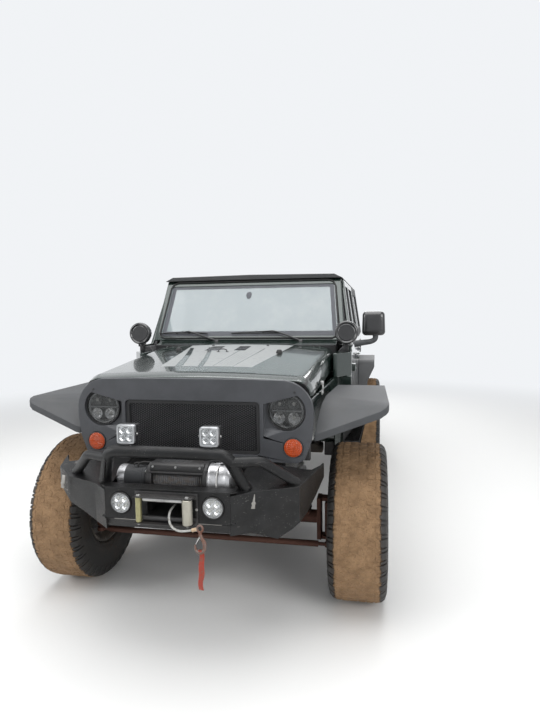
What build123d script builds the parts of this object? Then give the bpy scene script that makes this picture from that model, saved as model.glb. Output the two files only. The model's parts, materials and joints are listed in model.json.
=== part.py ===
from build123d import *

import os
from math import atan2, cos, hypot, radians, sin, tan

# Lifted four-door off-road 4x4.
# Millimetres. +X is the vehicle's left, +Y runs to its rear, +Z is up.
# The origin is on the ground under the middle of the whole vehicle.

os.makedirs("parts", exist_ok=True)

# Overall sizes
WHEELBASE = 2947.0
TRACK = 1700.0
TYRE_RADIUS = 440.0
TYRE_WIDTH = 318.0
FRONT_OVERHANG = 890.0
TAIL_OVERHANG = 715.0
SPARE_OFFSET = 235.0
REAR_OVERHANG = TAIL_OVERHANG + SPARE_OFFSET + TYRE_WIDTH / 2
HALF_WIDTH = 785.0
BELT_Z = 1370.0
ROOF_Z = 1930.0
FLOOR_Z = 730.0

AXLE_Z = TYRE_RADIUS
FRONT_AXLE_Y = (FRONT_OVERHANG - REAR_OVERHANG - WHEELBASE) / 2
REAR_AXLE_Y = FRONT_AXLE_Y + WHEELBASE
WHEEL_X = TRACK / 2

# Shared gaps between pieces
PANEL_GAP = 7.0
DOOR_SWING_GAP = 14.0
PIN_CLEARANCE = 0.06
SIDES = (1, -1)


def aft(distance):
    """The Y of a place that far behind the front axle."""
    return FRONT_AXLE_Y + distance


def rear(distance):
    """The Y of a place that far behind the rear axle."""
    return REAR_AXLE_Y + distance


def side_plane(x):
    """A plane across the vehicle at X. Its sketch has Y and Z, and it faces +X."""
    return Plane((x, 0, 0), x_dir=(0, 1, 0), z_dir=(1, 0, 0))


def front_plane(y):
    """A plane at Y that faces forwards. Its sketch has X and Z."""
    return Plane((0, y, 0), x_dir=(1, 0, 0), z_dir=(0, -1, 0))


def level_plane(z):
    """A level plane at height Z. Its sketch has X and Y."""
    return Plane.XY.offset(z)


def block(x, y, z, mode=Mode.ADD):
    """A box from its two X, two Y and two Z limits, in any order."""
    middle = ((x[0] + x[1]) / 2, (y[0] + y[1]) / 2, (z[0] + z[1]) / 2)
    with Locations(middle):
        Box(abs(x[1] - x[0]), abs(y[1] - y[0]), abs(z[1] - z[0]), mode=mode)


def slab(points, plane, depth, mode=Mode.ADD):
    """A closed outline on a plane, pushed along the plane's direction."""
    with BuildSketch(plane) as outline:
        with BuildLine():
            Polyline(*points, close=True)
        make_face()
    extrude(outline.sketch, amount=depth, mode=mode)


def across(points, half_width, mode=Mode.ADD):
    """A side outline of Y and Z that reaches as far to each side of the middle."""
    slab(points, side_plane(-half_width), 2 * half_width, mode)


def rod(start, end, radius, mode=Mode.ADD):
    """A round bar between two points."""
    along = Vector(*end) - Vector(*start)
    with BuildSketch(Plane(origin=start, z_dir=along)) as section:
        Circle(radius)
    extrude(section.sketch, amount=along.length, mode=mode)


def tube(points, radius, bend):
    """A round bar along straight runs that bends join."""
    with BuildLine() as path:
        FilletPolyline(*points, radius=bend)
    with BuildSketch(Plane(origin=path.line @ 0, z_dir=path.line % 0)) as section:
        Circle(radius)
    sweep(section.sketch, path=path.line)


def turned(profile, centre, axis):
    """A ring or disc turned about the line along `axis` through `centre`.

    The profile's columns are the place along the axis and the radius.
    """
    plane = Plane(origin=centre, x_dir=axis, z_dir=Vector(*axis).cross(Vector(0, 0, 1)))
    with BuildSketch(plane) as section:
        with BuildLine():
            Polyline(*[(place, -radius) for place, radius in profile], close=True)
        make_face()
    revolve(section.sketch, axis=Axis(centre, axis))


def finish(builder, label):
    """Names a finished piece and writes its file."""
    builder.part.label = label
    export_step(builder.part, f"parts/{label}.step")


def mirrored(points, side):
    """The same outline on the other side, where side is 1 or -1."""
    return [(side * x, y) for x, y in points]


# Chassis

RAIL_X = 410.0
RAIL_HALF = 40.0
RAIL_Z = (590.0, 700.0)
RAIL_KICK = 70.0
RAIL_FRONT = aft(-600)
RAIL_REAR = rear(658)
KICK_START = rear(-640)
KICK_END = rear(-420)

TRANSFER_Y = aft(1080)
# crossmember: Y, half length along Y, lowest Z
CROSSMEMBERS = (
    (aft(-560), 30.0, 610.0),
    (aft(330), 35.0, 610.0),
    (TRANSFER_Y, 60.0, 532.0),
    (rear(-700), 35.0, 610.0),
    (rear(300), 35.0, 665.0),
    (rear(612), 40.0, 665.0),
)
BODY_MOUNT_Y = (aft(700), aft(1500), rear(-900))

with BuildPart() as frame_rails:
    low, high = RAIL_Z
    rail = [
        (RAIL_FRONT, low),
        (KICK_START, low),
        (KICK_END, low + RAIL_KICK),
        (RAIL_REAR, low + RAIL_KICK),
        (RAIL_REAR, high + RAIL_KICK - 50),
        (KICK_END, high + RAIL_KICK - 50),
        (KICK_START, high),
        (RAIL_FRONT, high),
    ]
    for side in SIDES:
        slab(rail, side_plane(side * RAIL_X - RAIL_HALF), 2 * RAIL_HALF)
        for mount_y in BODY_MOUNT_Y:
            outer = side * (RAIL_X + RAIL_HALF)
            block((outer, outer + side * 130), (mount_y - 40, mount_y + 40), (640, high))
            with Locations((outer + side * 80, mount_y, (high + FLOOR_Z) / 2)):
                Cylinder(35, FLOOR_Z - high)
    for place, half, bottom in CROSSMEMBERS:
        block((-RAIL_X, RAIL_X), (place - half, place + half), (bottom, bottom + 60))
    # steering gear on the left rail
    block((300, RAIL_X), (aft(-370), aft(-230)), (600, 690))
finish(frame_rails, "frame_rails")

# Axles and steering. The knuckles turn on upright pins, and all arms are equal.

KINGPIN_X = 690.0
KINGPIN_RADIUS = 14.0
ARM_LENGTH = 165.0
YOKE_INNER_X = 610.0
EAR_Z = 105.0
EAR_THICK = 20.0
EAR_GAP = 8.0
SPINDLE_RADIUS = 30.0
SPINDLE_END_X = WHEEL_X - 10
LINK_PIN_RADIUS = 10.0
TIE_ROD_Z = AXLE_Z - 92
DRAG_LINK_Z = AXLE_Z - 22
PITMAN_X = 360.0
PITMAN_Y = aft(-300)
PITMAN_ARM_Z = (550.0, 570.0)
PITMAN_SHAFT_TOP = RAIL_Z[0] - 6
FRONT_DIFF_X = 200.0
FRONT_NOSE_Y = aft(235)
FRONT_NOSE_Z = AXLE_Z + 25

with BuildPart() as front_axle:
    ends = YOKE_INNER_X + 20
    rod((-ends, FRONT_AXLE_Y, AXLE_Z), (ends, FRONT_AXLE_Y, AXLE_Z), 38)
    with Locations((FRONT_DIFF_X, FRONT_AXLE_Y, AXLE_Z)):
        Sphere(118)
    rod((FRONT_DIFF_X, FRONT_AXLE_Y, AXLE_Z), (FRONT_DIFF_X, FRONT_NOSE_Y, FRONT_NOSE_Z), 55)
    for side in SIDES:
        yoke = (side * YOKE_INNER_X, side * (YOKE_INNER_X + 25))
        block(yoke, (aft(-45), aft(45)), (AXLE_Z - EAR_Z - EAR_THICK, AXLE_Z + EAR_Z + EAR_THICK))
        for ear in (AXLE_Z - EAR_Z - EAR_THICK, AXLE_Z + EAR_Z):
            reach = (side * YOKE_INNER_X, side * (KINGPIN_X + 25))
            block(reach, (aft(-32), aft(32)), (ear, ear + EAR_THICK))
        with Locations((side * KINGPIN_X, FRONT_AXLE_Y, AXLE_Z)):
            Cylinder(KINGPIN_RADIUS + PIN_CLEARANCE, 2 * (EAR_Z + EAR_THICK) + 2, mode=Mode.SUBTRACT)
        # spring seat and link brackets
        block((side * 430, side * 570), (aft(-60), aft(60)), (AXLE_Z + 30, AXLE_Z + 50))
        block((side * 380, side * 440), (aft(-40), aft(70)), (AXLE_Z - 80, AXLE_Z))
finish(front_axle, "front_axle")

for side, name in ((1, "left"), (-1, "right")):
    with BuildPart() as knuckle:
        inner = side * (YOKE_INNER_X + 45)
        outer = side * (KINGPIN_X + 40)
        tall = EAR_Z - EAR_GAP
        block((inner, outer), (aft(-32), aft(32)), (AXLE_Z - tall, AXLE_Z + tall))
        with Locations((side * KINGPIN_X, FRONT_AXLE_Y, AXLE_Z)):
            Cylinder(KINGPIN_RADIUS, 2 * (EAR_Z + EAR_THICK))
        rod(
            (side * (KINGPIN_X + 30), FRONT_AXLE_Y, AXLE_Z),
            (side * SPINDLE_END_X, FRONT_AXLE_Y, AXLE_Z),
            SPINDLE_RADIUS,
        )
        # steering arm, straight ahead of the upright pin
        arm = (side * (KINGPIN_X - 18), side * (KINGPIN_X + 18))
        block(arm, (aft(-ARM_LENGTH - 18), FRONT_AXLE_Y), (AXLE_Z - 68, AXLE_Z - 46))
        low = TIE_ROD_Z - 14
        high = DRAG_LINK_Z + 14 if side < 0 else AXLE_Z - 50
        with Locations((side * KINGPIN_X, aft(-ARM_LENGTH), (low + high) / 2)):
            Cylinder(LINK_PIN_RADIUS, high - low)
        # brake caliper on its carrier
        block(
            (side * (KINGPIN_X + 20), side * (KINGPIN_X + 75)), (aft(96), aft(150)),
            (AXLE_Z - 70, AXLE_Z + 70),
        )
        block(
            (side * (KINGPIN_X + 20), side * (KINGPIN_X + 38)), (FRONT_AXLE_Y, aft(120)),
            (AXLE_Z - 30, AXLE_Z + 30),
        )
    finish(knuckle, f"knuckle_{name}")

LINK_RADIUS = 17.0
EYE_RADIUS = 24.0
EYE_HALF = 11.0
FREE_EYE_CLEARANCE = 2.0

with BuildPart() as tie_rod:
    y = aft(-ARM_LENGTH)
    rod((-KINGPIN_X, y, TIE_ROD_Z), (KINGPIN_X, y, TIE_ROD_Z), 10)
    rod((-KINGPIN_X + 60, y, TIE_ROD_Z), (KINGPIN_X - 60, y, TIE_ROD_Z), LINK_RADIUS)
    for side in SIDES:
        with Locations((side * KINGPIN_X, y, TIE_ROD_Z)):
            Cylinder(EYE_RADIUS, 2 * EYE_HALF)
    for side, gap in ((1, PIN_CLEARANCE), (-1, FREE_EYE_CLEARANCE)):
        with Locations((side * KINGPIN_X, y, TIE_ROD_Z)):
            Cylinder(LINK_PIN_RADIUS + gap, 4 * EYE_HALF, mode=Mode.SUBTRACT)
finish(tie_rod, "tie_rod")

with BuildPart() as pitman_arm:
    low, high = PITMAN_ARM_Z
    block((PITMAN_X - 22, PITMAN_X + 22), (PITMAN_Y - ARM_LENGTH - 20, PITMAN_Y + 24), (low, high))
    with Locations((PITMAN_X, PITMAN_Y, (low + PITMAN_SHAFT_TOP) / 2)):
        Cylinder(20, PITMAN_SHAFT_TOP - low)
    with Locations((PITMAN_X, PITMAN_Y - ARM_LENGTH, low - 14)):
        Cylinder(LINK_PIN_RADIUS, 36)
finish(pitman_arm, "pitman_arm")

with BuildPart() as drag_link:
    head = Vector(PITMAN_X, PITMAN_Y - ARM_LENGTH, PITMAN_ARM_Z[0] - 17)
    foot = Vector(-KINGPIN_X, aft(-ARM_LENGTH), DRAG_LINK_Z)
    rod(tuple(foot), tuple(head), 10)
    rod(tuple(foot + (head - foot) * 0.07), tuple(head - (head - foot) * 0.05), LINK_RADIUS - 2)
    for end in (head, foot):
        with Locations(end):
            Cylinder(EYE_RADIUS - 2, 2 * EYE_HALF)
    for end, gap in ((head, PIN_CLEARANCE), (foot, FREE_EYE_CLEARANCE)):
        with Locations(end):
            Cylinder(LINK_PIN_RADIUS + gap, 4 * EYE_HALF, mode=Mode.SUBTRACT)
finish(drag_link, "drag_link")

REAR_TUBE_END = WHEEL_X - 100
REAR_NOSE_Y = rear(-255)
REAR_NOSE_Z = AXLE_Z + 30
with BuildPart() as rear_axle:
    rod((-REAR_TUBE_END, REAR_AXLE_Y, AXLE_Z), (REAR_TUBE_END, REAR_AXLE_Y, AXLE_Z), 42)
    with Locations((0, REAR_AXLE_Y, AXLE_Z)):
        Sphere(140)
    rod((0, REAR_AXLE_Y, AXLE_Z), (0, REAR_NOSE_Y, REAR_NOSE_Z), 60)
    for side in SIDES:
        rod(
            (side * (REAR_TUBE_END - 5), REAR_AXLE_Y, AXLE_Z),
            (side * SPINDLE_END_X, REAR_AXLE_Y, AXLE_Z),
            SPINDLE_RADIUS,
        )
        block((side * 430, side * 570), (rear(-60), rear(60)), (AXLE_Z + 34, AXLE_Z + 54))
        block((side * 380, side * 440), (rear(-70), rear(40)), (AXLE_Z - 80, AXLE_Z))
finish(rear_axle, "rear_axle")

# Coil springs and shock absorbers. Each coil is one sleeve of its outer size.
SPRING_RADIUS = 62.0
SPRING_WIRE = 14.0
SHOCK_RADIUS = 26.0

# axle's Y, spring's X, seat height over the axle, spring top, shock's X and offset along Y
CORNERS = (
    (FRONT_AXLE_Y, 516.0, 50.0, 690.0, 530.0, 110.0),
    (REAR_AXLE_Y, 516.0, 54.0, 700.0, 530.0, -130.0),
)

with BuildPart() as springs_and_shocks:
    for axle_y, spring_x, seat, top, shock_x, shift in CORNERS:
        for side in SIDES:
            low = AXLE_Z + seat
            with Locations((side * spring_x, axle_y, (low + top) / 2)):
                Cylinder(SPRING_RADIUS, top - low)
                Cylinder(SPRING_RADIUS - SPRING_WIRE, top - low, mode=Mode.SUBTRACT)
            # bracket from the frame rail over the spring
            inner = side * (RAIL_X + RAIL_HALF)
            block((inner, side * (spring_x + SPRING_RADIUS)), (axle_y - 60, axle_y + 60), (top, top + 12))
            foot = (side * shock_x, axle_y + shift, AXLE_Z - 40)
            head = (side * (shock_x - 30), axle_y + shift * 1.25, top + 16)
            rod(foot, head, SHOCK_RADIUS)
            block((inner, side * (shock_x - 4)), (head[1] - 22, head[1] + 22), (top - 30, top - 6))
            near = axle_y + shift * 0.37
            block((side * (shock_x - 22), side * (shock_x + 22)), (near, foot[1]), (AXLE_Z - 38, AXLE_Z - 14))
finish(springs_and_shocks, "springs_and_shocks")

# arm: front Y, Z there, rear Y, Z there, X
ARM_TABLE = (
    (aft(45), AXLE_Z - 50, aft(900), 560.0, 400.0),
    (rear(-850), 560.0, rear(-80), AXLE_Z - 50, 400.0),
)
with BuildPart() as control_arms:
    for front_y, front_z, back_y, back_z, arm_x in ARM_TABLE:
        for side in SIDES:
            rod((side * arm_x, front_y + 30, front_z), (side * arm_x, back_y, back_z), 22)
            forward = front_y < FRONT_AXLE_Y + 100
            bracket_y = back_y if forward else front_y + 30
            block(
                (side * (arm_x - 26), side * (arm_x + 26)),
                (bracket_y - 30, bracket_y + 30),
                (535, RAIL_Z[0]),
            )
finish(control_arms, "control_arms")

ENGINE_FRONT = aft(-200)
ENGINE_REAR = aft(540)
CASE_TOP = FLOOR_Z - 8
SHAFT_RADIUS = 34.0
JOINT_RADIUS = 44.0
JOINT_GAP = 4.0
with BuildPart() as driveshafts:
    # gearbox and transfer case over the middle crossmember
    block((-140, 140), (ENGINE_REAR, TRANSFER_Y + 150), (594, CASE_TOP))
    block((-120, 260), (TRANSFER_Y + 66, TRANSFER_Y + 260), (530, CASE_TOP))
    block((130, 250), (TRANSFER_Y - 150, TRANSFER_Y + 70), (600, 690))
    # each shaft ends in a round joint just clear of its axle's nose
    front_joint = (FRONT_DIFF_X, FRONT_NOSE_Y + JOINT_RADIUS + JOINT_GAP, FRONT_NOSE_Z)
    rear_joint = (0, REAR_NOSE_Y - JOINT_RADIUS - JOINT_GAP, REAR_NOSE_Z)
    with Locations(front_joint, rear_joint):
        Sphere(JOINT_RADIUS)
    rod(front_joint, (FRONT_DIFF_X, TRANSFER_Y - 145, 640), SHAFT_RADIUS)
    rod((0, TRANSFER_Y + 255, 600), rear_joint, SHAFT_RADIUS)
finish(driveshafts, "driveshafts")

with BuildPart() as engine_block:
    block((-300, 300), (ENGINE_FRONT, ENGINE_REAR), (RAIL_Z[1] + 2, 1150))
    for side in SIDES:
        block((side * 290, side * RAIL_X), (aft(60), aft(140)), (RAIL_Z[1], RAIL_Z[1] + 40))
finish(engine_block, "engine_block")

MUFFLER_Y = rear(520)
MUFFLER_Z = 590.0
with BuildPart() as exhaust:
    rod((-300, MUFFLER_Y, MUFFLER_Z), (300, MUFFLER_Y, MUFFLER_Z), 80)
    tube(
        [(-230, TRANSFER_Y + 80, 562), (-230, rear(-500), 562), (-230, rear(-220), 608),
         (-230, rear(200), 608), (-230, MUFFLER_Y - 50, MUFFLER_Z + 5)],
        28,
        80,
    )
finish(exhaust, "exhaust")

with BuildPart() as fuel_tank:
    block((70, RAIL_X - RAIL_HALF), (rear(-1500), rear(-760)), (540, 690))
finish(fuel_tank, "fuel_tank")

# Wheels. Shares of the half width and of the wall height from bead to tread.

RIM_RADIUS = 216.0
RIM_HALF = 124.0
TYRE_OUTSIDE = (
    (0.705, 0.02), (0.72, 0.075), (0.86, 0.11), (0.98, 0.38), (1.0, 0.56), (0.955, 0.80), (0.80, 0.965),
    (0.44, 1.0),
)
TYRE_INSIDE = (
    (0.40, 0.90), (0.76, 0.87), (0.86, 0.74), (0.90, 0.54), (0.88, 0.38), (0.66, 0.10), (0.66, 0.02),
)
SPOKES = 8
SPARE_X = 20.0
SPARE_Z = 1150.0
TAIL_Y = rear(TAIL_OVERHANG)
SPARE_Y = TAIL_Y + SPARE_OFFSET

# wheel: name, centre, direction that its outer face points
WHEELS = (
    ("front_left", (WHEEL_X, FRONT_AXLE_Y, AXLE_Z), (1, 0, 0)),
    ("front_right", (-WHEEL_X, FRONT_AXLE_Y, AXLE_Z), (-1, 0, 0)),
    ("rear_left", (WHEEL_X, REAR_AXLE_Y, AXLE_Z), (1, 0, 0)),
    ("rear_right", (-WHEEL_X, REAR_AXLE_Y, AXLE_Z), (-1, 0, 0)),
    ("spare", (SPARE_X, SPARE_Y, SPARE_Z), (0, 1, 0)),
)


def tyre_profile():
    """The tyre's section, out along one wall, over the tread and back inside."""
    wall = TYRE_RADIUS - RIM_RADIUS - 0.3

    def spot(sign, share, rise):
        return (sign * share * TYRE_WIDTH / 2, RIM_RADIUS + 0.3 + rise * wall)

    outside = [spot(1, *row) for row in TYRE_OUTSIDE]
    outside += [spot(-1, *row) for row in reversed(TYRE_OUTSIDE)]
    inside = [spot(-1, *row) for row in reversed(TYRE_INSIDE)]
    inside += [spot(1, *row) for row in TYRE_INSIDE]
    return outside + inside


for name, centre, out in WHEELS:
    with BuildPart() as tyre:
        turned(tyre_profile(), centre, out)
    finish(tyre, f"tyre_{name}")

    with BuildPart() as rim:
        barrel = [
            (-RIM_HALF, RIM_RADIUS + 14), (-RIM_HALF + 8, RIM_RADIUS + 14), (-RIM_HALF + 10, RIM_RADIUS),
            (-80, RIM_RADIUS), (-60, RIM_RADIUS - 22), (60, RIM_RADIUS - 22), (80, RIM_RADIUS),
            (RIM_HALF - 10, RIM_RADIUS), (RIM_HALF - 8, RIM_RADIUS + 14), (RIM_HALF, RIM_RADIUS + 14),
            (RIM_HALF, RIM_RADIUS + 4), (RIM_HALF - 12, RIM_RADIUS - 9), (66, RIM_RADIUS - 30),
            (-66, RIM_RADIUS - 30), (-RIM_HALF + 12, RIM_RADIUS - 9), (-RIM_HALF, RIM_RADIUS + 4),
        ]
        turned(barrel, centre, out)
        hub = [(-40, SPINDLE_RADIUS + PIN_CLEARANCE), (-8, SPINDLE_RADIUS + PIN_CLEARANCE), (-8, 0), (45, 0),
               (45, 42), (30, 84), (-40, 84)]
        turned(hub, centre, out)
        if name != "spare":
            disc = [(-74, 50), (-58, 50), (-58, 70), (-40, 70), (-40, 84), (-58, 84), (-58, 160), (-74, 160)]
            turned(disc, centre, out)
        face = Plane(origin=centre, x_dir=Vector(*out).cross(Vector(0, 0, 1)), z_dir=out)
        with BuildSketch(face.offset(4)) as spokes:
            with PolarLocations(135, SPOKES):
                Rectangle(122, 34)
        extrude(spokes.sketch, amount=26)
    finish(rim, f"rim_{name}")

# Cab and body. The tub's side is one outline, with the door opening left out of it.

WALL = 60.0
SILL_Z = 650.0
SILL_TOP = 746.0
DOOR_BOTTOM = SILL_TOP + PANEL_GAP
FIREWALL_Y = aft(620)
COWL_SIDE_Y = aft(560)
DOOR_FRONT_Y = aft(668)
FRONT_DOOR_LENGTH = 930.0
MIDDLE_Y = DOOR_FRONT_Y + FRONT_DOOR_LENGTH
REAR_DOOR_END = rear(-530)
REAR_DOOR_FOOT = rear(-645)
ARCH_KNEE_Z = 1130.0
COWL_SIDE_X = 668.0
COWL_SIDE_Z = BELT_Z - 5
PANEL_TOP = 1205.0
PANEL_FRONT_HALF = 622.0
PANEL_REAR_HALF = 690.0
DOOR_DEPTH = 100.0
COWL_Z = 1432.0
ARCH_TOP = 1085.0
FLOOR_THICK = 30.0
INNER_X = HALF_WIDTH - DOOR_DEPTH - PANEL_GAP
COWL_FRONT_Y = aft(700)
GUTTER_HALF = 630.0
GUTTER_Z = 1330.0
GATE_HALF = 598.0
GATE_BOTTOM = 822.0
WHEELHOUSE_X = 560.0
LOAD_FLOOR_HALF = 525.0
LOAD_FLOOR_RISE = 6.0

# windshield: foot and head of its front face, and the frame's half widths there
SHIELD_FOOT = (aft(800), 1440.0)
SHIELD_HEAD = (aft(1030), 1890.0)
SHIELD_FOOT_HALF = 730.0
SHIELD_HEAD_HALF = 690.0
SHIELD_THICK = 48.0

with BuildPart() as body_tub:
    side_outline = [
        (COWL_SIDE_Y, SILL_Z), (COWL_SIDE_Y, PANEL_TOP), (DOOR_FRONT_Y - PANEL_GAP, PANEL_TOP),
        (DOOR_FRONT_Y - PANEL_GAP, SILL_TOP), (REAR_DOOR_FOOT + PANEL_GAP, SILL_TOP),
        (REAR_DOOR_END + DOOR_SWING_GAP, ARCH_KNEE_Z), (REAR_DOOR_END + DOOR_SWING_GAP, BELT_Z),
        (TAIL_Y, BELT_Z),
        (TAIL_Y, 700), (rear(530), 700), (rear(480), 930), (rear(370), ARCH_TOP), (rear(-370), ARCH_TOP),
        (rear(-480), 930), (rear(-570), SILL_Z),
    ]
    for side in SIDES:
        slab(side_outline, side_plane(side * (HALF_WIDTH - WALL / 2) - WALL / 2), WALL)
        # cowl side, sill and middle post
        block(
            (side * COWL_SIDE_X, side * (HALF_WIDTH - 5)), (COWL_SIDE_Y, DOOR_FRONT_Y - PANEL_GAP),
            (SILL_Z, PANEL_TOP),
        )
        shoulder = [(COWL_SIDE_X, aft(470)), (PANEL_REAR_HALF + 4, aft(470)), (HALF_WIDTH, aft(600)),
                    (HALF_WIDTH, DOOR_FRONT_Y - PANEL_GAP), (COWL_SIDE_X, DOOR_FRONT_Y - PANEL_GAP)]
        slab(mirrored(shoulder, side), level_plane(PANEL_TOP), COWL_SIDE_Z - PANEL_TOP)
        block((side * 600, side * (HALF_WIDTH - 5)), (COWL_SIDE_Y + 5, rear(-580)), (SILL_Z, SILL_TOP))
        block(
            (side * (INNER_X - 40), side * INNER_X), (MIDDLE_Y - 45, MIDDLE_Y + 50),
            (SILL_TOP - 5, BELT_Z - 20),
        )
        # wheel house: its inner wall and its top
        wall = (side * (WHEELHOUSE_X - 20), side * WHEELHOUSE_X)
        block(wall, (rear(-500), rear(500)), (FLOOR_Z, ARCH_TOP + 20))
        block((wall[0], side * (HALF_WIDTH - 5)), (rear(-500), rear(500)), (ARCH_TOP, ARCH_TOP + 20))
        for end in (rear(-500), rear(480)):
            block((wall[0], side * (HALF_WIDTH - WALL + 5)), (end, end + 20), (FLOOR_Z, ARCH_TOP + 20))
        # rear corner post
        block((side * (GATE_HALF + PANEL_GAP), side * (HALF_WIDTH - 5)), (TAIL_Y - 50, TAIL_Y), (700, BELT_Z))
    half_floor = INNER_X - 8
    block((-half_floor, half_floor), (FIREWALL_Y, rear(-500)), (FLOOR_Z, FLOOR_Z + FLOOR_THICK))
    block((-WHEELHOUSE_X, WHEELHOUSE_X), (rear(-510), rear(510)), (FLOOR_Z, FLOOR_Z + FLOOR_THICK))
    block((-HALF_WIDTH + 40, HALF_WIDTH - 40), (rear(490), TAIL_Y - 5), (FLOOR_Z, FLOOR_Z + FLOOR_THICK))
    block((-HALF_WIDTH + 5, HALF_WIDTH - 5), (TAIL_Y - 50, TAIL_Y), (700, GATE_BOTTOM - PANEL_GAP))
    # load floor's panel
    load_floor = (FLOOR_Z + FLOOR_THICK - 2, FLOOR_Z + FLOOR_THICK + LOAD_FLOOR_RISE)
    block((-LOAD_FLOOR_HALF, LOAD_FLOOR_HALF), (rear(-50), TAIL_Y - 60), load_floor)
    # firewall, the gutter under the hood's rear edge, and the cowl behind it
    block((-COWL_SIDE_X - 4, COWL_SIDE_X + 4), (FIREWALL_Y, FIREWALL_Y + 20), (FLOOR_Z, 1225))
    block((-GUTTER_HALF, GUTTER_HALF), (FIREWALL_Y, FIREWALL_Y + 20), (FLOOR_Z, GUTTER_Z))
    block((-GUTTER_HALF, GUTTER_HALF), (FIREWALL_Y, COWL_FRONT_Y + 10), (GUTTER_Z - 20, GUTTER_Z))
    cowl = [
        (COWL_FRONT_Y, GUTTER_Z - 20), (COWL_FRONT_Y, COWL_Z - 27), (aft(800), COWL_Z), (aft(850), COWL_Z),
        (aft(850), COWL_Z - 80), (aft(835), COWL_Z - 80), (aft(835), COWL_Z - 18), (aft(800), COWL_Z - 18),
        (COWL_FRONT_Y + 16, COWL_Z - 44), (COWL_FRONT_Y + 16, GUTTER_Z - 20),
    ]
    across(cowl, COWL_SIDE_X + 4)
finish(body_tub, "body_tub")

# Front body: side panels under the hood, inner aprons, a shelf over each wheel and the radiator's panel.

GRILLE_Y = aft(-440)
SHELL_DEPTH = 32.0
APRON_X = 490.0

with BuildPart() as front_fenders:
    front_y = GRILLE_Y + SHELL_DEPTH
    back_y = COWL_SIDE_Y
    for side in SIDES:
        panel = [(PANEL_FRONT_HALF, front_y), (PANEL_REAR_HALF, back_y), (PANEL_REAR_HALF - 30, back_y),
                 (PANEL_FRONT_HALF - 30, front_y)]
        slab(mirrored(panel, side), level_plane(985), PANEL_TOP - 985)
        shelf = [(APRON_X - 20, front_y), (PANEL_FRONT_HALF - 10, front_y), (PANEL_REAR_HALF - 10, back_y),
                 (APRON_X - 20, back_y)]
        slab(mirrored(shelf, side), level_plane(985), 15)
        block((side * (APRON_X - 20), side * APRON_X), (front_y, back_y), (720, 1000))
    block((-PANEL_FRONT_HALF + 5, PANEL_FRONT_HALF - 5), (front_y, front_y + 30), (892, PANEL_TOP - 5))
    block((-420, 420), (front_y, front_y + 60), (RAIL_Z[1], 900))
finish(front_fenders, "front_fenders")

# Grille shell. The brow covers the upper inner part of each headlamp.

LAMP_X = 500.0
LAMP_Z = 1147.0
LAMP_HOLE = 99.0
BROW_SLOPE = 15.0
BROW_RISE = 66.0
POCKET_REACH = 115.0
POCKET_DEPTH = 22.0
SIGNAL_X = 535.0
SIGNAL_Z = 964.0
SIGNAL_RADIUS = 49.0
OPENING_HALF = 365.0
OPENING_Z = (918.0, 1192.0)
MESH_INSET = 10.0

SHELL_OUTLINE = [
    (-594, 905), (-628, 1000), (-640, 1110), (-630, 1300), (-300, 1308),
    (300, 1308), (630, 1300), (640, 1110), (628, 1000), (594, 905), (560, 885), (-560, 885),
]
SHELL_CORNER = 160.0

# corner of the pocket beside each headlamp: outboard of the lamp and over it, at the front and on the floor
POCKET_TOP = BROW_RISE - POCKET_REACH * tan(radians(BROW_SLOPE))
LAMP_POCKET = (
    ((-POCKET_REACH, POCKET_TOP), (-POCKET_REACH, POCKET_TOP)),
    ((-POCKET_REACH, -141.0), (-POCKET_REACH, -96.0)),
    ((75.0, -62.0), (40.0, -84.0)),
    ((75.0, 30.0), (75.0, 30.0)),
    ((0.0, BROW_RISE), (0.0, BROW_RISE)),
)

with BuildPart() as grille_shell:
    with BuildSketch(front_plane(GRILLE_Y + SHELL_DEPTH)):
        with BuildLine():
            Polyline(*SHELL_OUTLINE, close=True)
        make_face()
        # the two upper outer corners, then the lower ones
        upper = [corner for corner in vertices() if corner.Y > OPENING_Z[1] and abs(corner.X) > LAMP_X]
        fillet(upper, SHELL_CORNER)
        fillet([corner for corner in vertices() if corner.Y < LAMP_Z - 30], 30)
        with Locations((0, sum(OPENING_Z) / 2)):
            RectangleRounded(2 * OPENING_HALF, OPENING_Z[1] - OPENING_Z[0], 24, mode=Mode.SUBTRACT)
        for side in SIDES:
            with BuildSketch(mode=Mode.PRIVATE) as lamp_opening:
                with Locations((side * LAMP_X, LAMP_Z)):
                    Circle(LAMP_HOLE)
                slope = -side * BROW_SLOPE
                with Locations(Location((side * LAMP_X, LAMP_Z + BROW_RISE, 0), (0, 0, -slope))):
                    Rectangle(400, 100, align=(Align.CENTER, Align.MIN), mode=Mode.SUBTRACT)
            add(lamp_opening.sketch, mode=Mode.SUBTRACT)
            with Locations((side * SIGNAL_X, SIGNAL_Z)):
                Circle(SIGNAL_RADIUS + 2, mode=Mode.SUBTRACT)
    extrude(amount=SHELL_DEPTH)
    for side in SIDES:
        sections = []
        for corner, depth in ((0, -1.0), (1, POCKET_DEPTH)):
            with BuildSketch(front_plane(GRILLE_Y + depth), mode=Mode.PRIVATE) as section:
                with BuildLine():
                    corners = [
                        (side * (LAMP_X + row[corner][0]), LAMP_Z + row[corner][1]) for row in LAMP_POCKET
                    ]
                    Polyline(*corners, close=True)
                make_face()
            sections.append(section.sketch)
        loft(sections, ruled=True, mode=Mode.SUBTRACT)
finish(grille_shell, "grille_shell")

with BuildPart() as grille_mesh:
    middle = sum(OPENING_Z) / 2
    high = OPENING_Z[1] - OPENING_Z[0] - 1
    with BuildSketch(front_plane(GRILLE_Y + SHELL_DEPTH)):
        with Locations((0, middle)):
            RectangleRounded(2 * OPENING_HALF - 1, high, 23)
    extrude(amount=SHELL_DEPTH - MESH_INSET)
finish(grille_mesh, "grille_mesh")

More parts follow.
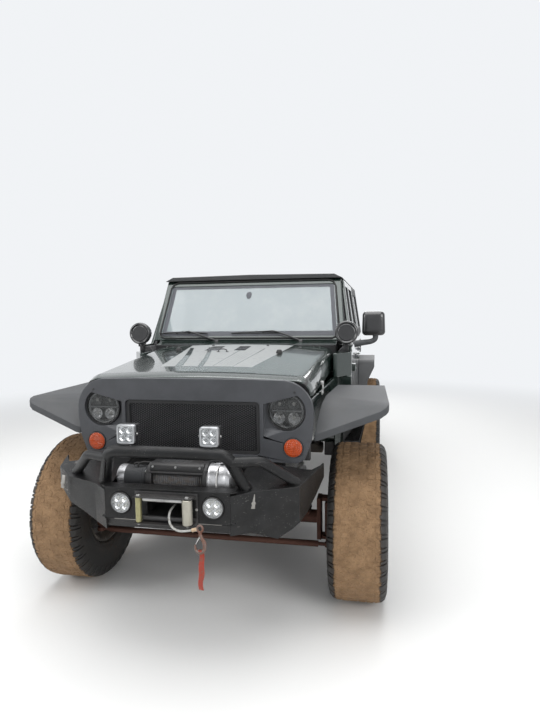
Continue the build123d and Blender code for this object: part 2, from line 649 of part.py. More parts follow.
with BuildPart() as headlamps:
    for side in SIDES:
        with BuildSketch(front_plane(GRILLE_Y + SHELL_DEPTH)) as lens:
            with Locations((side * LAMP_X, LAMP_Z)):
                Circle(LAMP_HOLE - 6)
            with Locations(Location((side * LAMP_X, LAMP_Z + BROW_RISE - 3, 0), (0, 0, side * BROW_SLOPE))):
                Rectangle(400, 100, align=(Align.CENTER, Align.MIN), mode=Mode.SUBTRACT)
        extrude(lens.sketch, amount=SHELL_DEPTH - 10)
finish(headlamps, "headlamps")

with BuildPart() as turn_signals:
    with BuildSketch(front_plane(GRILLE_Y + SHELL_DEPTH)):
        with Locations((SIGNAL_X, SIGNAL_Z), (-SIGNAL_X, SIGNAL_Z)):
            Circle(SIGNAL_RADIUS)
    extrude(amount=SHELL_DEPTH + 8)
finish(turn_signals, "turn_signals")

# Hood. Sections: Y, half width, top over the middle, drop of the top at its sides, skirt, shoulder radius.

HOOD_FRONT_Y = GRILLE_Y + SHELL_DEPTH + 9
HOOD_REAR_Y = aft(690)
HOOD_SHEET = 16.0
HOOD_SECTIONS = (
    (HOOD_FRONT_Y, 614.0, 1312.0, 18.0, 1216.0, 72.0),
    (HOOD_FRONT_Y + 60, 627.0, 1334.0, 22.0, 1214.0, 86.0),
    (HOOD_REAR_Y, 658.0, 1412.0, 24.0, 1240.0, 70.0),
)


def hood_section(y, half, top, drop, skirt, shoulder, inset=0.0):
    """One section across the hood, or across its hollow."""
    half, top = half - inset, top - inset
    skirt -= 4 * inset
    with BuildSketch(front_plane(y)) as section:
        with BuildLine():
            Line((-half, skirt), (-half, top - drop))
            ThreePointArc((-half, top - drop), (0, top), (half, top - drop))
            Polyline((half, top - drop), (half, skirt), (-half, skirt))
        make_face()
        fillet(section.vertices().group_by(Axis.Y)[-1], shoulder - inset)
    return section.sketch


with BuildPart() as hood:
    loft([hood_section(*row) for row in HOOD_SECTIONS], ruled=True)
    hollow = [hood_section(*row, inset=HOOD_SHEET) for row in HOOD_SECTIONS]
    hollow[0] = hood_section(HOOD_FRONT_Y + 14, *HOOD_SECTIONS[0][1:], inset=HOOD_SHEET)
    hollow[-1] = hood_section(HOOD_REAR_Y + 2, *HOOD_SECTIONS[-1][1:], inset=HOOD_SHEET)
    loft(hollow, ruled=True, mode=Mode.SUBTRACT)
    # the front edge is cut back below, so that it swings clear of the grille shell
    wedge = [
        (HOOD_FRONT_Y - 5, 1150), (HOOD_FRONT_Y + 26, 1150), (HOOD_FRONT_Y + 20, 1230),
        (HOOD_FRONT_Y - 5, 1318),
    ]
    across(wedge, 700, Mode.SUBTRACT)
finish(hood, "hood")

FLARE_TOP = 1178.0
LATCH_Y = aft(-120)
with BuildPart() as hood_latches:
    for side in SIDES:
        reach = (LATCH_Y - front_y) / (back_y - front_y)
        x = PANEL_FRONT_HALF + (PANEL_REAR_HALF - PANEL_FRONT_HALF) * reach
        block((side * (x + 4), side * (x + 24)), (LATCH_Y - 24, LATCH_Y + 24), (FLARE_TOP + 8, 1262))
finish(hood_latches, "hood_latches")

# Flares. Each is its height line along the vehicle, cut by its plan, with a lip round the plan. The front ones
# fold down ahead of the wheel.

FLARE_SKIN = 8.0
FLARE_LIP = 38.0
FLARE_TIP_X = 1008.0
FLARE_ROOT_X = 668.0
# Y along the vehicle, height of the top
FRONT_FLARE_LINE = [
    (aft(-430), FLARE_TOP), (aft(320), FLARE_TOP), (aft(410), 1160),
    (aft(500), 1010), (aft(545), 800), (aft(550), 720),
]
FRONT_FLARE_PLAN = [
    (640, aft(-424)), (FLARE_ROOT_X, aft(-424)), (966, aft(-372)), (992, aft(-356)), (1004, aft(-334)),
    (FLARE_TIP_X, aft(-300)), (1000, aft(320)), (930, aft(470)), (840, aft(550)), (730, aft(550)),
]
# fold across the front of a front flare: Y at its tip, Y at its root, fall for each unit ahead of it
FLARE_FOLDS = ((aft(-300), aft(-95), 0.20), (aft(-322), aft(-160), 0.42), (aft(-340), aft(-215), 0.70))
FRONT_FLARE_ROOT = [
    (0, aft(-430)), (PANEL_FRONT_HALF + 3, front_y), (PANEL_REAR_HALF + 1, back_y), (0, aft(560)),
]
REAR_FLARE_LINE = [
    (rear(-565), 700), (rear(-500), 960), (rear(-400), 1085), (rear(-330), 1118), (rear(300), 1118),
    (rear(420), 1060), (rear(500), 900), (rear(545), 730),
]
REAR_FLARE_PLAN = [
    (HALF_WIDTH, rear(-565)), (840, rear(-565)), (945, rear(-400)), (950, rear(330)), (850, rear(545)),
    (HALF_WIDTH, rear(545)),
]


def flare(line, plan, folds, root, side):
    """One flare: a skin along the line, folded down at the front, and a lip round the plan's edge."""
    with BuildPart(mode=Mode.PRIVATE) as full:
        slab(line + [(line[-1][0], 600), (line[0][0], 600)], side_plane(-1100), 2200)
        slab(mirrored(plan, side), level_plane(600), 700, Mode.INTERSECT)
        for tip_y, root_y, fall in folds:
            along = Vector(side * (FLARE_ROOT_X - FLARE_TIP_X), root_y - tip_y, 0)
            ahead = Vector(-side * along.Y, side * along.X, 0).normalized()
            slope = Plane(
                origin=(side * FLARE_TIP_X, tip_y, FLARE_TOP), x_dir=along, z_dir=ahead * fall + Vector(0, 0, 1)
            )
            with BuildSketch(slope) as above:
                Rectangle(3000, 3000)
            extrude(above.sketch, amount=900, mode=Mode.SUBTRACT)
    with BuildPart(mode=Mode.PRIVATE) as edge:
        with BuildSketch(level_plane(500)) as band:
            with BuildLine():
                Polyline(*mirrored(plan, side), close=True)
            make_face()
            offset(amount=-FLARE_SKIN, mode=Mode.SUBTRACT)
        extrude(band.sketch, amount=800)
    skin = full.part - Pos(0, 0, -FLARE_SKIN) * full.part
    lip = (full.part - Pos(0, 0, -FLARE_LIP) * full.part) & edge.part
    whole = skin + lip
    if root:
        with BuildPart(mode=Mode.PRIVATE) as body_side:
            slab(mirrored(root, side), level_plane(500), 800)
        whole = whole - body_side.part
    return whole


with BuildPart() as fender_flares:
    for side in SIDES:
        add(flare(FRONT_FLARE_LINE, FRONT_FLARE_PLAN, FLARE_FOLDS, FRONT_FLARE_ROOT, side))
        add(flare(REAR_FLARE_LINE, REAR_FLARE_PLAN, (), None, side))
finish(fender_flares, "fender_flares")

# Front bumper. Its plan is one line for each side, and its right wing is bent out at the end.

FACE_Y = aft(-800)
BUMPER_PLATE = 8.0
BUMPER_TOP = 845.0
FACE_HALF = 300.0
WELL_HALF = 320.0
WELL_BACK = aft(-520)
WELL_FLOOR = 704.0
WING_BACK = aft(-452)
LEFT_WING = [(300, aft(-800)), (398, aft(-720)), (590, aft(-620)), (683, aft(-362))]
RIGHT_WING = [(300, aft(-800)), (398, aft(-720)), (590, aft(-630)), (722, aft(-505)), (759, aft(-372))]
LEFT_EDGE = [(300, 645), (377, 638), (430, 615), (494, 590), (560, 629), (616, 675), (650, 733), (690, 815)]
RIGHT_EDGE = [(300, 640), (393, 641), (489, 668), (588, 691), (690, 722), (725, 745), (765, 812)]
# below the face a chin plate slants back between the wings
FACE_FOOT = 694.0
CHIN_FOOT = 645.0
CHIN_SETBACK = 30.0
CHIN_HALF = FACE_HALF + 6
LIP_DEPTH = 68.0
# the wing's sloping top: a point on it, and its rise along X and along Y
WING_POINT = (398.0, aft(-720), 831.0)
WING_RISE = (-0.125, 0.21)
FOG_X = 223.0
FOG_Z = 772.0
FOG_RADIUS = 52.0
FAIRLEAD_HALF = 92.0
FAIRLEAD_Z = (722.0, 806.0)
HOOP_RADIUS = 28.5
HOOP_Y = aft(-775)
HOOP_Z = 1011.0
HOOP_BEND = 60.0


def wing_height(x, y):
    """The height of a wing's top over a place in plan."""
    return WING_POINT[2] + WING_RISE[0] * (abs(x) - WING_POINT[0]) + WING_RISE[1] * (y - WING_POINT[1])


with BuildPart() as front_bumper:
    for side, plan, low_edge in ((1, LEFT_WING, LEFT_EDGE), (-1, RIGHT_WING, RIGHT_EDGE)):
        tip = plan[-1]
        whole = mirrored(plan + [(tip[0] - 60, WING_BACK), (WELL_HALF, WING_BACK)], side)
        top_plane = Plane(
            origin=(side * WING_POINT[0], WING_POINT[1], WING_POINT[2]),
            x_dir=(1, 0, side * WING_RISE[0]),
            z_dir=(-side * WING_RISE[0], -WING_RISE[1], 1),
        )
        with BuildPart(mode=Mode.PRIVATE) as walls:
            with BuildSketch(level_plane(540)) as band:
                with BuildLine():
                    line = Polyline(*mirrored(plan, side))
                    offset(line, amount=BUMPER_PLATE, side=Side.RIGHT if side < 0 else Side.LEFT)
                make_face()
            extrude(band.sketch, amount=400)
            elevation = mirrored(low_edge + [(tip[0] + 60, 1000), (FACE_HALF, 1000)], side)
            slab(elevation, front_plane(aft(-200)), 800, Mode.INTERSECT)
            with BuildSketch(top_plane) as over:
                Rectangle(2000, 2000)
            extrude(over.sketch, amount=300, mode=Mode.SUBTRACT)
        with BuildPart(mode=Mode.PRIVATE) as top:
            slab(whole, level_plane(700), 300)
            with BuildSketch(top_plane) as sheet_area:
                Rectangle(2000, 2000)
            extrude(sheet_area.sketch, amount=-BUMPER_PLATE, mode=Mode.INTERSECT)
        add(walls.part)
        add(top.part)
        # side of the winch well
        block(
            (side * WELL_HALF, side * (WELL_HALF + BUMPER_PLATE)), (aft(-760), WING_BACK),
            (690, BUMPER_TOP - 6),
        )
    centre = [(-FACE_HALF - 4, FACE_Y), (FACE_HALF + 4, FACE_Y), (FACE_HALF + 4, FACE_Y + BUMPER_PLATE),
              (-FACE_HALF - 4, FACE_Y + BUMPER_PLATE)]
    slab(centre, level_plane(FACE_FOOT), BUMPER_TOP - FACE_FOOT)
    across(
        [(FACE_Y, FACE_FOOT + 4), (FACE_Y + CHIN_SETBACK, CHIN_FOOT),
         (FACE_Y + CHIN_SETBACK + BUMPER_PLATE, CHIN_FOOT), (FACE_Y + BUMPER_PLATE, FACE_FOOT + 4)],
        CHIN_HALF,
    )
    block((-WELL_HALF - 4, WELL_HALF + 4), (FACE_Y + 4, WELL_BACK), (WELL_FLOOR - BUMPER_PLATE, WELL_FLOOR))
    block(
        (-WELL_HALF - 4, WELL_HALF + 4), (WELL_BACK - BUMPER_PLATE, WELL_BACK),
        (WELL_FLOOR - 4, BUMPER_TOP - 20),
    )
    lip = [(-FACE_HALF, FACE_Y), (FACE_HALF, FACE_Y),
           (WELL_HALF + 6, FACE_Y + 22), (WELL_HALF + 6, FACE_Y + LIP_DEPTH),
           (-WELL_HALF - 6, FACE_Y + LIP_DEPTH), (-WELL_HALF - 6, FACE_Y + 22)]
    slab(lip, level_plane(BUMPER_TOP - BUMPER_PLATE), BUMPER_PLATE)
    # brackets to the frame rails
    for side in SIDES:
        block((side * (RAIL_X - 50), side * (RAIL_X + 50)), (aft(-608), aft(-600)), (600, 842))
    # the way in for the rope, and the lamps' holes
    block((-FAIRLEAD_HALF, FAIRLEAD_HALF), (FACE_Y - 5, FACE_Y + 20), FAIRLEAD_Z, Mode.SUBTRACT)
    with BuildSketch(front_plane(FACE_Y + 20)) as holes:
        with Locations((FOG_X, FOG_Z), (-FOG_X, FOG_Z)):
            Circle(FOG_RADIUS + 1)
    extrude(holes.sketch, amount=40, mode=Mode.SUBTRACT)
    # hoop and its side tubes
    foot_x, foot_y = 352.0, aft(-705)
    foot_z = wing_height(foot_x, foot_y) - 4
    tube(
        [(-foot_x, foot_y, foot_z), (-285, HOOP_Y, HOOP_Z), (285, HOOP_Y, HOOP_Z), (foot_x, foot_y, foot_z)],
        HOOP_RADIUS,
        HOOP_BEND,
    )
    for side in SIDES:
        end_x, end_y = 575.0, aft(-585)
        tube(
            [(side * 290, aft(-770), 975), (side * 430, aft(-712), 970),
             (side * end_x, end_y, wing_height(end_x, end_y) - 4)],
            24,
            80,
        )
finish(front_bumper, "front_bumper")

# Winch in the bumper's well: motor on the right, drum, gearbox on the left.

WINCH_Y = aft(-640)
WINCH_Z = 850.0
# length of winch: from X, to X, radius
WINCH_TURNS = (
    (-300.0, -140.0, 55.0), (-140.0, -110.0, 76.0), (-110.0, 146.0, 46.0), (146.0, 168.0, 86.0),
    (168.0, 284.0, 80.0),
)
WINCH_FEET = (-125.0, 157.0)
COVER_X = (-120.0, 150.0)
COVER_RISE = (56.0, 84.0)

with BuildPart() as winch:
    for start, end, radius in WINCH_TURNS:
        rod((start, WINCH_Y, WINCH_Z), (end, WINCH_Y, WINCH_Z), radius)
    for place in WINCH_FEET:
        block((place - 10, place + 10), (WINCH_Y - 64, WINCH_Y + 64), (WELL_FLOOR, WINCH_Z - 8))
    for bar_y in (WINCH_Y - 58, WINCH_Y + 58):
        rod((WINCH_FEET[0], bar_y, WINCH_Z + 40), (WINCH_FEET[1], bar_y, WINCH_Z + 40), 8)
    block(
        COVER_X, (WINCH_Y - 60, WINCH_Y + 52), (WINCH_Z + COVER_RISE[0], WINCH_Z + COVER_RISE[1]),
    )
finish(winch, "winch")

ROLLER_X = 116.0
ROLLER_Y = FACE_Y - 40
ROLLER_Z = (704.0, 821.0)
# upright roller: X, radius
UPRIGHT_ROLLERS = ((-ROLLER_X, 14.0), (ROLLER_X, 23.0))

with BuildPart() as fairlead:
    with BuildSketch(front_plane(FACE_Y)):
        with Locations((0, sum(FAIRLEAD_Z) / 2)):
            Rectangle(300, 142)
            Rectangle(2 * FAIRLEAD_HALF - 4, 76, mode=Mode.SUBTRACT)
    extrude(amount=7)
    for level in (ROLLER_Z[0] - 8, ROLLER_Z[1]):
        block((-150, 150), (FACE_Y - 64, FACE_Y - 5), (level, level + 8))
    for x, radius in UPRIGHT_ROLLERS:
        rod((x, ROLLER_Y, ROLLER_Z[0] - 4), (x, ROLLER_Y, ROLLER_Z[1] + 14), 7)
        rod((x, ROLLER_Y, ROLLER_Z[0] + 4), (x, ROLLER_Y, ROLLER_Z[1] - 4), radius)
    for level in (ROLLER_Z[0] + 16, ROLLER_Z[1] - 18):
        rod((-92, FACE_Y - 24, level), (82, FACE_Y - 24, level), 13)
        rod((-145, FACE_Y - 24, level), (145, FACE_Y - 24, level), 5)
    for side in SIDES:
        block((side * 138, side * 150), (FACE_Y - 50, FACE_Y - 5), (ROLLER_Z[0] - 2, ROLLER_Z[1] + 2))
finish(fairlead, "fairlead")

# Winch rope: out between the rollers, down in a loose bow and up to its hook.

ROPE_RADIUS = 5.0
ROPE_ROUTE = (
    (30.0, FACE_Y + 40, 764.0), (30.0, FACE_Y - 8, 763.0), (31.0, FACE_Y - 44, 750.0),
    (38.0, FACE_Y - 62, 722.0),
    (55.0, FACE_Y - 72, 700.0), (84.0, FACE_Y - 77, 689.0), (118.0, FACE_Y - 78, 690.0),
    (150.0, FACE_Y - 77, 697.0),
)


def turn_radii(route):
    """The largest arc at each inner point that its two runs leave room for."""
    radii = []
    for before, here, after in zip(route, route[1:], route[2:]):
        back, ahead = Vector(*before) - Vector(*here), Vector(*after) - Vector(*here)
        half_turn = radians(180 - back.get_angle(ahead)) / 2
        radii.append(0.45 * min(back.length, ahead.length) * cos(half_turn) / sin(half_turn))
    return radii


rope_radii = turn_radii(ROPE_ROUTE)
print("rope arcs", [round(radius, 1) for radius in rope_radii])
with BuildPart() as winch_rope:
    tube(list(ROPE_ROUTE), ROPE_RADIUS, rope_radii)
finish(winch_rope, "winch_rope")

HOOK_X = 186.0
HOOK_Y = FACE_Y - 77
HOOK_Z = 706.0
with BuildPart() as tow_hook:
    # sleeve on the rope's end, then the eye, the hook's bow and its pull strap
    rod((152, HOOK_Y, 697.5), (168, HOOK_Y, 701), 8)
    rod((HOOK_X, HOOK_Y - 9, HOOK_Z), (HOOK_X, HOOK_Y + 9, HOOK_Z), 20)
    rod((HOOK_X, HOOK_Y - 12, HOOK_Z), (HOOK_X, HOOK_Y + 12, HOOK_Z), 9, Mode.SUBTRACT)
    with BuildSketch(front_plane(HOOK_Y + 8)) as bow:
        with BuildLine():
            Polyline((178, 692), (198, 690), (222, 650), (222, 612), (204, 590), (180, 592), (172, 612),
                     (186, 618), (196, 608), (206, 620), (206, 645), (184, 672), close=True)
        make_face()
    extrude(bow.sketch, amount=16)
    block((174, 200), (HOOK_Y - 3, HOOK_Y + 3), (420, 600))
finish(tow_hook, "tow_hook")

# Lamps on the bumper, and a round lamp at each foot of the windshield.

CUBE_X = 202.0
CUBE_Y = aft(-742)
CUBE_Z = 1088.0
CUBE = 92.0
POD_X = 750.0
POD_Y = aft(630)
POD_Z = 1497.0
POD_RADIUS = 80.0

with BuildPart() as driving_lamps:
    for side in SIDES:
        x = side * CUBE_X
        block(
            (x - CUBE / 2, x + CUBE / 2), (CUBE_Y - 30, CUBE_Y + 42), (CUBE_Z - CUBE / 2, CUBE_Z + CUBE / 2),
        )
        block(
            (x - 20, x + 20), (HOOP_Y - 8, HOOP_Y + 26), (HOOP_Z + HOOP_RADIUS + 0.1, CUBE_Z - CUBE / 2 + 4),
        )
        with BuildSketch(front_plane(FACE_Y + 40)) as fog:
            with Locations((side * FOG_X, FOG_Z)):
                Circle(FOG_RADIUS)
        extrude(fog.sketch, amount=46)
    # the round lamps stand on arms from the cowl's sides
    for side in SIDES:
        x = side * POD_X
        rod((x, POD_Y + 52, POD_Z), (x, POD_Y - 42, POD_Z), POD_RADIUS)
        block((x - 16, x + 16), (POD_Y - 6, POD_Y + 10), (BELT_Z - 4, POD_Z - 60))
finish(driving_lamps, "driving_lamps")

# Windshield frame, its glass and the wipers

LEAN = atan2(SHIELD_HEAD[0] - SHIELD_FOOT[0], SHIELD_HEAD[1] - SHIELD_FOOT[1])
SHIELD_LENGTH = hypot(SHIELD_HEAD[0] - SHIELD_FOOT[0], SHIELD_HEAD[1] - SHIELD_FOOT[1])
SHIELD_PLANE = Plane(
    origin=(0, SHIELD_FOOT[0], SHIELD_FOOT[1]), x_dir=(1, 0, 0), z_dir=(0, -cos(LEAN), sin(LEAN))
)
GLASS_INSET = 5.0
# the glass's edge inside the frame: foot half width, head half width, rise of its foot, drop of its head
GLASS_FOOT_HALF = 694.0
GLASS_HEAD_HALF = 650.0
GLASS_FOOT = 32.0
GLASS_HEAD = SHIELD_LENGTH - 50.0


def shield_glass():
    """The windshield glass's outline on its plane."""
    with BuildSketch(SHIELD_PLANE) as outline:
        with BuildLine():
            Polyline(
                (-GLASS_FOOT_HALF, GLASS_FOOT), (GLASS_FOOT_HALF, GLASS_FOOT), (GLASS_HEAD_HALF, GLASS_HEAD),
                (-GLASS_HEAD_HALF, GLASS_HEAD), close=True,
            )
        make_face()
        fillet(outline.vertices(), 30)
    return outline.sketch


with BuildPart() as windshield_frame:
    frame_outline = [
        (-SHIELD_FOOT_HALF - 4, -50), (SHIELD_FOOT_HALF + 4, -50), (SHIELD_HEAD_HALF - 4, SHIELD_LENGTH + 40),
        (-SHIELD_HEAD_HALF + 4, SHIELD_LENGTH + 40),
    ]
    slab(frame_outline, SHIELD_PLANE, -SHIELD_THICK)
    block((-900, 900), (aft(700), aft(1300)), (COWL_Z + 0.5, SHIELD_HEAD[1]), Mode.INTERSECT)
    extrude(shield_glass(), amount=-SHIELD_THICK - 10, mode=Mode.SUBTRACT)
finish(windshield_frame, "windshield_frame")

HARDTOP_REAR_Y = TAIL_Y - 4
SIDE_GLASS = [(rear(-400), 1450), (rear(560), 1450), (rear(520), 1800), (rear(-400), 1800)]
REAR_GLASS = [(-540, 1440), (540, 1440), (500, 1830), (-500, 1830)]

# upper body wall: X and Z of its outside, from the belt to the roof's edge
WALL_FOOT_X = HALF_WIDTH
WALL_HEAD_X = HALF_WIDTH - 80.0
WALL_HEAD_Z = 1890.0


def wall_x(z):
    """The X of the upper body's outside at a height."""
    share = (z - BELT_Z) / (WALL_HEAD_Z - BELT_Z)
    return WALL_FOOT_X + (WALL_HEAD_X - WALL_FOOT_X) * share


def wall_band(depth, start, end, low, high):
    """A section through the upper wall, from one depth under its outside to another, along Y."""
    points = [(wall_x(low) - depth[0], low), (wall_x(high) - depth[0], high), (wall_x(high) - depth[1], high),
              (wall_x(low) - depth[1], low)]
    return points, front_plane(end), end - start


ROOF_START = aft(1000)
TOP_GAP_Z = 1886.0

with BuildPart() as hardtop:
    top_outline = [
        (-wall_x(BELT_Z), BELT_Z + 2), (-wall_x(WALL_HEAD_Z), WALL_HEAD_Z), (-640, ROOF_Z - 8), (0, ROOF_Z),
        (640, ROOF_Z - 8), (wall_x(WALL_HEAD_Z), WALL_HEAD_Z), (wall_x(BELT_Z), BELT_Z + 2),
    ]
    top_hollow = [
        (-wall_x(BELT_Z) + 42, BELT_Z - 5), (-wall_x(WALL_HEAD_Z) + 42, WALL_HEAD_Z - 20), (-640, 1892),
        (640, 1892), (wall_x(WALL_HEAD_Z) - 42, WALL_HEAD_Z - 20), (wall_x(BELT_Z) - 42, BELT_Z - 5),
    ]
    slab(top_outline, front_plane(HARDTOP_REAR_Y), HARDTOP_REAR_Y - ROOF_START)
    slab(top_hollow, front_plane(HARDTOP_REAR_Y - 44), HARDTOP_REAR_Y - ROOF_START, Mode.SUBTRACT)
    # room for the doors and the windshield frame
    block(
        (-900, 900), (ROOF_START - 10, REAR_DOOR_END + DOOR_SWING_GAP), (BELT_Z - 10, SHIELD_HEAD[1] + 1),
        Mode.SUBTRACT,
    )
    slab(SIDE_GLASS, side_plane(-900), 1800, Mode.SUBTRACT)
    slab(REAR_GLASS, front_plane(HARDTOP_REAR_Y + 30), 150, Mode.SUBTRACT)
finish(hardtop, "hardtop")

GLASS_THICK = 5.0
with BuildPart() as windshield:
    glass = shield_glass()
    extrude(glass.moved(Location(SHIELD_PLANE.z_dir * -GLASS_INSET)), amount=-GLASS_THICK)
finish(windshield, "windshield")

with BuildPart() as hardtop_glass:
    for side in SIDES:
        with BuildPart(mode=Mode.PRIVATE) as pane:
            slab(SIDE_GLASS, side_plane(-900), 1800)
            points, plane, length = wall_band((10, 16), rear(-500), rear(700), 1400, 1850)
            slab(mirrored(points, side), plane, length, Mode.INTERSECT)
        add(pane.part)
    slab(REAR_GLASS, front_plane(HARDTOP_REAR_Y - 8), GLASS_THICK)
finish(hardtop_glass, "hardtop_glass")

# wiper: pivot X, blade's middle along the glass as X and rise, blade's half length
WIPERS = ((412.0, 80.0, 56.0, 196.0), (-222.0, -494.0, 52.0, 190.0))
with BuildPart() as wipers:
    for pivot_x, blade_x, rise, half in WIPERS:
        pivot = Vector(pivot_x, aft(779), COWL_Z + 0.3)
        rod(tuple(pivot), tuple(pivot + Vector(0, 0, 26)), 13)
        middle_point = SHIELD_PLANE.from_local_coords(Vector(blade_x, rise, 13))
        rod(tuple(pivot + Vector(0, 0, 18)), tuple(middle_point), 6)
        blade_ends = [
            SHIELD_PLANE.from_local_coords(Vector(blade_x + sign * half, rise + sign * 10, 11))
            for sign in SIDES
        ]
        rod(tuple(blade_ends[0]), tuple(blade_ends[1]), 8)
finish(wipers, "wipers")

# Doors. Each is its side outline cut from the body's wall, full depth below the belt and a frame above.

DOOR_FRAME_DEPTH = 45.0
DOOR_HINGE_X = HALF_WIDTH + 16.0
WINDOW_RAIL = 62.0
WINDOW_FOOT = BELT_Z + 22.0


def shield_back(z):
    """The Y of the windshield frame's rear face at a height."""
    share = (z - SHIELD_FOOT[1]) / (SHIELD_HEAD[1] - SHIELD_FOOT[1])
    return SHIELD_FOOT[0] + (SHIELD_HEAD[0] - SHIELD_FOOT[0]) * share + SHIELD_THICK / cos(LEAN)


DOOR_TOP = TOP_GAP_Z - PANEL_GAP
front_edge = [shield_back(BELT_Z + 40) + 10, shield_back(DOOR_TOP) + 10]
FRONT_DOOR = [
    (DOOR_FRONT_Y, DOOR_BOTTOM), (DOOR_FRONT_Y, BELT_Z), (DOOR_FRONT_Y + 20, BELT_Z + 40),
    (front_edge[0], BELT_Z + 40), (front_edge[1], DOOR_TOP), (MIDDLE_Y, DOOR_TOP), (MIDDLE_Y, DOOR_BOTTOM),
]
FRONT_WINDOW = [
    (front_edge[0] + 70, WINDOW_FOOT), (front_edge[1] + 48, DOOR_TOP - 48),
    (MIDDLE_Y - WINDOW_RAIL, DOOR_TOP - 48), (MIDDLE_Y - WINDOW_RAIL, WINDOW_FOOT),
]
REAR_DOOR_START = MIDDLE_Y + DOOR_SWING_GAP
REAR_DOOR = [
    (REAR_DOOR_START, DOOR_BOTTOM), (REAR_DOOR_START, DOOR_TOP), (REAR_DOOR_END, DOOR_TOP),
    (REAR_DOOR_END, ARCH_KNEE_Z), (REAR_DOOR_FOOT, DOOR_BOTTOM),
]
REAR_WINDOW = [
    (REAR_DOOR_START + WINDOW_RAIL, WINDOW_FOOT), (REAR_DOOR_START + WINDOW_RAIL, DOOR_TOP - 48),
    (REAR_DOOR_END - WINDOW_RAIL, DOOR_TOP - 48), (REAR_DOOR_END - WINDOW_RAIL, WINDOW_FOOT),
]
DOOR_SECTION = [
    (HALF_WIDTH, DOOR_BOTTOM - 10), (HALF_WIDTH, BELT_Z), (wall_x(DOOR_TOP + 10), DOOR_TOP + 10),
    (wall_x(DOOR_TOP + 10) - DOOR_FRAME_DEPTH, DOOR_TOP + 10),
    (wall_x(BELT_Z + 41) - DOOR_FRAME_DEPTH, BELT_Z + 41),
    (HALF_WIDTH - DOOR_DEPTH, BELT_Z - 10), (HALF_WIDTH - DOOR_DEPTH, DOOR_BOTTOM - 10),
]
DOOR_SKIN = 22.0
DOOR_STEP = 14.0
SKIN_SECTION = [
    (HALF_WIDTH, DOOR_BOTTOM - 10), (HALF_WIDTH, BELT_Z), (wall_x(DOOR_TOP + 10), DOOR_TOP + 10),
    (wall_x(DOOR_TOP + 10) - DOOR_SKIN, DOOR_TOP + 10), (HALF_WIDTH - DOOR_SKIN, BELT_Z),
    (HALF_WIDTH - DOOR_SKIN, DOOR_BOTTOM - 10),
]


def door_layer(outline_points, section, side, inset):
    """One layer of a door: its side outline, drawn in by `inset`, within a section across the vehicle."""
    with BuildPart(mode=Mode.PRIVATE) as layer:
        with BuildSketch(side_plane(-900)) as shape:
            with BuildLine():
                Polyline(*outline_points, close=True)
            make_face()
            if inset:
                offset(amount=-inset, kind=Kind.INTERSECTION, mode=Mode.REPLACE)
        extrude(shape.sketch, amount=1800)
        slab(mirrored(section, side), front_plane(aft(3000)), 2600, Mode.INTERSECT)
    return layer.part


# door: place, outline, window, front edge's Y, whether each side's glass is up
DOORS = (
    ("front", FRONT_DOOR, FRONT_WINDOW, DOOR_FRONT_Y, (True, True)),
    ("rear", REAR_DOOR, REAR_WINDOW, REAR_DOOR_START, (False, True)),
)

for place, outline_points, window, edge_y, glass_up in DOORS:
    for side, hand, up in zip(SIDES, ("left", "right"), glass_up):
        with BuildPart() as door:
            # an outer skin, and an inner shell that is smaller all round so that it swings clear
            add(door_layer(outline_points, SKIN_SECTION, side, 0))
            add(door_layer(outline_points, DOOR_SECTION, side, DOOR_STEP))
            slab(window, side_plane(-900), 1800, Mode.SUBTRACT)
            # hinge leaves on the outside
            for hinge_z in (DOOR_BOTTOM + 130, BELT_Z - 120):
                block((side * (HALF_WIDTH - 5), side * (DOOR_HINGE_X + 8)), (edge_y + 3, edge_y + 62),
                      (hinge_z - 26, hinge_z + 26))
        finish(door, f"{place}_door_{hand}")
        if up:
            with BuildPart() as pane:
                slab(window, side_plane(-900), 1800)
                points, plane, length = wall_band((18, 23), aft(500), aft(3000), 1380, 1880)
                slab(mirrored(points, side), plane, length, Mode.INTERSECT)
            finish(pane, f"{place}_door_glass_{hand}")

with BuildPart() as door_mirror:
    block((845, 1018), (aft(905), aft(985)), (1458, 1638))
    block((880, 905), (aft(925), aft(965)), (1385, 1460))
    block((wall_x(1378) + 0.2, 905), (aft(920), aft(970)), (1378, 1402))
finish(door_mirror, "door_mirror")

# Tailgate with the spare wheel's carrier, rear bumper and tail lamps

GATE_TOP = BELT_Z - 6
with BuildPart() as tailgate:
    block((-GATE_HALF, GATE_HALF), (TAIL_Y - 46, TAIL_Y + 10), (GATE_BOTTOM, GATE_TOP))
    block(
        (-GATE_HALF + 60, GATE_HALF - 60), (TAIL_Y - 50, TAIL_Y - 30), (GATE_BOTTOM + 60, GATE_TOP - 60),
        Mode.SUBTRACT,
    )
    rod((SPARE_X, TAIL_Y + 5, SPARE_Z), (SPARE_X, SPARE_Y - 40, SPARE_Z), 70)
    block((SPARE_X - 180, SPARE_X + 180), (TAIL_Y + 5, TAIL_Y + 40), (SPARE_Z - 130, SPARE_Z + 130))
    for hinge_z in (930.0, 1270.0):
        block((-GATE_HALF + 4, -GATE_HALF + 120), (TAIL_Y + 5, TAIL_Y + 26), (hinge_z - 30, hinge_z + 30))
finish(tailgate, "tailgate")

RECEIVER_HALF = 32.0
RECEIVER_BORE_HALF = 25.5
RECEIVER_Z = 596.0
RECEIVER_PIN_RADIUS = 8.0
RECEIVER_PIN_BACK = 38.0
RECEIVER_END_Y = TAIL_Y + 138
REAR_BUMPER_TOP = 690.0
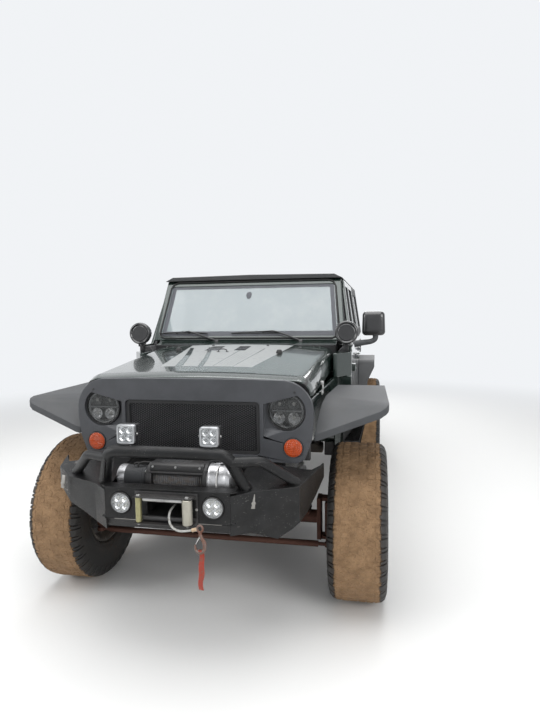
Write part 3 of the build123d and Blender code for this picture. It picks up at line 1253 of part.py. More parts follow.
# the foot clears the receiver's pin
REAR_BUMPER_FOOT = RECEIVER_Z + RECEIVER_PIN_RADIUS + 6
with BuildPart() as rear_bumper:
    plan = [(-780, TAIL_Y - 60), (-800, TAIL_Y + 20), (-740, TAIL_Y + 118), (740, TAIL_Y + 118),
            (800, TAIL_Y + 20), (780, TAIL_Y - 60), (700, TAIL_Y - 60), (700, TAIL_Y + 12),
            (-700, TAIL_Y + 12), (-700, TAIL_Y - 60)]
    slab(plan, level_plane(REAR_BUMPER_FOOT), REAR_BUMPER_TOP - REAR_BUMPER_FOOT)
    hollow_plan = [(-730, TAIL_Y + 24), (-700, TAIL_Y + 106), (700, TAIL_Y + 106), (730, TAIL_Y + 24)]
    slab(hollow_plan, level_plane(500), REAR_BUMPER_TOP - 508, Mode.SUBTRACT)
    reach = (RAIL_REAR + 1, RECEIVER_END_Y)
    block((-RECEIVER_HALF, RECEIVER_HALF), reach, (RECEIVER_Z - RECEIVER_HALF, RECEIVER_Z + RECEIVER_HALF))
    for side in SIDES:
        block(
            (side * (RAIL_X - 36), side * (RAIL_X + 36)), (RAIL_REAR + 1, TAIL_Y + 16),
            (664, REAR_BUMPER_TOP),
        )
    block((-RECEIVER_BORE_HALF, RECEIVER_BORE_HALF), (RAIL_REAR + 12, RECEIVER_END_Y + 5),
          (RECEIVER_Z - RECEIVER_BORE_HALF, RECEIVER_Z + RECEIVER_BORE_HALF), Mode.SUBTRACT)
    with BuildSketch(side_plane(-RECEIVER_HALF - 1)) as pin_hole:
        with Locations((RECEIVER_END_Y - RECEIVER_PIN_BACK, RECEIVER_Z)):
            Circle(RECEIVER_PIN_RADIUS)
    extrude(pin_hole.sketch, amount=2 * RECEIVER_HALF + 2, mode=Mode.SUBTRACT)
finish(rear_bumper, "rear_bumper")

with BuildPart() as tail_lights:
    for side in SIDES:
        block((side * 625, side * 745), (TAIL_Y, TAIL_Y + 48), (1010, 1200))
finish(tail_lights, "tail_lights")

# Cab fittings

DASH = [
    (aft(868), 1345), (aft(868), 1425), (aft(920), 1440), (aft(1080), 1425), (aft(1150), 1350),
    (aft(1130), 1180),
    (aft(1060), 1030), (aft(960), 1000), (aft(900), 1100),
]
WHEEL_CENTRE = (370.0, aft(1390), 1300.0)
COLUMN_RISE = radians(24)
COLUMN = (0.0, cos(COLUMN_RISE), sin(COLUMN_RISE))
with BuildPart() as dashboard:
    across(DASH, 655)
    foot = tuple(Vector(*WHEEL_CENTRE) - Vector(*COLUMN) * 300)
    rod(foot, tuple(Vector(*WHEEL_CENTRE) - Vector(*COLUMN) * 46), 26)
    block((-110, 110), (aft(1040), aft(2050)), (FLOOR_Z + FLOOR_THICK, 1010))
finish(dashboard, "dashboard")

STEERING_RING = 188.0
with BuildPart() as steering_wheel:
    wheel_plane = Plane(origin=WHEEL_CENTRE, x_dir=(1, 0, 0), z_dir=COLUMN)
    with BuildSketch(
        Plane(origin=WHEEL_CENTRE, x_dir=(1, 0, 0), z_dir=Vector(*COLUMN).cross(Vector(1, 0, 0))),
    ) as ring:
        with Locations((STEERING_RING, 0)):
            Circle(15)
    revolve(ring.sketch, axis=Axis(WHEEL_CENTRE, COLUMN))
    with BuildSketch(wheel_plane.offset(-34)) as boss:
        Circle(62)
    extrude(boss.sketch, amount=40)
    with BuildSketch(wheel_plane.offset(-8)) as arms:
        with Locations((115, 0), (-115, 0)):
            Rectangle(128, 44)
        with Locations((0, -115)):
            Rectangle(40, 128)
    extrude(arms.sketch, amount=14)
finish(steering_wheel, "steering_wheel")

SEAT_X = 370.0
SEAT_HALF = 250.0
FLOOR_TOP = FLOOR_Z + FLOOR_THICK
FRONT_SEAT = [
    (aft(1500), 985), (aft(1480), 1060), (aft(1500), 1100), (aft(1880), 1075), (aft(1985), 1600),
    (aft(2030), 1665),
    (aft(2075), 1640), (aft(2060), 1560), (aft(2030), 1050), (aft(1990), 985),
]
REAR_SEAT = [
    (aft(2330), 900), (aft(2320), 1020), (aft(2345), 1050), (aft(2700), 1020), (aft(2790), 1500),
    (aft(2870), 1500),
    (aft(2870), 900),
]
with BuildPart() as front_seats:
    for side in SIDES:
        inner = side * SEAT_X - SEAT_HALF
        slab(FRONT_SEAT, side_plane(inner), 2 * SEAT_HALF)
        block((inner + 40, inner + 2 * SEAT_HALF - 40), (aft(1560), aft(1960)), (FLOOR_TOP, 990))
finish(front_seats, "front_seats")

with BuildPart() as rear_seat:
    slab(REAR_SEAT, side_plane(-525), 1050)
    block((-480, 480), (aft(2400), aft(2840)), (FLOOR_TOP, 905))
finish(rear_seat, "rear_seat")

BAR_RADIUS = 30.0
BAR_X = 600.0
BAR_TOP = 1830.0
BAR_Y = aft(2160)
with BuildPart() as roll_bar:
    tube(
        [(-BAR_X, BAR_Y, FLOOR_TOP), (-BAR_X, BAR_Y, BAR_TOP),
         (BAR_X, BAR_Y, BAR_TOP), (BAR_X, BAR_Y, FLOOR_TOP)],
        BAR_RADIUS,
        100,
    )
    for side in SIDES:
        tube(
            [(side * (BAR_X - 20), aft(1110), BAR_TOP - 10), (side * (BAR_X - 20), rear(250), BAR_TOP - 10),
             (side * (BAR_X + 45), rear(430), 1450), (side * (BAR_X + 45), rear(430), ARCH_TOP + 20)],
            BAR_RADIUS,
            120,
        )
finish(roll_bar, "roll_bar")
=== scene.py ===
"""Looks for a lifted four-door off-road 4x4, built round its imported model.

Everything is in the model's own frame: +X is the vehicle's left, +Y runs to its rear and +Z is up. Shader patterns,
the rope and the studio are in metres, and what is built as meshes is in millimetres.
"""
import json
import logging
import math
from collections.abc import Callable, Iterable, Mapping, Sequence
from dataclasses import dataclass
from enum import Enum

import bmesh
import bpy
from mathutils import Matrix, Vector, noise

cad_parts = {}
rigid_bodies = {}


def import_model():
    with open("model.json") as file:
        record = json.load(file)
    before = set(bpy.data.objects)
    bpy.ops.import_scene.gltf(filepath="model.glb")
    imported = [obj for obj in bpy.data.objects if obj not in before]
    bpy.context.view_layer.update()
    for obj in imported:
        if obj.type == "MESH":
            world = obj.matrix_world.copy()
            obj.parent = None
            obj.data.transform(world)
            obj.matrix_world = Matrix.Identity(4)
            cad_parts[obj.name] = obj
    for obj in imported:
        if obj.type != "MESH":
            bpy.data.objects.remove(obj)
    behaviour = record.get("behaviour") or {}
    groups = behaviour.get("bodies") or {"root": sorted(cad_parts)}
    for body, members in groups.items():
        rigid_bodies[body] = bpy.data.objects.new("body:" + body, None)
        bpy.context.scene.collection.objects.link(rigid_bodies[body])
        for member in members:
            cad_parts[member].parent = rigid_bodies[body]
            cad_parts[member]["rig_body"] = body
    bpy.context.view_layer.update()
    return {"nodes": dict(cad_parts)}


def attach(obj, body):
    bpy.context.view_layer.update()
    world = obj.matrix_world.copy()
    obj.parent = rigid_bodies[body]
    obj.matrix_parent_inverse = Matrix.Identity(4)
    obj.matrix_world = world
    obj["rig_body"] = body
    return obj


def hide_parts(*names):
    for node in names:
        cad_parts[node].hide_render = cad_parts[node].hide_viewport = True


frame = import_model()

LOG = logging.getLogger("offroader")
Point = Sequence[float]
Colour = tuple[float, float, float]
UP = Vector((0.0, 0.0, 1.0))
AHEAD = Vector((0.0, -1.0, 0.0))
LEFT = Vector((1.0, 0.0, 0.0))
NOISE_SEED = 35


# Shader maths


class Value:
    """A number in a shader that takes part in sums, products and thresholds."""

    def __init__(self, shader: "Shader", socket: bpy.types.NodeSocket) -> None:
        """Holds one socket of a shader's tree."""
        self.shader = shader
        self.socket = socket

    def _math(self, operation: str, *others: "Value | float") -> "Value":
        """The result of a math node on this value and the others."""
        inputs = {0: self, **{i + 1: other for i, other in enumerate(others)}}
        return Value(self.shader, self.shader.node("ShaderNodeMath", {"operation": operation}, inputs).outputs[0])

    def __add__(self, other: "Value | float") -> "Value":
        """The sum."""
        return self._math("ADD", other)

    __radd__ = __add__

    def __mul__(self, other: "Value | float") -> "Value":
        """The product."""
        return self._math("MULTIPLY", other)

    __rmul__ = __mul__

    def __sub__(self, other: "Value | float") -> "Value":
        """The difference."""
        return self._math("SUBTRACT", other)

    def __rsub__(self, other: float) -> "Value":
        """The difference from a number."""
        return (self * -1.0) + other

    def __truediv__(self, other: "Value | float") -> "Value":
        """The quotient."""
        return self._math("DIVIDE", other)

    def __abs__(self) -> "Value":
        """The value without its sign."""
        return self._math("ABSOLUTE")

    def wrap(self, length: float) -> "Value":
        """The remainder after whole lengths."""
        return self._math("FLOORED_MODULO", length)

    def larger(self, other: "Value | float") -> "Value":
        """The larger of the two."""
        return self._math("MAXIMUM", other)

    def power(self, exponent: float) -> "Value":
        """The value to a power."""
        return self._math("POWER", exponent)

    def step(self, low: float, high: float) -> "Value":
        """A smooth rise from 0 at low to 1 at high. With low over high it falls.

        Args:
            low: where it is 0.
            high: where it is 1.

        Returns:
            The rise.
        """
        settings = {"interpolation_type": "SMOOTHSTEP"}
        lesser, greater = min(low, high), max(low, high)
        ends = {"To Min": 0.0, "To Max": 1.0} if high > low else {"To Min": 1.0, "To Max": 0.0}
        inputs = {"Value": self, "From Min": lesser, "From Max": greater, **ends}
        return Value(self.shader, self.shader.node("ShaderNodeMapRange", settings, inputs).outputs[0])

    def between(self, low: float, high: float, soft: float) -> "Value":
        """1 from low to high and 0 outside, over soft edges."""
        return self.step(low - soft, low + soft) * self.step(high + soft, high - soft)


class Shader:
    """One material's node tree, with its surface shader and the patterns that finishes share."""

    def __init__(self, name: str, owner: bpy.types.World | None = None) -> None:
        """Starts the tree of a new material, or that of the world given.

        Args:
            name: the material's name.
            owner: the world, if it is one.
        """
        self.material = owner or bpy.data.materials.new(name)
        self.material.use_nodes = True
        self.tree = self.material.node_tree
        self.surface = self.tree.nodes.get("Principled BSDF")
        self._object = None

    def node(
        self, kind: str, settings: Mapping[str, object] | None = None, inputs: Mapping[object, object] | None = None
    ) -> bpy.types.Node:
        """Makes a node.

        Args:
            kind: the node's type.
            settings: its own settings, or the stops of its colour ramp.
            inputs: the values or links of its sockets, by name or number.

        Returns:
            The node.
        """
        made = self.tree.nodes.new(kind)
        for key, value in (settings or {}).items():
            if key == "stops":
                ramp = made.color_ramp
                while len(ramp.elements) < len(value):
                    ramp.elements.new(0.5)
                for element, (place, colour) in zip(ramp.elements, value):
                    element.position, element.color = place, (*colour, 1.0)
            else:
                setattr(made, key, value)
        for key, value in (inputs or {}).items():
            self.feed(made.inputs[key], value)
        return made

    def feed(self, socket: bpy.types.NodeSocket, value: object) -> None:
        """Gives a socket a value or a link.

        Args:
            socket: the socket.
            value: a number, colour, vector, value or other socket.
        """
        if isinstance(value, Value):
            value = value.socket
        if isinstance(value, bpy.types.NodeSocket):
            self.tree.links.new(value, socket)
        elif socket.type == "RGBA" and len(value) == 3:
            socket.default_value = (*value, 1.0)
        else:
            socket.default_value = value

    @property
    def place(self) -> bpy.types.NodeSocket:
        """The object coordinates, which are the vehicle's own."""
        if self._object is None:
            self._object = self.node("ShaderNodeTexCoord").outputs["Object"]
        return self._object

    def axes(self) -> tuple[Value, Value, Value]:
        """The X, Y and Z of the place."""
        parts = self.node("ShaderNodeSeparateXYZ", inputs={0: self.place}).outputs
        return Value(self, parts[0]), Value(self, parts[1]), Value(self, parts[2])

    def facing_up(self) -> Value:
        """How far the surface faces up, from -1 to 1."""
        geometry = self.node("ShaderNodeNewGeometry")
        return Value(self, self.node("ShaderNodeSeparateXYZ", inputs={0: geometry.outputs["Normal"]}).outputs[2])

    def attribute(self, name: str) -> Value:
        """A number that the piece's own mesh holds."""
        return Value(self, self.node("ShaderNodeAttribute", {"attribute_name": name}).outputs["Fac"])

    def noise(self, scale: float, detail: float = 3.0, stretch: Point = (1.0, 1.0, 1.0)) -> Value:
        """Cloudy noise from 0 to 1. The scale is in waves for each metre.

        Args:
            scale: waves for each metre.
            detail: how much finer noise is added.
            stretch: the scale along each axis.

        Returns:
            The noise.
        """
        at = self.node("ShaderNodeMapping", inputs={"Vector": self.place, "Scale": tuple(stretch)}).outputs[0]
        inputs = {"Vector": at, "Scale": scale, "Detail": detail, "Roughness": 0.6}
        return Value(self, self.node("ShaderNodeTexNoise", inputs=inputs).outputs[0])

    def cells(self, scale: float, output: str = "Distance", spread: float = 1.0) -> Value:
        """The distance to the nearest of many scattered points, in shares of their spacing."""
        inputs = {"Vector": self.place, "Scale": scale, "Randomness": spread}
        return Value(self, self.node("ShaderNodeTexVoronoi", inputs=inputs).outputs[output])

    def blend(self, factor: Value | float, first: object, second: object) -> bpy.types.NodeSocket:
        """Mixes two colours."""
        inputs = {0: factor, 6: first, 7: second}
        return self.node("ShaderNodeMix", {"data_type": "RGBA"}, inputs).outputs[2]

    def bump(self, height: Value, depth: float, below: bpy.types.NodeSocket | None = None) -> bpy.types.NodeSocket:
        """Relief from a height of 0 to 1 and its depth in metres, over other relief.

        Args:
            height: the height.
            depth: the depth in metres.
            below: the other relief.

        Returns:
            The relief's socket.
        """
        inputs = {"Height": height, "Distance": depth, "Strength": 1.0}
        if below is not None:
            inputs["Normal"] = below
        return self.node("ShaderNodeBump", inputs=inputs).outputs[0]

    def shown_pale(self, pale: float, lit: float) -> Value:
        """One strength for the eye, mirrors and glass, and another one as light.

        Args:
            pale: the strength that is seen.
            lit: the strength as light.

        Returns:
            The strength.
        """
        rays = self.node("ShaderNodeLightPath").outputs
        seen = [Value(self, rays[name]) for name in ("Is Camera Ray", "Is Glossy Ray", "Is Transmission Ray")]
        return seen[0].larger(seen[1]).larger(seen[2]) * (pale - lit) + lit

    def set(self, **sockets: object) -> None:
        """Feeds the surface shader's sockets, whose spaces are underscores here."""
        for name, value in sockets.items():
            self.feed(self.surface.inputs[name.replace("_", " ").title().replace("Ior", "IOR")], value)


MUD: Colour = (0.172, 0.101, 0.05)
DRY_MUD: Colour = (0.335, 0.208, 0.11)
DUST: Colour = (0.25, 0.205, 0.155)
PALE_SKY: Colour = (0.955, 0.975, 1.0)
SHOWN, LIGHT = 0.92, 0.42


@dataclass(frozen=True)
class Finish:
    """A surface finish. Dust settles on it, and more of it low on the vehicle."""

    name: str
    colour: Colour
    roughness: float
    metallic: float = 0.0
    coat: float = 0.0
    dust: float = 0.25
    grain: float = 0.0
    grain_scale: float = 900.0
    shine: float = 0.5

    def material(self) -> bpy.types.Material:
        """The finish's material, made once."""
        made = bpy.data.materials.get(self.name)
        if made is None:
            shader = Shader(self.name)
            self.paint(shader)
            made = shader.material
        return made

    def paint(self, shader: Shader) -> None:
        """Builds the finish's nodes.

        Args:
            shader: the material's nodes.
        """
        mottle = shader.noise(9.0)
        colour = shader.blend(mottle.step(0.3, 0.75), self.colour, tuple(c * 1.25 + 0.002 for c in self.colour))
        rough = self.roughness + (mottle - 0.5) * 0.12
        self.weather(shader, colour, rough, self.metallic)

    def weather(
        self, shader: Shader, colour: object, rough: Value, metallic: Value | float, relief: object = None
    ) -> None:
        """Lays dust, specks and grain over a colour, and feeds the surface shader.

        Args:
            shader: the material's nodes.
            colour: the clean colour.
            rough: the clean roughness.
            metallic: the clean metallic share.
            relief: other relief below the grain.
        """
        _, _, height = shader.axes()
        low = height.step(1.15, 0.35)
        patches = shader.noise(5.5, 5.0).step(0.38, 0.75)
        specks = shader.cells(95.0).step(0.16, 0.05) * shader.noise(14.0).step(0.5, 0.7)
        settled = shader.facing_up().step(0.2, 0.95) * 0.25
        amount = ((low * 0.9 + settled) * (patches * 0.8 + 0.2) + specks * 0.45) * self.dust
        amount = amount.step(0.0, 1.0) * 0.6 + amount * 0.4
        shader.set(base_color=shader.blend(amount, colour, DUST), roughness=rough + (0.82 - rough) * amount)
        shader.surface.inputs["Specular IOR Level"].default_value = self.shine
        if isinstance(metallic, Value) or metallic > 0:
            shader.set(metallic=(1.0 - amount) * metallic)
        if self.coat:
            shader.set(coat_weight=(1.0 - amount) * self.coat, coat_roughness=0.05)
        if self.grain:
            pebbles = shader.cells(self.grain_scale, spread=1.0)
            relief = shader.bump(pebbles, self.grain, relief)
        if relief is not None:
            shader.set(normal=relief)


@dataclass(frozen=True)
class GlossPaint(Finish):
    """Metallic paint under clear coat, with fine flakes and wet specks."""

    flake: Colour = (0.045, 0.095, 0.075)

    def paint(self, shader: Shader) -> None:
        """Builds the paint's nodes.

        Args:
            shader: the material's nodes.
        """
        flakes = shader.cells(2600.0, "Color").step(0.75, 1.0) * 0.45
        colour = shader.blend(flakes, self.colour, self.flake)
        beads = shader.cells(70.0).step(0.16, 0.04) * shader.noise(3.2).step(0.52, 0.66)
        relief = shader.bump(beads, 0.001)
        self.weather(shader, colour, self.roughness + flakes * 0.1, self.metallic, relief)


@dataclass(frozen=True)
class HoodPaint(GlossPaint):
    """The hood's paint with its matt decal of stripes and dotted lines.

    The decal narrows to the front. Its bands are shares of the half width at each place.
    """

    vinyl: Colour = (0.27, 0.28, 0.28)
    front_y: float = -1.765
    rear_y: float = -0.905

    def paint(self, shader: Shader) -> None:
        """Builds the nodes of paint and decal.

        Args:
            shader: the material's nodes.
        """
        flakes = shader.cells(2600.0, "Color").step(0.75, 1.0) * 0.45
        paint = shader.blend(flakes, self.colour, self.flake)
        across, along, _ = shader.axes()
        back = (along - self.front_y) / (self.rear_y - self.front_y)
        share = across / (back * 0.105 + 0.27)
        edge = 0.01
        field = share.between(-1.0, 1.0, edge) * back.between(0.0, 1.0, 0.006)
        gaps = share * 0.0
        # wide gap: middle and half width at the front, and their change to the rear
        for middle, half, shift, narrow in ((-0.585, 0.085, -0.4, -0.055), (-0.105, 0.062, -0.52, -0.035)):
            off = abs(share - (back * shift + middle))
            gaps = gaps.larger((back * narrow + half - off).step(-0.008, 0.008) * back.step(0.86, 0.84))
        dots = along.wrap(0.026).step(0.01, 0.013)
        for line in (0.155, 0.585):
            gaps = gaps.larger(share.between(line - 0.014, line + 0.014, 0.004) * dots * back.step(0.8, 0.78))
        for number in range(5):
            line = 0.24 + 0.065 * number
            seam = share.between(line - 0.006, line + 0.006, 0.004)
            gaps = gaps.larger(seam * dots * back.between(0.05, 0.55, 0.1) * 0.5)
        # vent wells drawn flat on the hood: the slats are black plastic, and the near-black gaps between them are
        # painted shade in the openings
        shaded_vent_wells = across.between(-0.195, -0.1, 0.002).larger(across.between(0.01, 0.088, 0.002))
        shaded_vent_wells = shaded_vent_wells * along.between(-1.18, -0.99, 0.003)
        vinyl = field * (1.0 - gaps.larger(shaded_vent_wells))
        worn = shader.noise(40.0, 4.0).step(0.25, 0.5) * 0.25 + 0.75
        colour = shader.blend(vinyl * worn, paint, self.vinyl)
        slots = across.wrap(0.012).step(0.0035, 0.0045)
        # painted shade: the wells go near black, then the slats are lifted back towards plastic black
        colour = shader.blend(shaded_vent_wells, colour, (0.004, 0.004, 0.005))
        colour = shader.blend(shaded_vent_wells * slots * 0.6, colour, (0.02, 0.02, 0.021))
        beads = shader.cells(60.0).step(0.17, 0.05) * shader.noise(3.0).step(0.5, 0.62) * back.step(0.5, 0.1)
        relief = shader.bump(beads, 0.0012)
        self.weather(shader, colour, self.roughness + vinyl * 0.34, self.metallic, relief)
        shader.set(coat_weight=(1.0 - vinyl) * self.coat)


@dataclass(frozen=True)
class WornSteel(Finish):
    """Textured black coating on steel, scratched to bare metal and speckled with mud."""

    scratch: float = 0.35

    def paint(self, shader: Shader) -> None:
        """Builds the coating's nodes.

        Args:
            shader: the material's nodes.
        """
        across, _, _ = shader.axes()
        hurt = across.step(-0.52, -0.64) * 0.8 + self.scratch
        streaks = (shader.noise(26.0, 6.0, (1.0, 1.0, 5.0)) + across.step(-0.54, -0.66) * 0.09).step(0.66, 0.71) * hurt
        chips = shader.cells(48.0).step(0.1, 0.04) * shader.noise(7.0).step(0.5, 0.7) * hurt
        bare = streaks.larger(chips)
        lighter = tuple(c * 1.9 + 0.003 for c in self.colour)
        colour = shader.blend(shader.noise(12.0).step(0.3, 0.8), self.colour, lighter)
        colour = shader.blend(bare, colour, (0.22, 0.21, 0.2))
        drops = shader.cells(110.0).step(0.16, 0.07) * shader.noise(18.0).step(0.47, 0.6)
        colour = shader.blend(drops * 0.75, colour, (0.27, 0.26, 0.235))
        self.weather(shader, colour, self.roughness + (shader.noise(30.0) - 0.5) * 0.14, bare * 0.6)


@dataclass(frozen=True)
class Rust(Finish):
    """Steel with patchy brown rust and caked dirt."""

    rust: Colour = (0.105, 0.045, 0.025)

    def paint(self, shader: Shader) -> None:
        """Builds the rust's nodes.

        Args:
            shader: the material's nodes.
        """
        patches = shader.noise(17.0, 6.0)
        pits = shader.noise(160.0, 4.0)
        eaten = (patches + pits * 0.25).step(0.5, 0.72)
        colour = shader.blend(eaten, self.colour, self.rust)
        colour = shader.blend(pits.step(0.55, 0.75) * 0.6, colour, tuple(1.5 * c for c in self.rust))
        relief = shader.bump(pits * eaten, 0.0012)
        self.weather(shader, colour, self.roughness + eaten * 0.3, (1.0 - eaten) * self.metallic, relief)


@dataclass(frozen=True)
class Mirrorlike(Finish):
    """Bare bright metal with fine machining lines and dull patches."""

    def paint(self, shader: Shader) -> None:
        """Builds the metal's nodes.

        Args:
            shader: the material's nodes.
        """
        lines = shader.noise(60.0, 2.0, (1.0, 1.0, 14.0))
        dull = shader.noise(22.0, 4.0).step(0.45, 0.75)
        colour = shader.blend(dull, self.colour, tuple(c * 0.6 for c in self.colour))
        rough = self.roughness + dull * 0.22 + (lines - 0.5) * 0.1
        self.weather(shader, colour, rough, self.metallic)


@dataclass(frozen=True)
class Rubber(Finish):
    """Tyre rubber under dried mud. The mesh's own `mud` says how much each place holds."""

    def paint(self, shader: Shader) -> None:
        """Builds the rubber's nodes.

        Args:
            shader: the material's nodes.
        """
        held = shader.attribute("mud")
        clumps = shader.noise(34.0, 6.0)
        crumbs = shader.noise(150.0, 5.0)
        caked = (held + (clumps - 0.5) * 0.9 + (crumbs - 0.5) * 0.35).step(0.38, 0.6)
        film = (held * 0.7 + shader.noise(9.0, 4.0) * 0.6).step(0.35, 0.95)
        rubber = shader.blend(film * 0.55, self.colour, tuple(0.5 * c for c in MUD))
        tone = shader.blend(shader.noise(16.0, 8.0).step(0.15, 0.85), MUD, DRY_MUD)
        tone = shader.blend(crumbs.step(0.52, 0.72) * 0.6, tone, tuple(0.5 * c for c in MUD))
        stones = shader.cells(230.0).step(0.24, 0.1) * shader.noise(45.0).step(0.46, 0.6)
        tone = shader.blend(stones * 0.7, tone, (0.46, 0.37, 0.26))
        relief = shader.bump(crumbs * caked, 0.0045)
        relief = shader.bump(clumps * caked, 0.008, relief)
        fine = shader.noise(420.0, 3.0)
        shader.set(
            base_color=shader.blend(caked, rubber, tone),
            roughness=0.62 + caked * 0.33 + (fine - 0.5) * 0.15,
            normal=shader.bump(fine, 0.0006, relief),
        )


@dataclass(frozen=True)
class Cloth(Finish):
    """Woven cloth with a soft sheen. Its weave follows the vehicle's own coordinates."""

    weave: float = 850.0

    def paint(self, shader: Shader) -> None:
        """Builds the weave's nodes.

        Args:
            shader: the material's nodes.
        """
        x, y, z = shader.axes()
        warp = abs((x + z * 0.31).wrap(2 / self.weave) * self.weave - 1.0)
        weft = abs((y + z).wrap(2 / self.weave) * self.weave - 1.0)
        thread = warp.larger(weft)
        worn = shader.noise(8.0, 4.0).step(0.4, 0.75)
        colour = shader.blend(thread * 0.5, self.colour, tuple(c * 1.9 for c in self.colour))
        colour = shader.blend(worn * 0.35, colour, tuple(c * 1.5 + 0.01 for c in self.colour))
        shader.set(
            base_color=colour, roughness=0.9 - worn * 0.08, normal=shader.bump(thread, 0.0007), sheen_weight=0.35
        )


@dataclass(frozen=True)
class Braid(Finish):
    """A braided rope or sewn strap with slanting strands, grime, and painted shade in the grooves between the strands.
    """

    strands: float = 260.0

    def paint(self, shader: Shader) -> None:
        """Builds the braid's nodes.

        Args:
            shader: the material's nodes.
        """
        x, y, z = shader.axes()
        first = abs((x + z + y * 0.5).wrap(2 / self.strands) * self.strands - 1.0)
        second = abs((x - z + y * 0.5).wrap(2 / self.strands) * self.strands - 1.0)
        shaded_plait = first.larger(second)
        grime = shader.noise(60.0, 5.0).step(0.42, 0.72)
        # painted shade: darker along the grooves where the strands meet
        colour = shader.blend(shaded_plait * 0.55, self.colour, tuple(c * 0.55 for c in self.colour))
        colour = shader.blend(grime * 0.6, colour, (0.16, 0.12, 0.085))
        shader.set(base_color=colour, roughness=0.86 + grime * 0.1, normal=shader.bump(shaded_plait, 0.0009))


@dataclass(frozen=True)
class Glass(Finish):
    """Thin glass that is see-through, with patchy dust and drops."""

    alpha: float = 0.35
    bending: float = 1.5
    smears: float = 0.12

    def paint(self, shader: Shader) -> None:
        """Builds the glass's nodes.

        Args:
            shader: the material's nodes.
        """
        film = shader.noise(4.0, 5.0).step(0.42, 0.8) * self.smears
        drops = shader.cells(130.0).step(0.14, 0.05) * shader.noise(9.0).step(0.55, 0.7) * self.smears * 2.0
        amount = film + drops
        shader.set(
            base_color=shader.blend(amount, self.colour, (0.42, 0.4, 0.36)),
            alpha=amount * (1.0 - self.alpha) + self.alpha,
            roughness=self.roughness + amount * 0.5,
            ior=self.bending,
            normal=shader.bump(drops, 0.0004),
        )
        shader.material.surface_render_method = "BLENDED"


@dataclass(frozen=True)
class Lens(Finish):
    """A moulded coloured lens with a pattern of ribs or prisms in it, whose lines are painted lighter as glints."""

    ribs: float = 240.0

    def paint(self, shader: Shader) -> None:
        """Builds the lens's nodes.

        Args:
            shader: the material's nodes.
        """
        x, _, z = shader.axes()
        glinting_prism = abs(x.wrap(2 / self.ribs) * self.ribs - 1.0).larger(abs(z.wrap(2 / self.ribs) * self.ribs - 1.0))
        deep = shader.noise(30.0, 2.0).step(0.35, 0.7)
        # painted highlight: the prism lines are lighter, as glints off their edges
        colour = shader.blend(glinting_prism * 0.5, self.colour, tuple(min(1.0, c * 1.7 + 0.01) for c in self.colour))
        colour = shader.blend(deep * 0.35, colour, tuple(c * 0.45 for c in self.colour))
        self.weather(shader, colour, self.roughness + deep * 0.1, 0.0, shader.bump(glinting_prism, 0.0012))


# Finishes of this vehicle

PAINT = GlossPaint("dark_green_paint", (0.0065, 0.0165, 0.013), 0.26, metallic=0.35, coat=1.0, dust=0.22)
HOOD_PAINT = HoodPaint("hood_paint", (0.0065, 0.0165, 0.013), 0.26, metallic=0.35, coat=1.0, dust=0.12)
GRAINED = Finish("grained_plastic", (0.034, 0.036, 0.039), 0.58, dust=0.3, grain=0.0007, grain_scale=420.0)
SATIN = Finish("satin_plastic", (0.04, 0.042, 0.047), 0.46, dust=0.16, grain=0.0003, grain_scale=700.0)
BLACK = Finish("black_plastic", (0.012, 0.012, 0.013), 0.42, dust=0.22, grain=0.0004, grain_scale=700.0)
HARDTOP = Finish("hardtop_plastic", (0.02, 0.021, 0.022), 0.62, dust=0.2, grain=0.0009, grain_scale=380.0)
SEAL = Finish("rubber_seal", (0.01, 0.01, 0.01), 0.68, dust=0.25)
INNER = Finish("inner_plastic", (0.03, 0.03, 0.032), 0.6, dust=0.05, grain=0.0005, grain_scale=600.0)
CARPET = Finish("floor_carpet", (0.02, 0.02, 0.021), 0.95, dust=0.25, grain=0.0016, grain_scale=300.0)
COATED = WornSteel(
    "textured_steel", (0.0055, 0.0057, 0.0062), 0.34, dust=0.09, grain=0.0007, grain_scale=330.0, shine=0.26,
)
CHASSIS = WornSteel("chassis_steel", (0.02, 0.019, 0.018), 0.6, dust=0.85, scratch=0.15)
# real rust, darkened and greyed past its own colour as painted shade under the vehicle
SHADE_DARKENED_RUST = Rust("rusty_steel", (0.036, 0.032, 0.03), 0.6, metallic=0.4, dust=0.3, rust=(0.034, 0.02, 0.015))
SLEEVE = Cloth("rope_sleeve_cloth", (0.42, 0.3, 0.19), 0.8, weave=1500.0)
SPRING_PAINT = WornSteel("spring_paint", (0.02, 0.02, 0.021), 0.45, dust=0.6, scratch=0.2)
SHOCK_PAINT = WornSteel("shock_paint", (0.36, 0.37, 0.38), 0.38, dust=0.7, scratch=0.12)
HOOK_RUST = Rust("hook_rust", (0.17, 0.15, 0.14), 0.42, metallic=0.8, dust=0.1, rust=(0.15, 0.06, 0.035))
ZINC = Mirrorlike("zinc_steel", (0.46, 0.46, 0.45), 0.36, metallic=1.0, dust=0.25)
YELLOW_ZINC = Mirrorlike("yellow_zinc", (0.34, 0.32, 0.17), 0.42, metallic=0.8, dust=0.3)
CAST = Mirrorlike("cast_alloy", (0.62, 0.62, 0.63), 0.34, metallic=0.85, dust=0.12)
CHROME = Mirrorlike("lamp_chrome", (0.8, 0.81, 0.82), 0.1, metallic=1.0, dust=0.0)
BRIGHT = Mirrorlike("bright_bezel", (0.42, 0.43, 0.44), 0.3, metallic=0.8, dust=0.1)
LED = Finish("led_chip", (0.78, 0.76, 0.62), 0.25, dust=0.0)
BLACK_RIM = WornSteel("wheel_black", (0.012, 0.012, 0.013), 0.42, dust=0.55, scratch=0.2)
TYRE_RUBBER = Rubber("tyre_rubber", (0.018, 0.017, 0.016), 0.78)
AMBER = Lens("amber_lens", (0.36, 0.045, 0.003), 0.12, dust=0.05, ribs=200.0)
RED = Lens("red_lens", (0.38, 0.006, 0.008), 0.16, dust=0.15, ribs=160.0)
CLEAR = Glass("clear_lens", (0.75, 0.78, 0.8), 0.05, alpha=0.16, smears=0.1)
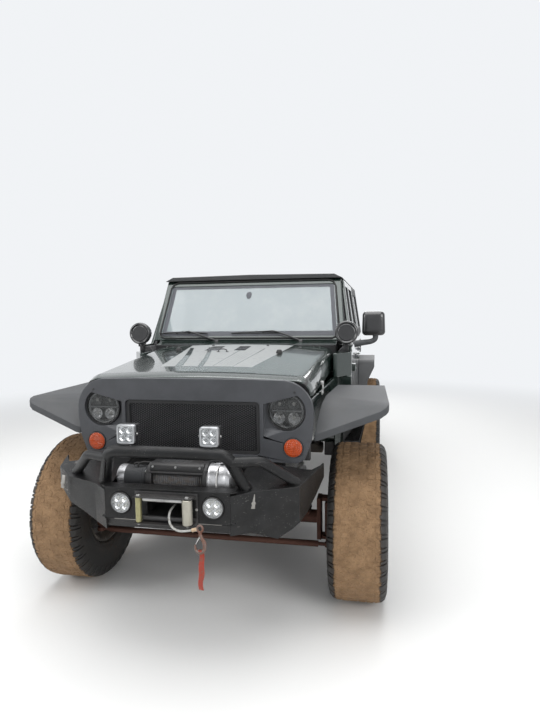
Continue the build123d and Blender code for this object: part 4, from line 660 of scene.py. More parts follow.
SMOKED = Glass("smoked_lens", (0.04, 0.042, 0.041), 0.04, alpha=0.38, bending=1.6, smears=0.05)
DARK_CHROME = Mirrorlike("dark_reflector", (0.085, 0.088, 0.09), 0.22, metallic=0.9, dust=0.0)
SHEET = Finish("perforated_sheet", (0.01, 0.01, 0.011), 0.42, dust=0.04, shine=0.25)
SCRAPED = Mirrorlike("scraped_steel", (0.3, 0.29, 0.27), 0.45, metallic=0.6, dust=0.2)
PRINTED = Finish("printed_border", (0.06, 0.063, 0.072), 0.45, dust=0.04, shine=0.3)
LABEL = Finish("blank_label", (0.72, 0.71, 0.69), 0.42, dust=0.1)
FOG_BOWL = Mirrorlike("fog_lamp_bowl", (0.36, 0.345, 0.305), 0.32, metallic=0.7, dust=0.05)
DIRTY_ZINC = Mirrorlike("dirty_zinc", (0.4, 0.385, 0.33), 0.45, metallic=0.7, dust=0.45)
CORE = Finish("radiator_core", (0.115, 0.117, 0.12), 0.55, metallic=0.3, dust=0.15)
# pale blue grey at 0.6 alpha: a painted reflection of the sky on the windshield
SKY_SHEEN_SHIELD = Glass("windshield_glass", (0.25, 0.3, 0.315), 0.02, alpha=0.6, bending=1.9, smears=0.12)
WINDOW = Glass("window_glass", (0.1, 0.13, 0.125), 0.02, alpha=0.45, bending=1.7, smears=0.1)
TINTED = Glass("tinted_glass", (0.01, 0.013, 0.013), 0.03, alpha=0.72, bending=1.7, smears=0.1)
MIRROR = Mirrorlike("mirror_glass", (0.75, 0.77, 0.78), 0.03, metallic=1.0, dust=0.05)
SEAT_CLOTH = Cloth("seat_cloth", (0.04, 0.04, 0.043), 0.9)
SEAT_EDGE = Cloth("seat_edge_cloth", (0.018, 0.018, 0.02), 0.9, weave=1100.0)
GRIP = Finish("wheel_leather", (0.016, 0.016, 0.017), 0.48, dust=0.05, grain=0.0004, grain_scale=520.0)
ROPE = Braid("grey_rope", (0.52, 0.52, 0.5), 0.9)
DRUM_ROPE = Braid("dark_rope", (0.17, 0.17, 0.175), 0.85, strands=420.0)
STRAP = Braid("red_strap", (0.42, 0.055, 0.035), 0.9, strands=520.0)
POD_COVER = Finish("lamp_cover", (0.01, 0.01, 0.011), 0.3, coat=0.5, dust=0.12)
WARM_WHITE = Finish("pale_lens", (0.55, 0.55, 0.53), 0.3, dust=0.05)


# Building meshes, in millimetres

MM = 0.001
HERE = Matrix.Identity(4)
# metres within which two points are one, in what is built here and in the model's panels
SAME_POINT, SAME_CORNER = 1e-6, 2e-5
# the least turn, in radians, at an edge that is bevelled
EDGE_TURN = 0.5


def basis(origin: Point, out: Point, along: Point | None = None) -> Matrix:
    """A frame at a point.

    Args:
        origin: where it stands.
        out: the direction of its Z axis.
        along: the rough direction of its X axis.

    Returns:
        The matrix from the frame to the vehicle.
    """
    z = Vector(out).normalized()
    x = Vector(along) if along is not None else (UP.cross(z) if abs(z.z) < 0.95 else LEFT)
    x = (x - z * x.dot(z)).normalized()
    return Matrix.Translation(Vector(origin)) @ Matrix((x, z.cross(x), z)).transposed().to_4x4()


def shifted(at: Matrix, x: float, y: float, z: float = 0.0) -> Matrix:
    """The same frame at another place in it."""
    return at @ Matrix.Translation((x, y, z))


def rescaled(at: Matrix, unit: float) -> Matrix:
    """The same frame, with its place given in metres."""
    return Matrix.Translation(at.translation * unit) @ at.to_3x3().to_4x4()


def polar(radius: float, angle: float, z: float = 0.0) -> Vector:
    """A place by its radius and its angle round the Z axis."""
    return Vector((radius * math.cos(angle), radius * math.sin(angle), z))


def turns(parts: int, count: int = 0) -> list[float]:
    """The angles of equal parts of a full turn, or as many of them as are counted."""
    return [math.tau * part / parts for part in range(count or parts)]


def circle(radius: float, steps: int, start: float = 0.0, end: float = math.tau) -> list[Vector]:
    """Points on a circle or an arc in the XY plane."""
    span = steps if abs(end - start) >= math.tau - 1e-9 else steps - 1
    return [polar(radius, start + (end - start) * i / span) for i in range(steps)]


def rounded(half_x: float, half_y: float, corner: float, steps: int = 5) -> list[Vector]:
    """A rectangle with round corners, about the origin.

    Args:
        half_x: half its width.
        half_y: half its height.
        corner: the corners' radius.
        steps: the points on each corner.

    Returns:
        The points, in order.
    """
    points = []
    for number, (sx, sy) in enumerate(((1, 1), (-1, 1), (-1, -1), (1, -1))):
        centre = Vector((sx * (half_x - corner), sy * (half_y - corner), 0.0))
        points += [centre + p for p in circle(corner, steps, number * math.pi / 2, (number + 1) * math.pi / 2)]
    return points


def stacked(*levels: Sequence[object]) -> list[list[Vector]]:
    """Rows for a skin, from outlines with their heights and, where they grow, their sizes."""
    return [[Vector((p.x * size, p.y * size, z)) for p in outline] for outline, z, size in
            ((*level, 1.0)[:3] for level in levels)]


def smooth_path(points: Sequence[Point], parts: int = 6) -> list[Vector]:
    """A line that bends gently through the given points.

    Args:
        points: the points.
        parts: the parts between two of them.

    Returns:
        The line's points.
    """
    known = [Vector(p) for p in points]
    padded = [2 * known[0] - known[1], *known, 2 * known[-1] - known[-2]]
    line = []
    for before, start, end, after in zip(padded, padded[1:], padded[2:], padded[3:]):
        for t in (step / parts for step in range(parts)):
            bend = (2 * before - 5 * start + 4 * end - after) * t * t + (3 * start - before - 3 * end + after) * t ** 3
            line.append(0.5 * (2 * start + (end - before) * t + bend))
    return [*line, known[-1]]


def stand(name: str, data: bpy.types.ID) -> bpy.types.Object:
    """An object in the scene that holds the given data.

    Args:
        name: the object's name.
        data: its data.

    Returns:
        The object.
    """
    made = bpy.data.objects.new(name, data)
    bpy.context.scene.collection.objects.link(made)
    return made


class Form:
    """A mesh under construction, measured in millimetres unless told otherwise, that ends as one piece."""

    def __init__(self, unit: float = MM) -> None:
        """Starts an empty form."""
        self.mesh = bmesh.new()
        self.unit = unit

    def _keep(self, part: bmesh.types.BMesh, at: Matrix, edge: float, steps: int) -> "Form":
        """Bevels a closed part's sharp edges and adds it.

        Args:
            part: the part, which ends here.
            at: its frame.
            edge: the bevel's width.
            steps: the bevel's steps.

        Returns:
            This form.
        """
        bmesh.ops.recalc_face_normals(part, faces=part.faces)
        if edge > 0:
            sharp = [e for e in part.edges if len(e.link_faces) == 2 and e.calc_face_angle(0.0) > EDGE_TURN]
            bmesh.ops.bevel(part, geom=sharp, offset=edge * self.unit, segments=steps, profile=0.5, affect="EDGES",
                            clamp_overlap=True)
        bmesh.ops.transform(part, matrix=rescaled(at, self.unit), verts=part.verts)
        return self._add(part)

    def _add(self, part: bmesh.types.BMesh) -> "Form":
        """Adds another mesh as it is.

        Args:
            part: the mesh, which ends here.

        Returns:
            This form.
        """
        held = bpy.data.meshes.new("part")
        part.to_mesh(held)
        part.free()
        self.mesh.from_mesh(held)
        bpy.data.meshes.remove(held)
        return self

    def box(
        self, x0: float, y0: float, z0: float, x1: float, y1: float, z1: float, edge: float = 0.0, at: Matrix = HERE,
        steps: int = 2,
    ) -> "Form":
        """Adds a box between two corners, with bevelled edges if asked.

        Args:
            x0: the low corner's X.
            y0: its Y.
            z0: its Z.
            x1: the high corner's X.
            y1: its Y.
            z1: its Z.
            edge: the bevel's width.
            at: the box's frame.
            steps: the bevel's steps.

        Returns:
            This form.
        """
        part = bmesh.new()
        bmesh.ops.create_cube(part, size=1.0)
        low, high = Vector((x0, y0, z0)), Vector((x1, y1, z1))
        for vertex in part.verts:
            vertex.co = ((low + high) / 2 + vertex.co * (high - low)) * self.unit
        return self._keep(part, at, edge, steps)

    def slab(
        self, x: float, y: float, low: float, high: float, edge: float = 0.0, at: Matrix = HERE, steps: int = 2
    ) -> "Form":
        """Adds a box about its frame's Z axis, by its half sizes and its two heights."""
        return self.box(-x, -y, low, x, y, high, edge, at, steps)

    def glinting_prism(
        self, outline: Sequence[Point], depth: float, at: Matrix = HERE, edge: float = 0.0, steps: int = 2
    ) -> "Form":
        """Adds an outline in its frame's XY plane, pushed along the frame's Z.

        Args:
            outline: the outline's points.
            depth: how far it is pushed.
            at: its frame.
            edge: the bevel's width.
            steps: the bevel's steps.

        Returns:
            This form.
        """
        part = bmesh.new()
        ends = [[part.verts.new(Vector((p[0], p[1], z)) * self.unit) for p in outline] for z in (0.0, depth)]
        part.faces.new(ends[0][::-1])
        part.faces.new(ends[1])
        for index, (low, high) in enumerate(zip(*ends)):
            after = (index + 1) % len(outline)
            part.faces.new((low, ends[0][after], ends[1][after], high))
        return self._keep(part, at, edge, steps)

    def skin(
        self, rows: Sequence[Sequence[Point]], at: Matrix = HERE, ring: bool = True, loop: bool = False,
        caps: bool = True,
    ) -> "Form":
        """Adds a surface through rows of points.

        Args:
            rows: the rows, all of one length.
            at: the rows' frame.
            ring: whether each row closes on itself.
            loop: whether the last row joins the first.
            caps: whether the end rows are filled.

        Returns:
            This form.
        """
        part = bmesh.new()
        made = [[part.verts.new(Vector(p) * self.unit) for p in row] for row in rows]
        count = len(made[0])
        for first, second in list(zip(made, made[1:])) + ([(made[-1], made[0])] if loop else []):
            for index in range(count if ring else count - 1):
                after = (index + 1) % count
                part.faces.new((first[index], first[after], second[after], second[index]))
        if caps and ring and not loop:
            part.faces.new(made[0][::-1])
            part.faces.new(made[-1])
        bmesh.ops.remove_doubles(part, verts=part.verts, dist=SAME_POINT)
        return self._keep(part, at, 0.0, 2)

    def lathe(self, profile: Sequence[float], at: Matrix = HERE, steps: int = 48, ring: bool = False) -> "Form":
        """Turns a profile round its frame's Z axis.

        Args:
            profile: places along the axis, each followed by its radius.
            at: the frame.
            steps: the parts of the turn.
            ring: whether the profile closes on itself, and not on the axis.

        Returns:
            This form.
        """
        line = list(zip(profile[::2], profile[1::2]))
        if not ring:
            ends = [[(z, 0.0)] if radius > 1e-9 else [] for z, radius in (line[0], line[-1])]
            line = ends[0] + line + ends[1]
        rows = [[polar(radius, angle, z) for z, radius in line] for angle in turns(steps)]
        return self.skin(rows, at, ring, loop=True, caps=False)

    def pipe(self, path: Sequence[Point], radius: float | Callable[[float], float], sides: int = 14) -> "Form":
        """Adds a round bar along a path, whose radius may change with the share of the path.

        Args:
            path: the path's points.
            radius: the radius, or its rule by the share.
            sides: the bar's sides.

        Returns:
            This form.
        """
        points = [Vector(p) for p in path]
        size = radius if callable(radius) else (lambda share: radius)
        side = (points[1] - points[0]).normalized().orthogonal().normalized()
        rows = []
        for index, point in enumerate(points):
            turned = (points[min(index + 1, len(points) - 1)] - points[max(index - 1, 0)]).normalized()
            side = (side - turned * side.dot(turned)).normalized()
            other = turned.cross(side)
            rows.append([point + side * p.x + other * p.y for p in circle(size(index / (len(points) - 1)), sides)])
        return self.skin(rows)

    def ball(self, centre: Point, radius: float, squash: float = 1.0, at: Matrix = HERE) -> "Form":
        """Adds a ball, flattened along Z if asked.

        Args:
            centre: its centre in the frame.
            radius: its radius.
            squash: the share of its height that stays.
            at: the frame.

        Returns:
            This form.
        """
        arc = (math.pi * i / 10 for i in range(11))
        profile = [v for a in arc for v in (radius * squash * -math.cos(a), radius * math.sin(a))]
        return self.lathe(profile, shifted(at, *centre), 20)

    def wave(self, amount: float, scale: float) -> "Form":
        """Moves the points a little by smooth noise, whose scale is in waves for each metre.

        Args:
            amount: how far a point may move.
            scale: waves for each metre.

        Returns:
            This form.
        """
        for vertex in self.mesh.verts:
            vertex.co += noise.noise_vector(vertex.co * scale) * amount * self.unit
        return self

    def mirrored(self) -> "Form":
        """Adds the same form on the vehicle's other side."""
        copy = self.mesh.copy()
        bmesh.ops.transform(copy, matrix=Matrix.Scale(-1.0, 4, LEFT), verts=copy.verts)
        bmesh.ops.reverse_faces(copy, faces=copy.faces)
        return self._add(copy)

    def done(self, name: str) -> bpy.types.Mesh:
        """Ends the form as a mesh in metres.

        Args:
            name: the mesh's name.

        Returns:
            The mesh.
        """
        mesh = bpy.data.meshes.new(name)
        self.mesh.to_mesh(mesh)
        self.mesh.free()
        return mesh

    def piece(
        self, name: str, finish: Finish, slot: str, stands_for: Iterable[str] = (), body: str = "root",
        angle: float = 38.0,
    ) -> bpy.types.Object:
        """Ends the form as a piece of the vehicle, as settle does."""
        return settle(self.done(name), name, finish, stands_for, body, angle)


def settle(
    mesh: bpy.types.Mesh, name: str, finish: Finish, stands_for: Iterable[str] = (), body: str = "root",
    angle: float = 38.0,
) -> bpy.types.Object:
    """Makes a piece of the vehicle from a finished mesh.

    Args:
        mesh: its mesh, in metres.
        name: the piece's name.
        finish: its surface finish.
        stands_for: the model's nodes that it replaces.
        body: the moving body that carries it.
        angle: edges sharper than this many degrees stay sharp.

    Returns:
        The piece.
    """
    mesh.polygons.foreach_set("use_smooth", [True] * len(mesh.polygons))
    mesh.set_sharp_from_angle(angle=math.radians(angle))
    mesh.materials.clear()
    mesh.materials.append(finish.material())
    made = stand(name, mesh)
    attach(made, body)
    if stands_for:
        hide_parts(*stands_for)
    LOG.info("%s rides on %s with %d faces", name, body, len(mesh.polygons))
    return made


def body_of(node: str) -> str:
    """The body that carries a node."""
    return frame["nodes"][node]["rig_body"]


def flatten(piece: bpy.types.Object) -> bpy.types.Mesh:
    """Turns a piece and its modifiers into a plain mesh.

    Args:
        piece: the piece, which gets the mesh.

    Returns:
        The mesh.
    """
    bpy.context.view_layer.update()
    result = bpy.data.meshes.new_from_object(piece.evaluated_get(bpy.context.evaluated_depsgraph_get()))
    piece.modifiers.clear()
    piece.data = result
    return result


# What repeats is placed by Geometry Nodes


class Tree:
    """A Geometry Nodes tree under construction, with named inputs."""

    def __init__(self, name: str, sockets: Mapping[str, str]) -> None:
        """Starts a tree that takes a geometry, the named inputs and a finish.

        Args:
            name: the tree's name.
            sockets: the kinds of its inputs, by name.
        """
        self.tree = bpy.data.node_groups.new(name, "GeometryNodeTree")
        self.ids = {}
        kinds = {"Geometry": "Geometry", **sockets, "Finish": "Material"}
        sides = [(label, "INPUT", kind) for label, kind in kinds.items()]
        for label, side, kind in (*sides, ("Geometry", "OUTPUT", "Geometry")):
            made = self.tree.interface.new_socket(name=label, in_out=side, socket_type=f"NodeSocket{kind}")
            self.ids.setdefault(label, made.identifier)
        self.inputs = self.tree.nodes.new("NodeGroupInput").outputs
        self.output = self.tree.nodes.new("NodeGroupOutput").inputs[0]

    def node(
        self, kind: str, settings: Mapping[str, object] | None = None, inputs: Mapping[object, object] | None = None
    ) -> bpy.types.NodeOutputs:
        """Makes a node from its type, settings and inputs, and returns its outputs.

        Args:
            kind: the node's type.
            settings: its own settings.
            inputs: the values or links of its sockets.

        Returns:
            Its outputs.
        """
        made = self.tree.nodes.new(kind)
        for key, value in (settings or {}).items():
            setattr(made, key, value)
        for key, value in (inputs or {}).items():
            if isinstance(value, bpy.types.NodeSocket):
                self.tree.links.new(value, made.inputs[key])
            else:
                made.inputs[key].default_value = value
        return made.outputs

    def end(self, points: bpy.types.NodeSocket, pattern: bpy.types.NodeSocket, **placing: object) -> "Tree":
        """Puts the pattern on the points, realizes the copies and sets their finish.

        Args:
            points: where the copies go.
            pattern: what is copied.
            placing: the other inputs of the node that places the copies.

        Returns:
            This tree.
        """
        inputs = {"Points": points, "Instance": pattern, **placing}
        copies = self.node("GeometryNodeInstanceOnPoints", inputs=inputs)[0]
        real = self.node("GeometryNodeRealizeInstances", inputs={"Geometry": copies})[0]
        done = self.node("GeometryNodeSetMaterial", inputs={"Geometry": real, "Material": self.inputs["Finish"]})[0]
        self.tree.links.new(done, self.output)
        return self

    def run(self, piece: bpy.types.Object, values: Mapping[str, object]) -> bpy.types.Mesh:
        """Runs the tree on a piece with the given inputs, and leaves a plain mesh.

        Args:
            piece: the object that it changes.
            values: the inputs, by name.

        Returns:
            The mesh.
        """
        modifier = piece.modifiers.new("repeat", "NODES")
        modifier.node_group = self.tree
        for label, value in values.items():
            modifier[self.ids[label]] = value
        return flatten(piece)


def scatter_tree() -> Tree:
    """A tree that puts a pattern piece on every point, turned and sized by the points' own attributes."""
    made = Tree("scatter", {"Pattern": "Object"})
    pattern = made.node("GeometryNodeObjectInfo", inputs={"Object": made.inputs["Pattern"]})["Geometry"]
    turn = made.node("GeometryNodeInputNamedAttribute", {"data_type": "FLOAT_VECTOR"}, {"Name": "turn"})[0]
    size = made.node("GeometryNodeInputNamedAttribute", {"data_type": "FLOAT"}, {"Name": "size"})[0]
    points = made.node("GeometryNodeMeshToPoints", inputs={"Mesh": made.inputs["Geometry"]})[0]
    return made.end(points, pattern, Rotation=turn, Scale=size)


def ring_tree() -> Tree:
    """A tree that repeats a mesh round the Z axis."""
    made = Tree("ring", {"Count": "Int"})
    points = made.node("GeometryNodePoints", inputs={"Count": made.inputs["Count"]})[0]
    index = made.node("GeometryNodeInputIndex")[0]
    share = made.node("ShaderNodeMath", {"operation": "DIVIDE"}, {0: index, 1: made.inputs["Count"]})[0]
    angle = made.node("ShaderNodeMath", {"operation": "MULTIPLY"}, {0: share, 1: math.tau})[0]
    turn = made.node("ShaderNodeCombineXYZ", inputs={"Z": angle})[0]
    return made.end(points, made.inputs["Geometry"], Rotation=turn)


SCATTER = scatter_tree()
RING = ring_tree()


@dataclass(frozen=True)
class Spot:
    """A place for one copy of a pattern: where, the direction that it faces, its roll about that and its size."""

    at: Point
    out: Point = (0.0, -1.0, 0.0)
    roll: float = 0.0
    size: float = 1.0


def scattered(
    name: str, pattern: Form, spots: Sequence[Spot], finish: Finish, slot: str, body: str = "root"
) -> bpy.types.Object:
    """Copies of one pattern, which faces +Z, on many spots, as one piece.

    Args:
        name: the piece's name.
        pattern: the pattern.
        spots: where the copies go.
        finish: their finish.
        slot: their material slot, which is not used.
        body: the moving body that carries them.

    Returns:
        The piece.
    """
    model = stand("pattern", pattern.done("pattern"))
    points = bpy.data.meshes.new(name)
    points.from_pydata([tuple(Vector(s.at) * MM) for s in spots], [], [])
    rolls = [(basis((0, 0, 0), s.out) @ Matrix.Rotation(s.roll, 4, "Z")).to_euler() for s in spots]
    turned = [angle for roll in rolls for angle in roll]
    points.attributes.new("turn", "FLOAT_VECTOR", "POINT").data.foreach_set("vector", turned)
    points.attributes.new("size", "FLOAT", "POINT").data.foreach_set("value", [s.size for s in spots])
    made = stand(name, points)
    result = SCATTER.run(made, {"Pattern": model, "Finish": finish.material()})
    bpy.data.objects.remove(model)
    bpy.data.objects.remove(made)
    result.name = name
    return settle(result, name, finish, body=body)


def bolt(radius: float, height: float) -> Form:
    """A hexagonal bolt head on its washer, facing +Z."""
    washer = Form().lathe((0, radius * 1.35, height * 0.22, radius * 1.35), steps=16)
    return washer.glinting_prism(circle(radius, 6), height, HERE, radius * 0.12, 1)


# Places of this vehicle


class Hand(Enum):
    """The vehicle's sides, by the sign of their X."""

    LEFT = 1
    RIGHT = -1

    def named(self, what: str) -> str:
        """The name of a piece on this side."""
        return f"{self.name.lower()}_{what}"

    def first(self, node: str) -> tuple[str, ...]:
        """The node that the left one of two pieces stands for."""
        return (node,) if self is Hand.LEFT else ()


SIDES = tuple(hand.value for hand in Hand)
FRONT_Y, REAR_Y, AXLE_Z, WHEEL_X = -1583.0, 1364.0, 440.0, 850.0
BELT_Z = 1370.0
TAIL_Y = 2079.0
SHIELD_LEAN = math.atan2(0.23, 0.45)
ON_SHIELD = (0.0, -0.89, 0.46)


def wall_x(z: float) -> float:
    """The X of the body's outside at a height, which leans in over the belt."""
    return 785.0 - 80.0 * max(0.0, z - BELT_Z) / 520.0


def hood_z(x: float, y: float) -> float:
    """The height of the hood's top."""
    run = y + 1922.0
    return 1334.0 + (78.0 * run / 1029.0 if run > 0 else 0.367 * run) - 22.0 * (x / 640.0) ** 2


def shield_point(x: float, rise: float, out: float = 0.0) -> Vector:
    """A place on the windshield's plane: across, up its slope from the foot, and out from it."""
    sine, cosine = math.sin(SHIELD_LEAN), math.cos(SHIELD_LEAN)
    return Vector((x, -783.0 + rise * sine - out * cosine, 1440.0 + rise * cosine + out * sine))


@dataclass(frozen=True)
class Panel:
    """A panel that keeps the model's shape and gets rounded edges.

    Its holed faces are split again, so that rounding can't make them cross themselves. Its turns are in degrees: faces
    under the flat one are joined, edges over the rounded one are rounded, and those over the sharp one stay sharp.
    """

    node: str
    name: str
    finish: Finish
    slot: str
    edge: float
    steps: int = 2
    lining: Finish | None = None
    holed: bool = False
    holed_corners: int = 40
    flat: float = 0.6
    rounded: float = 30.0
    sharp: float = 32.0

    def build(self) -> None:
        """Makes a copy of the model's node with its sharp edges rounded, which stands for the node."""
        part = bmesh.new()
        part.from_mesh(frame["nodes"][self.node].data)
        bmesh.ops.remove_doubles(part, verts=part.verts, dist=SAME_CORNER)
        bmesh.ops.dissolve_limit(part, angle_limit=math.radians(self.flat), verts=part.verts, edges=part.edges)
        if self.holed:
            bmesh.ops.triangulate(part, faces=[face for face in part.faces if len(face.verts) > self.holed_corners])
        mesh = bpy.data.meshes.new(self.name)
        part.to_mesh(mesh)
        part.free()
        made = settle(mesh, self.name, self.finish, [self.node], body_of(self.node))
        modifier = made.modifiers.new("edges", "BEVEL")
        modifier.width, modifier.segments = self.edge * MM, self.steps
        modifier.limit_method, modifier.angle_limit = "ANGLE", math.radians(self.rounded)
        modifier.use_clamp_overlap, modifier.miter_outer = False, "MITER_ARC"
        flatten(made)
        made.data.set_sharp_from_angle(angle=math.radians(self.sharp))
        # large faces keep flat shading up to their rounded edges
        weighted = made.modifiers.new("flat", "WEIGHTED_NORMAL")
        weighted.keep_sharp, weighted.weight = True, 80
        flatten(made)
        if self.lining is not None:
            made.data.materials.append(self.lining.material())
            for face in made.data.polygons:
                face.material_index = int(self.lined(face.center))

    def lined(self, centre: Vector) -> bool:
        """Whether a face, from its centre in metres, is on the inside and gets the lining.

        Args:
            centre: the face's centre.

        Returns:
            Whether it is inside.
        """
        x, y, z = abs(centre.x), centre.y, centre.z
        wall = wall_x(z / MM) * MM
        inside = {
            "body_tub": x < 0.735 and -0.95 < y < 2.035 and 0.752 < z < 1.41 or (x < 0.76 and z < 0.745),
            "hood": z < hood_z(x / MM, y / MM) * MM - 0.012 and x < 0.6,
            "front_fenders": x < 0.6 or z < 1.0,
            "tailgate": y < 2.04,
            "hardtop": x < wall - 0.02 and z < 1.895 and y < 2.05,
            "windshield_frame": y > -0.783 + (z - 1.44) * 0.511 + 0.04,
        }
        return inside.get(self.node, x < wall - 0.0245)


@dataclass
class Bodywork:
    """The panels and plain parts that follow the model's shape."""

    panels: Sequence[Panel] = (
        Panel("body_tub", "painted_tub", PAINT, "paint", 6.0, 2, CARPET),
        Panel("hood", "hood_panel", HOOD_PAINT, "paint", 5.0, 3, BLACK),
        Panel("front_fenders", "fender_panels", PAINT, "paint", 5.0, 2, BLACK),
        Panel("front_door_left", "front_left_door_shell", PAINT, "paint", 5.0, 2, INNER),
        Panel("front_door_right", "front_right_door_shell", PAINT, "paint", 5.0, 2, INNER),
        Panel("rear_door_left", "rear_left_door_shell", PAINT, "paint", 5.0, 2, INNER),
        Panel("rear_door_right", "rear_right_door_shell", PAINT, "paint", 5.0, 2, INNER),
        Panel("tailgate", "tailgate_panel", PAINT, "paint", 6.0, 2, INNER),
        Panel("windshield_frame", "shield_frame", PAINT, "paint", 8.0, 3, INNER),
        Panel("hardtop", "top_shell", HARDTOP, "hardtop", 5.0, 2, INNER, True),
        Panel("fender_flares", "flare_skins", GRAINED, "flare", 3.5),
        Panel("grille_shell", "grille_face", SATIN, "grille", 3.2, holed=True),
        Panel("front_bumper", "bumper_steel", COATED, "bumper", 2.8),
        Panel("rear_bumper", "rear_bumper_steel", COATED, "bumper", 4.0),
        Panel("frame_rails", "chassis_rails", CHASSIS, "frame", 6.0),
        Panel("control_arms", "link_arms", CHASSIS, "frame", 3.0, 1),
        Panel("fuel_tank", "tank_shell", CHASSIS, "frame", 20.0, 3),
        Panel("engine_block", "engine_body", CHASSIS, "rusty_steel", 12.0),
        Panel("front_axle", "front_axle_housing", SHADE_DARKENED_RUST, "rusty_steel", 4.0),
        Panel("rear_axle", "rear_axle_housing", SHADE_DARKENED_RUST, "rusty_steel", 4.0),
        Panel("knuckle_left", "left_knuckle_casting", SHADE_DARKENED_RUST, "rusty_steel", 5.0),
        Panel("knuckle_right", "right_knuckle_casting", SHADE_DARKENED_RUST, "rusty_steel", 5.0),
        Panel("dashboard", "dash_shell", INNER, "dash", 12.0, 3),
    )
    plain: Sequence[tuple[Finish, tuple[str, ...]]] = (
        (SHADE_DARKENED_RUST, ("tie_rod", "drag_link", "pitman_arm", "driveshafts", "exhaust")),
        (COATED, ("roll_bar",)), (SKY_SHEEN_SHIELD, ("windshield",)), (TINTED, ("hardtop_glass", "rear_door_glass_right")),
        (WINDOW, ("front_door_glass_left", "front_door_glass_right")), (GRIP, ("steering_wheel",)),
        (BLACK_RIM, ("rim_front_left", "rim_front_right", "rim_rear_left", "rim_rear_right", "rim_spare")),
    )

    def build(self) -> None:
        """Makes the rounded panels and gives the plain parts their finishes."""
        for panel in self.panels:
            panel.build()
        for finish, nodes in self.plain:
            for slots in (frame["nodes"][node].data.materials for node in nodes):
                slots.clear()
                slots.append(finish.material())


# Wheels, whose profiles are places along the axle, each followed by its radius

TYRE_HALF = (
    112, 219.5, 116.5, 230, 130, 239, 134.5, 244, 133, 249, 148, 278, 156, 315, 157, 345, 152, 380, 140, 407,
    123, 422.5, 108, 433.5, 80, 436.2, 0, 436.8,
)
TYRE_INSIDE = (-100, 226, -138, 300, -138, 352, -110, 402, 110, 402, 138, 352, 138, 300, 100, 226)
LONG_LUG = (92, 423, 92, 438.8, 126.5, 433, 145, 417, 154.5, 390, 155.5, 376, 148, 374, 138, 400, 115, 418)
SHORT_LUG = (100, 423, 100, 438, 125, 433, 144, 415, 152, 396, 138, 400, 115, 418)
# shares along the pitch, each followed by its place along the axle
TREAD_BLOCKS = (
    (-0.32, 6, 0.1, 4, 0.24, 30, 0.1, 44, -0.2, 40), (0.2, 46, 0.52, 50, 0.56, 80, 0.26, 84, 0.12, 62),
    (-0.26, 50, 0.02, 56, 0.12, 84, -0.22, 86),
)


def held_in(value: float) -> float:
    """A value kept from 0 to 1."""
    return min(1.0, max(0.0, value))


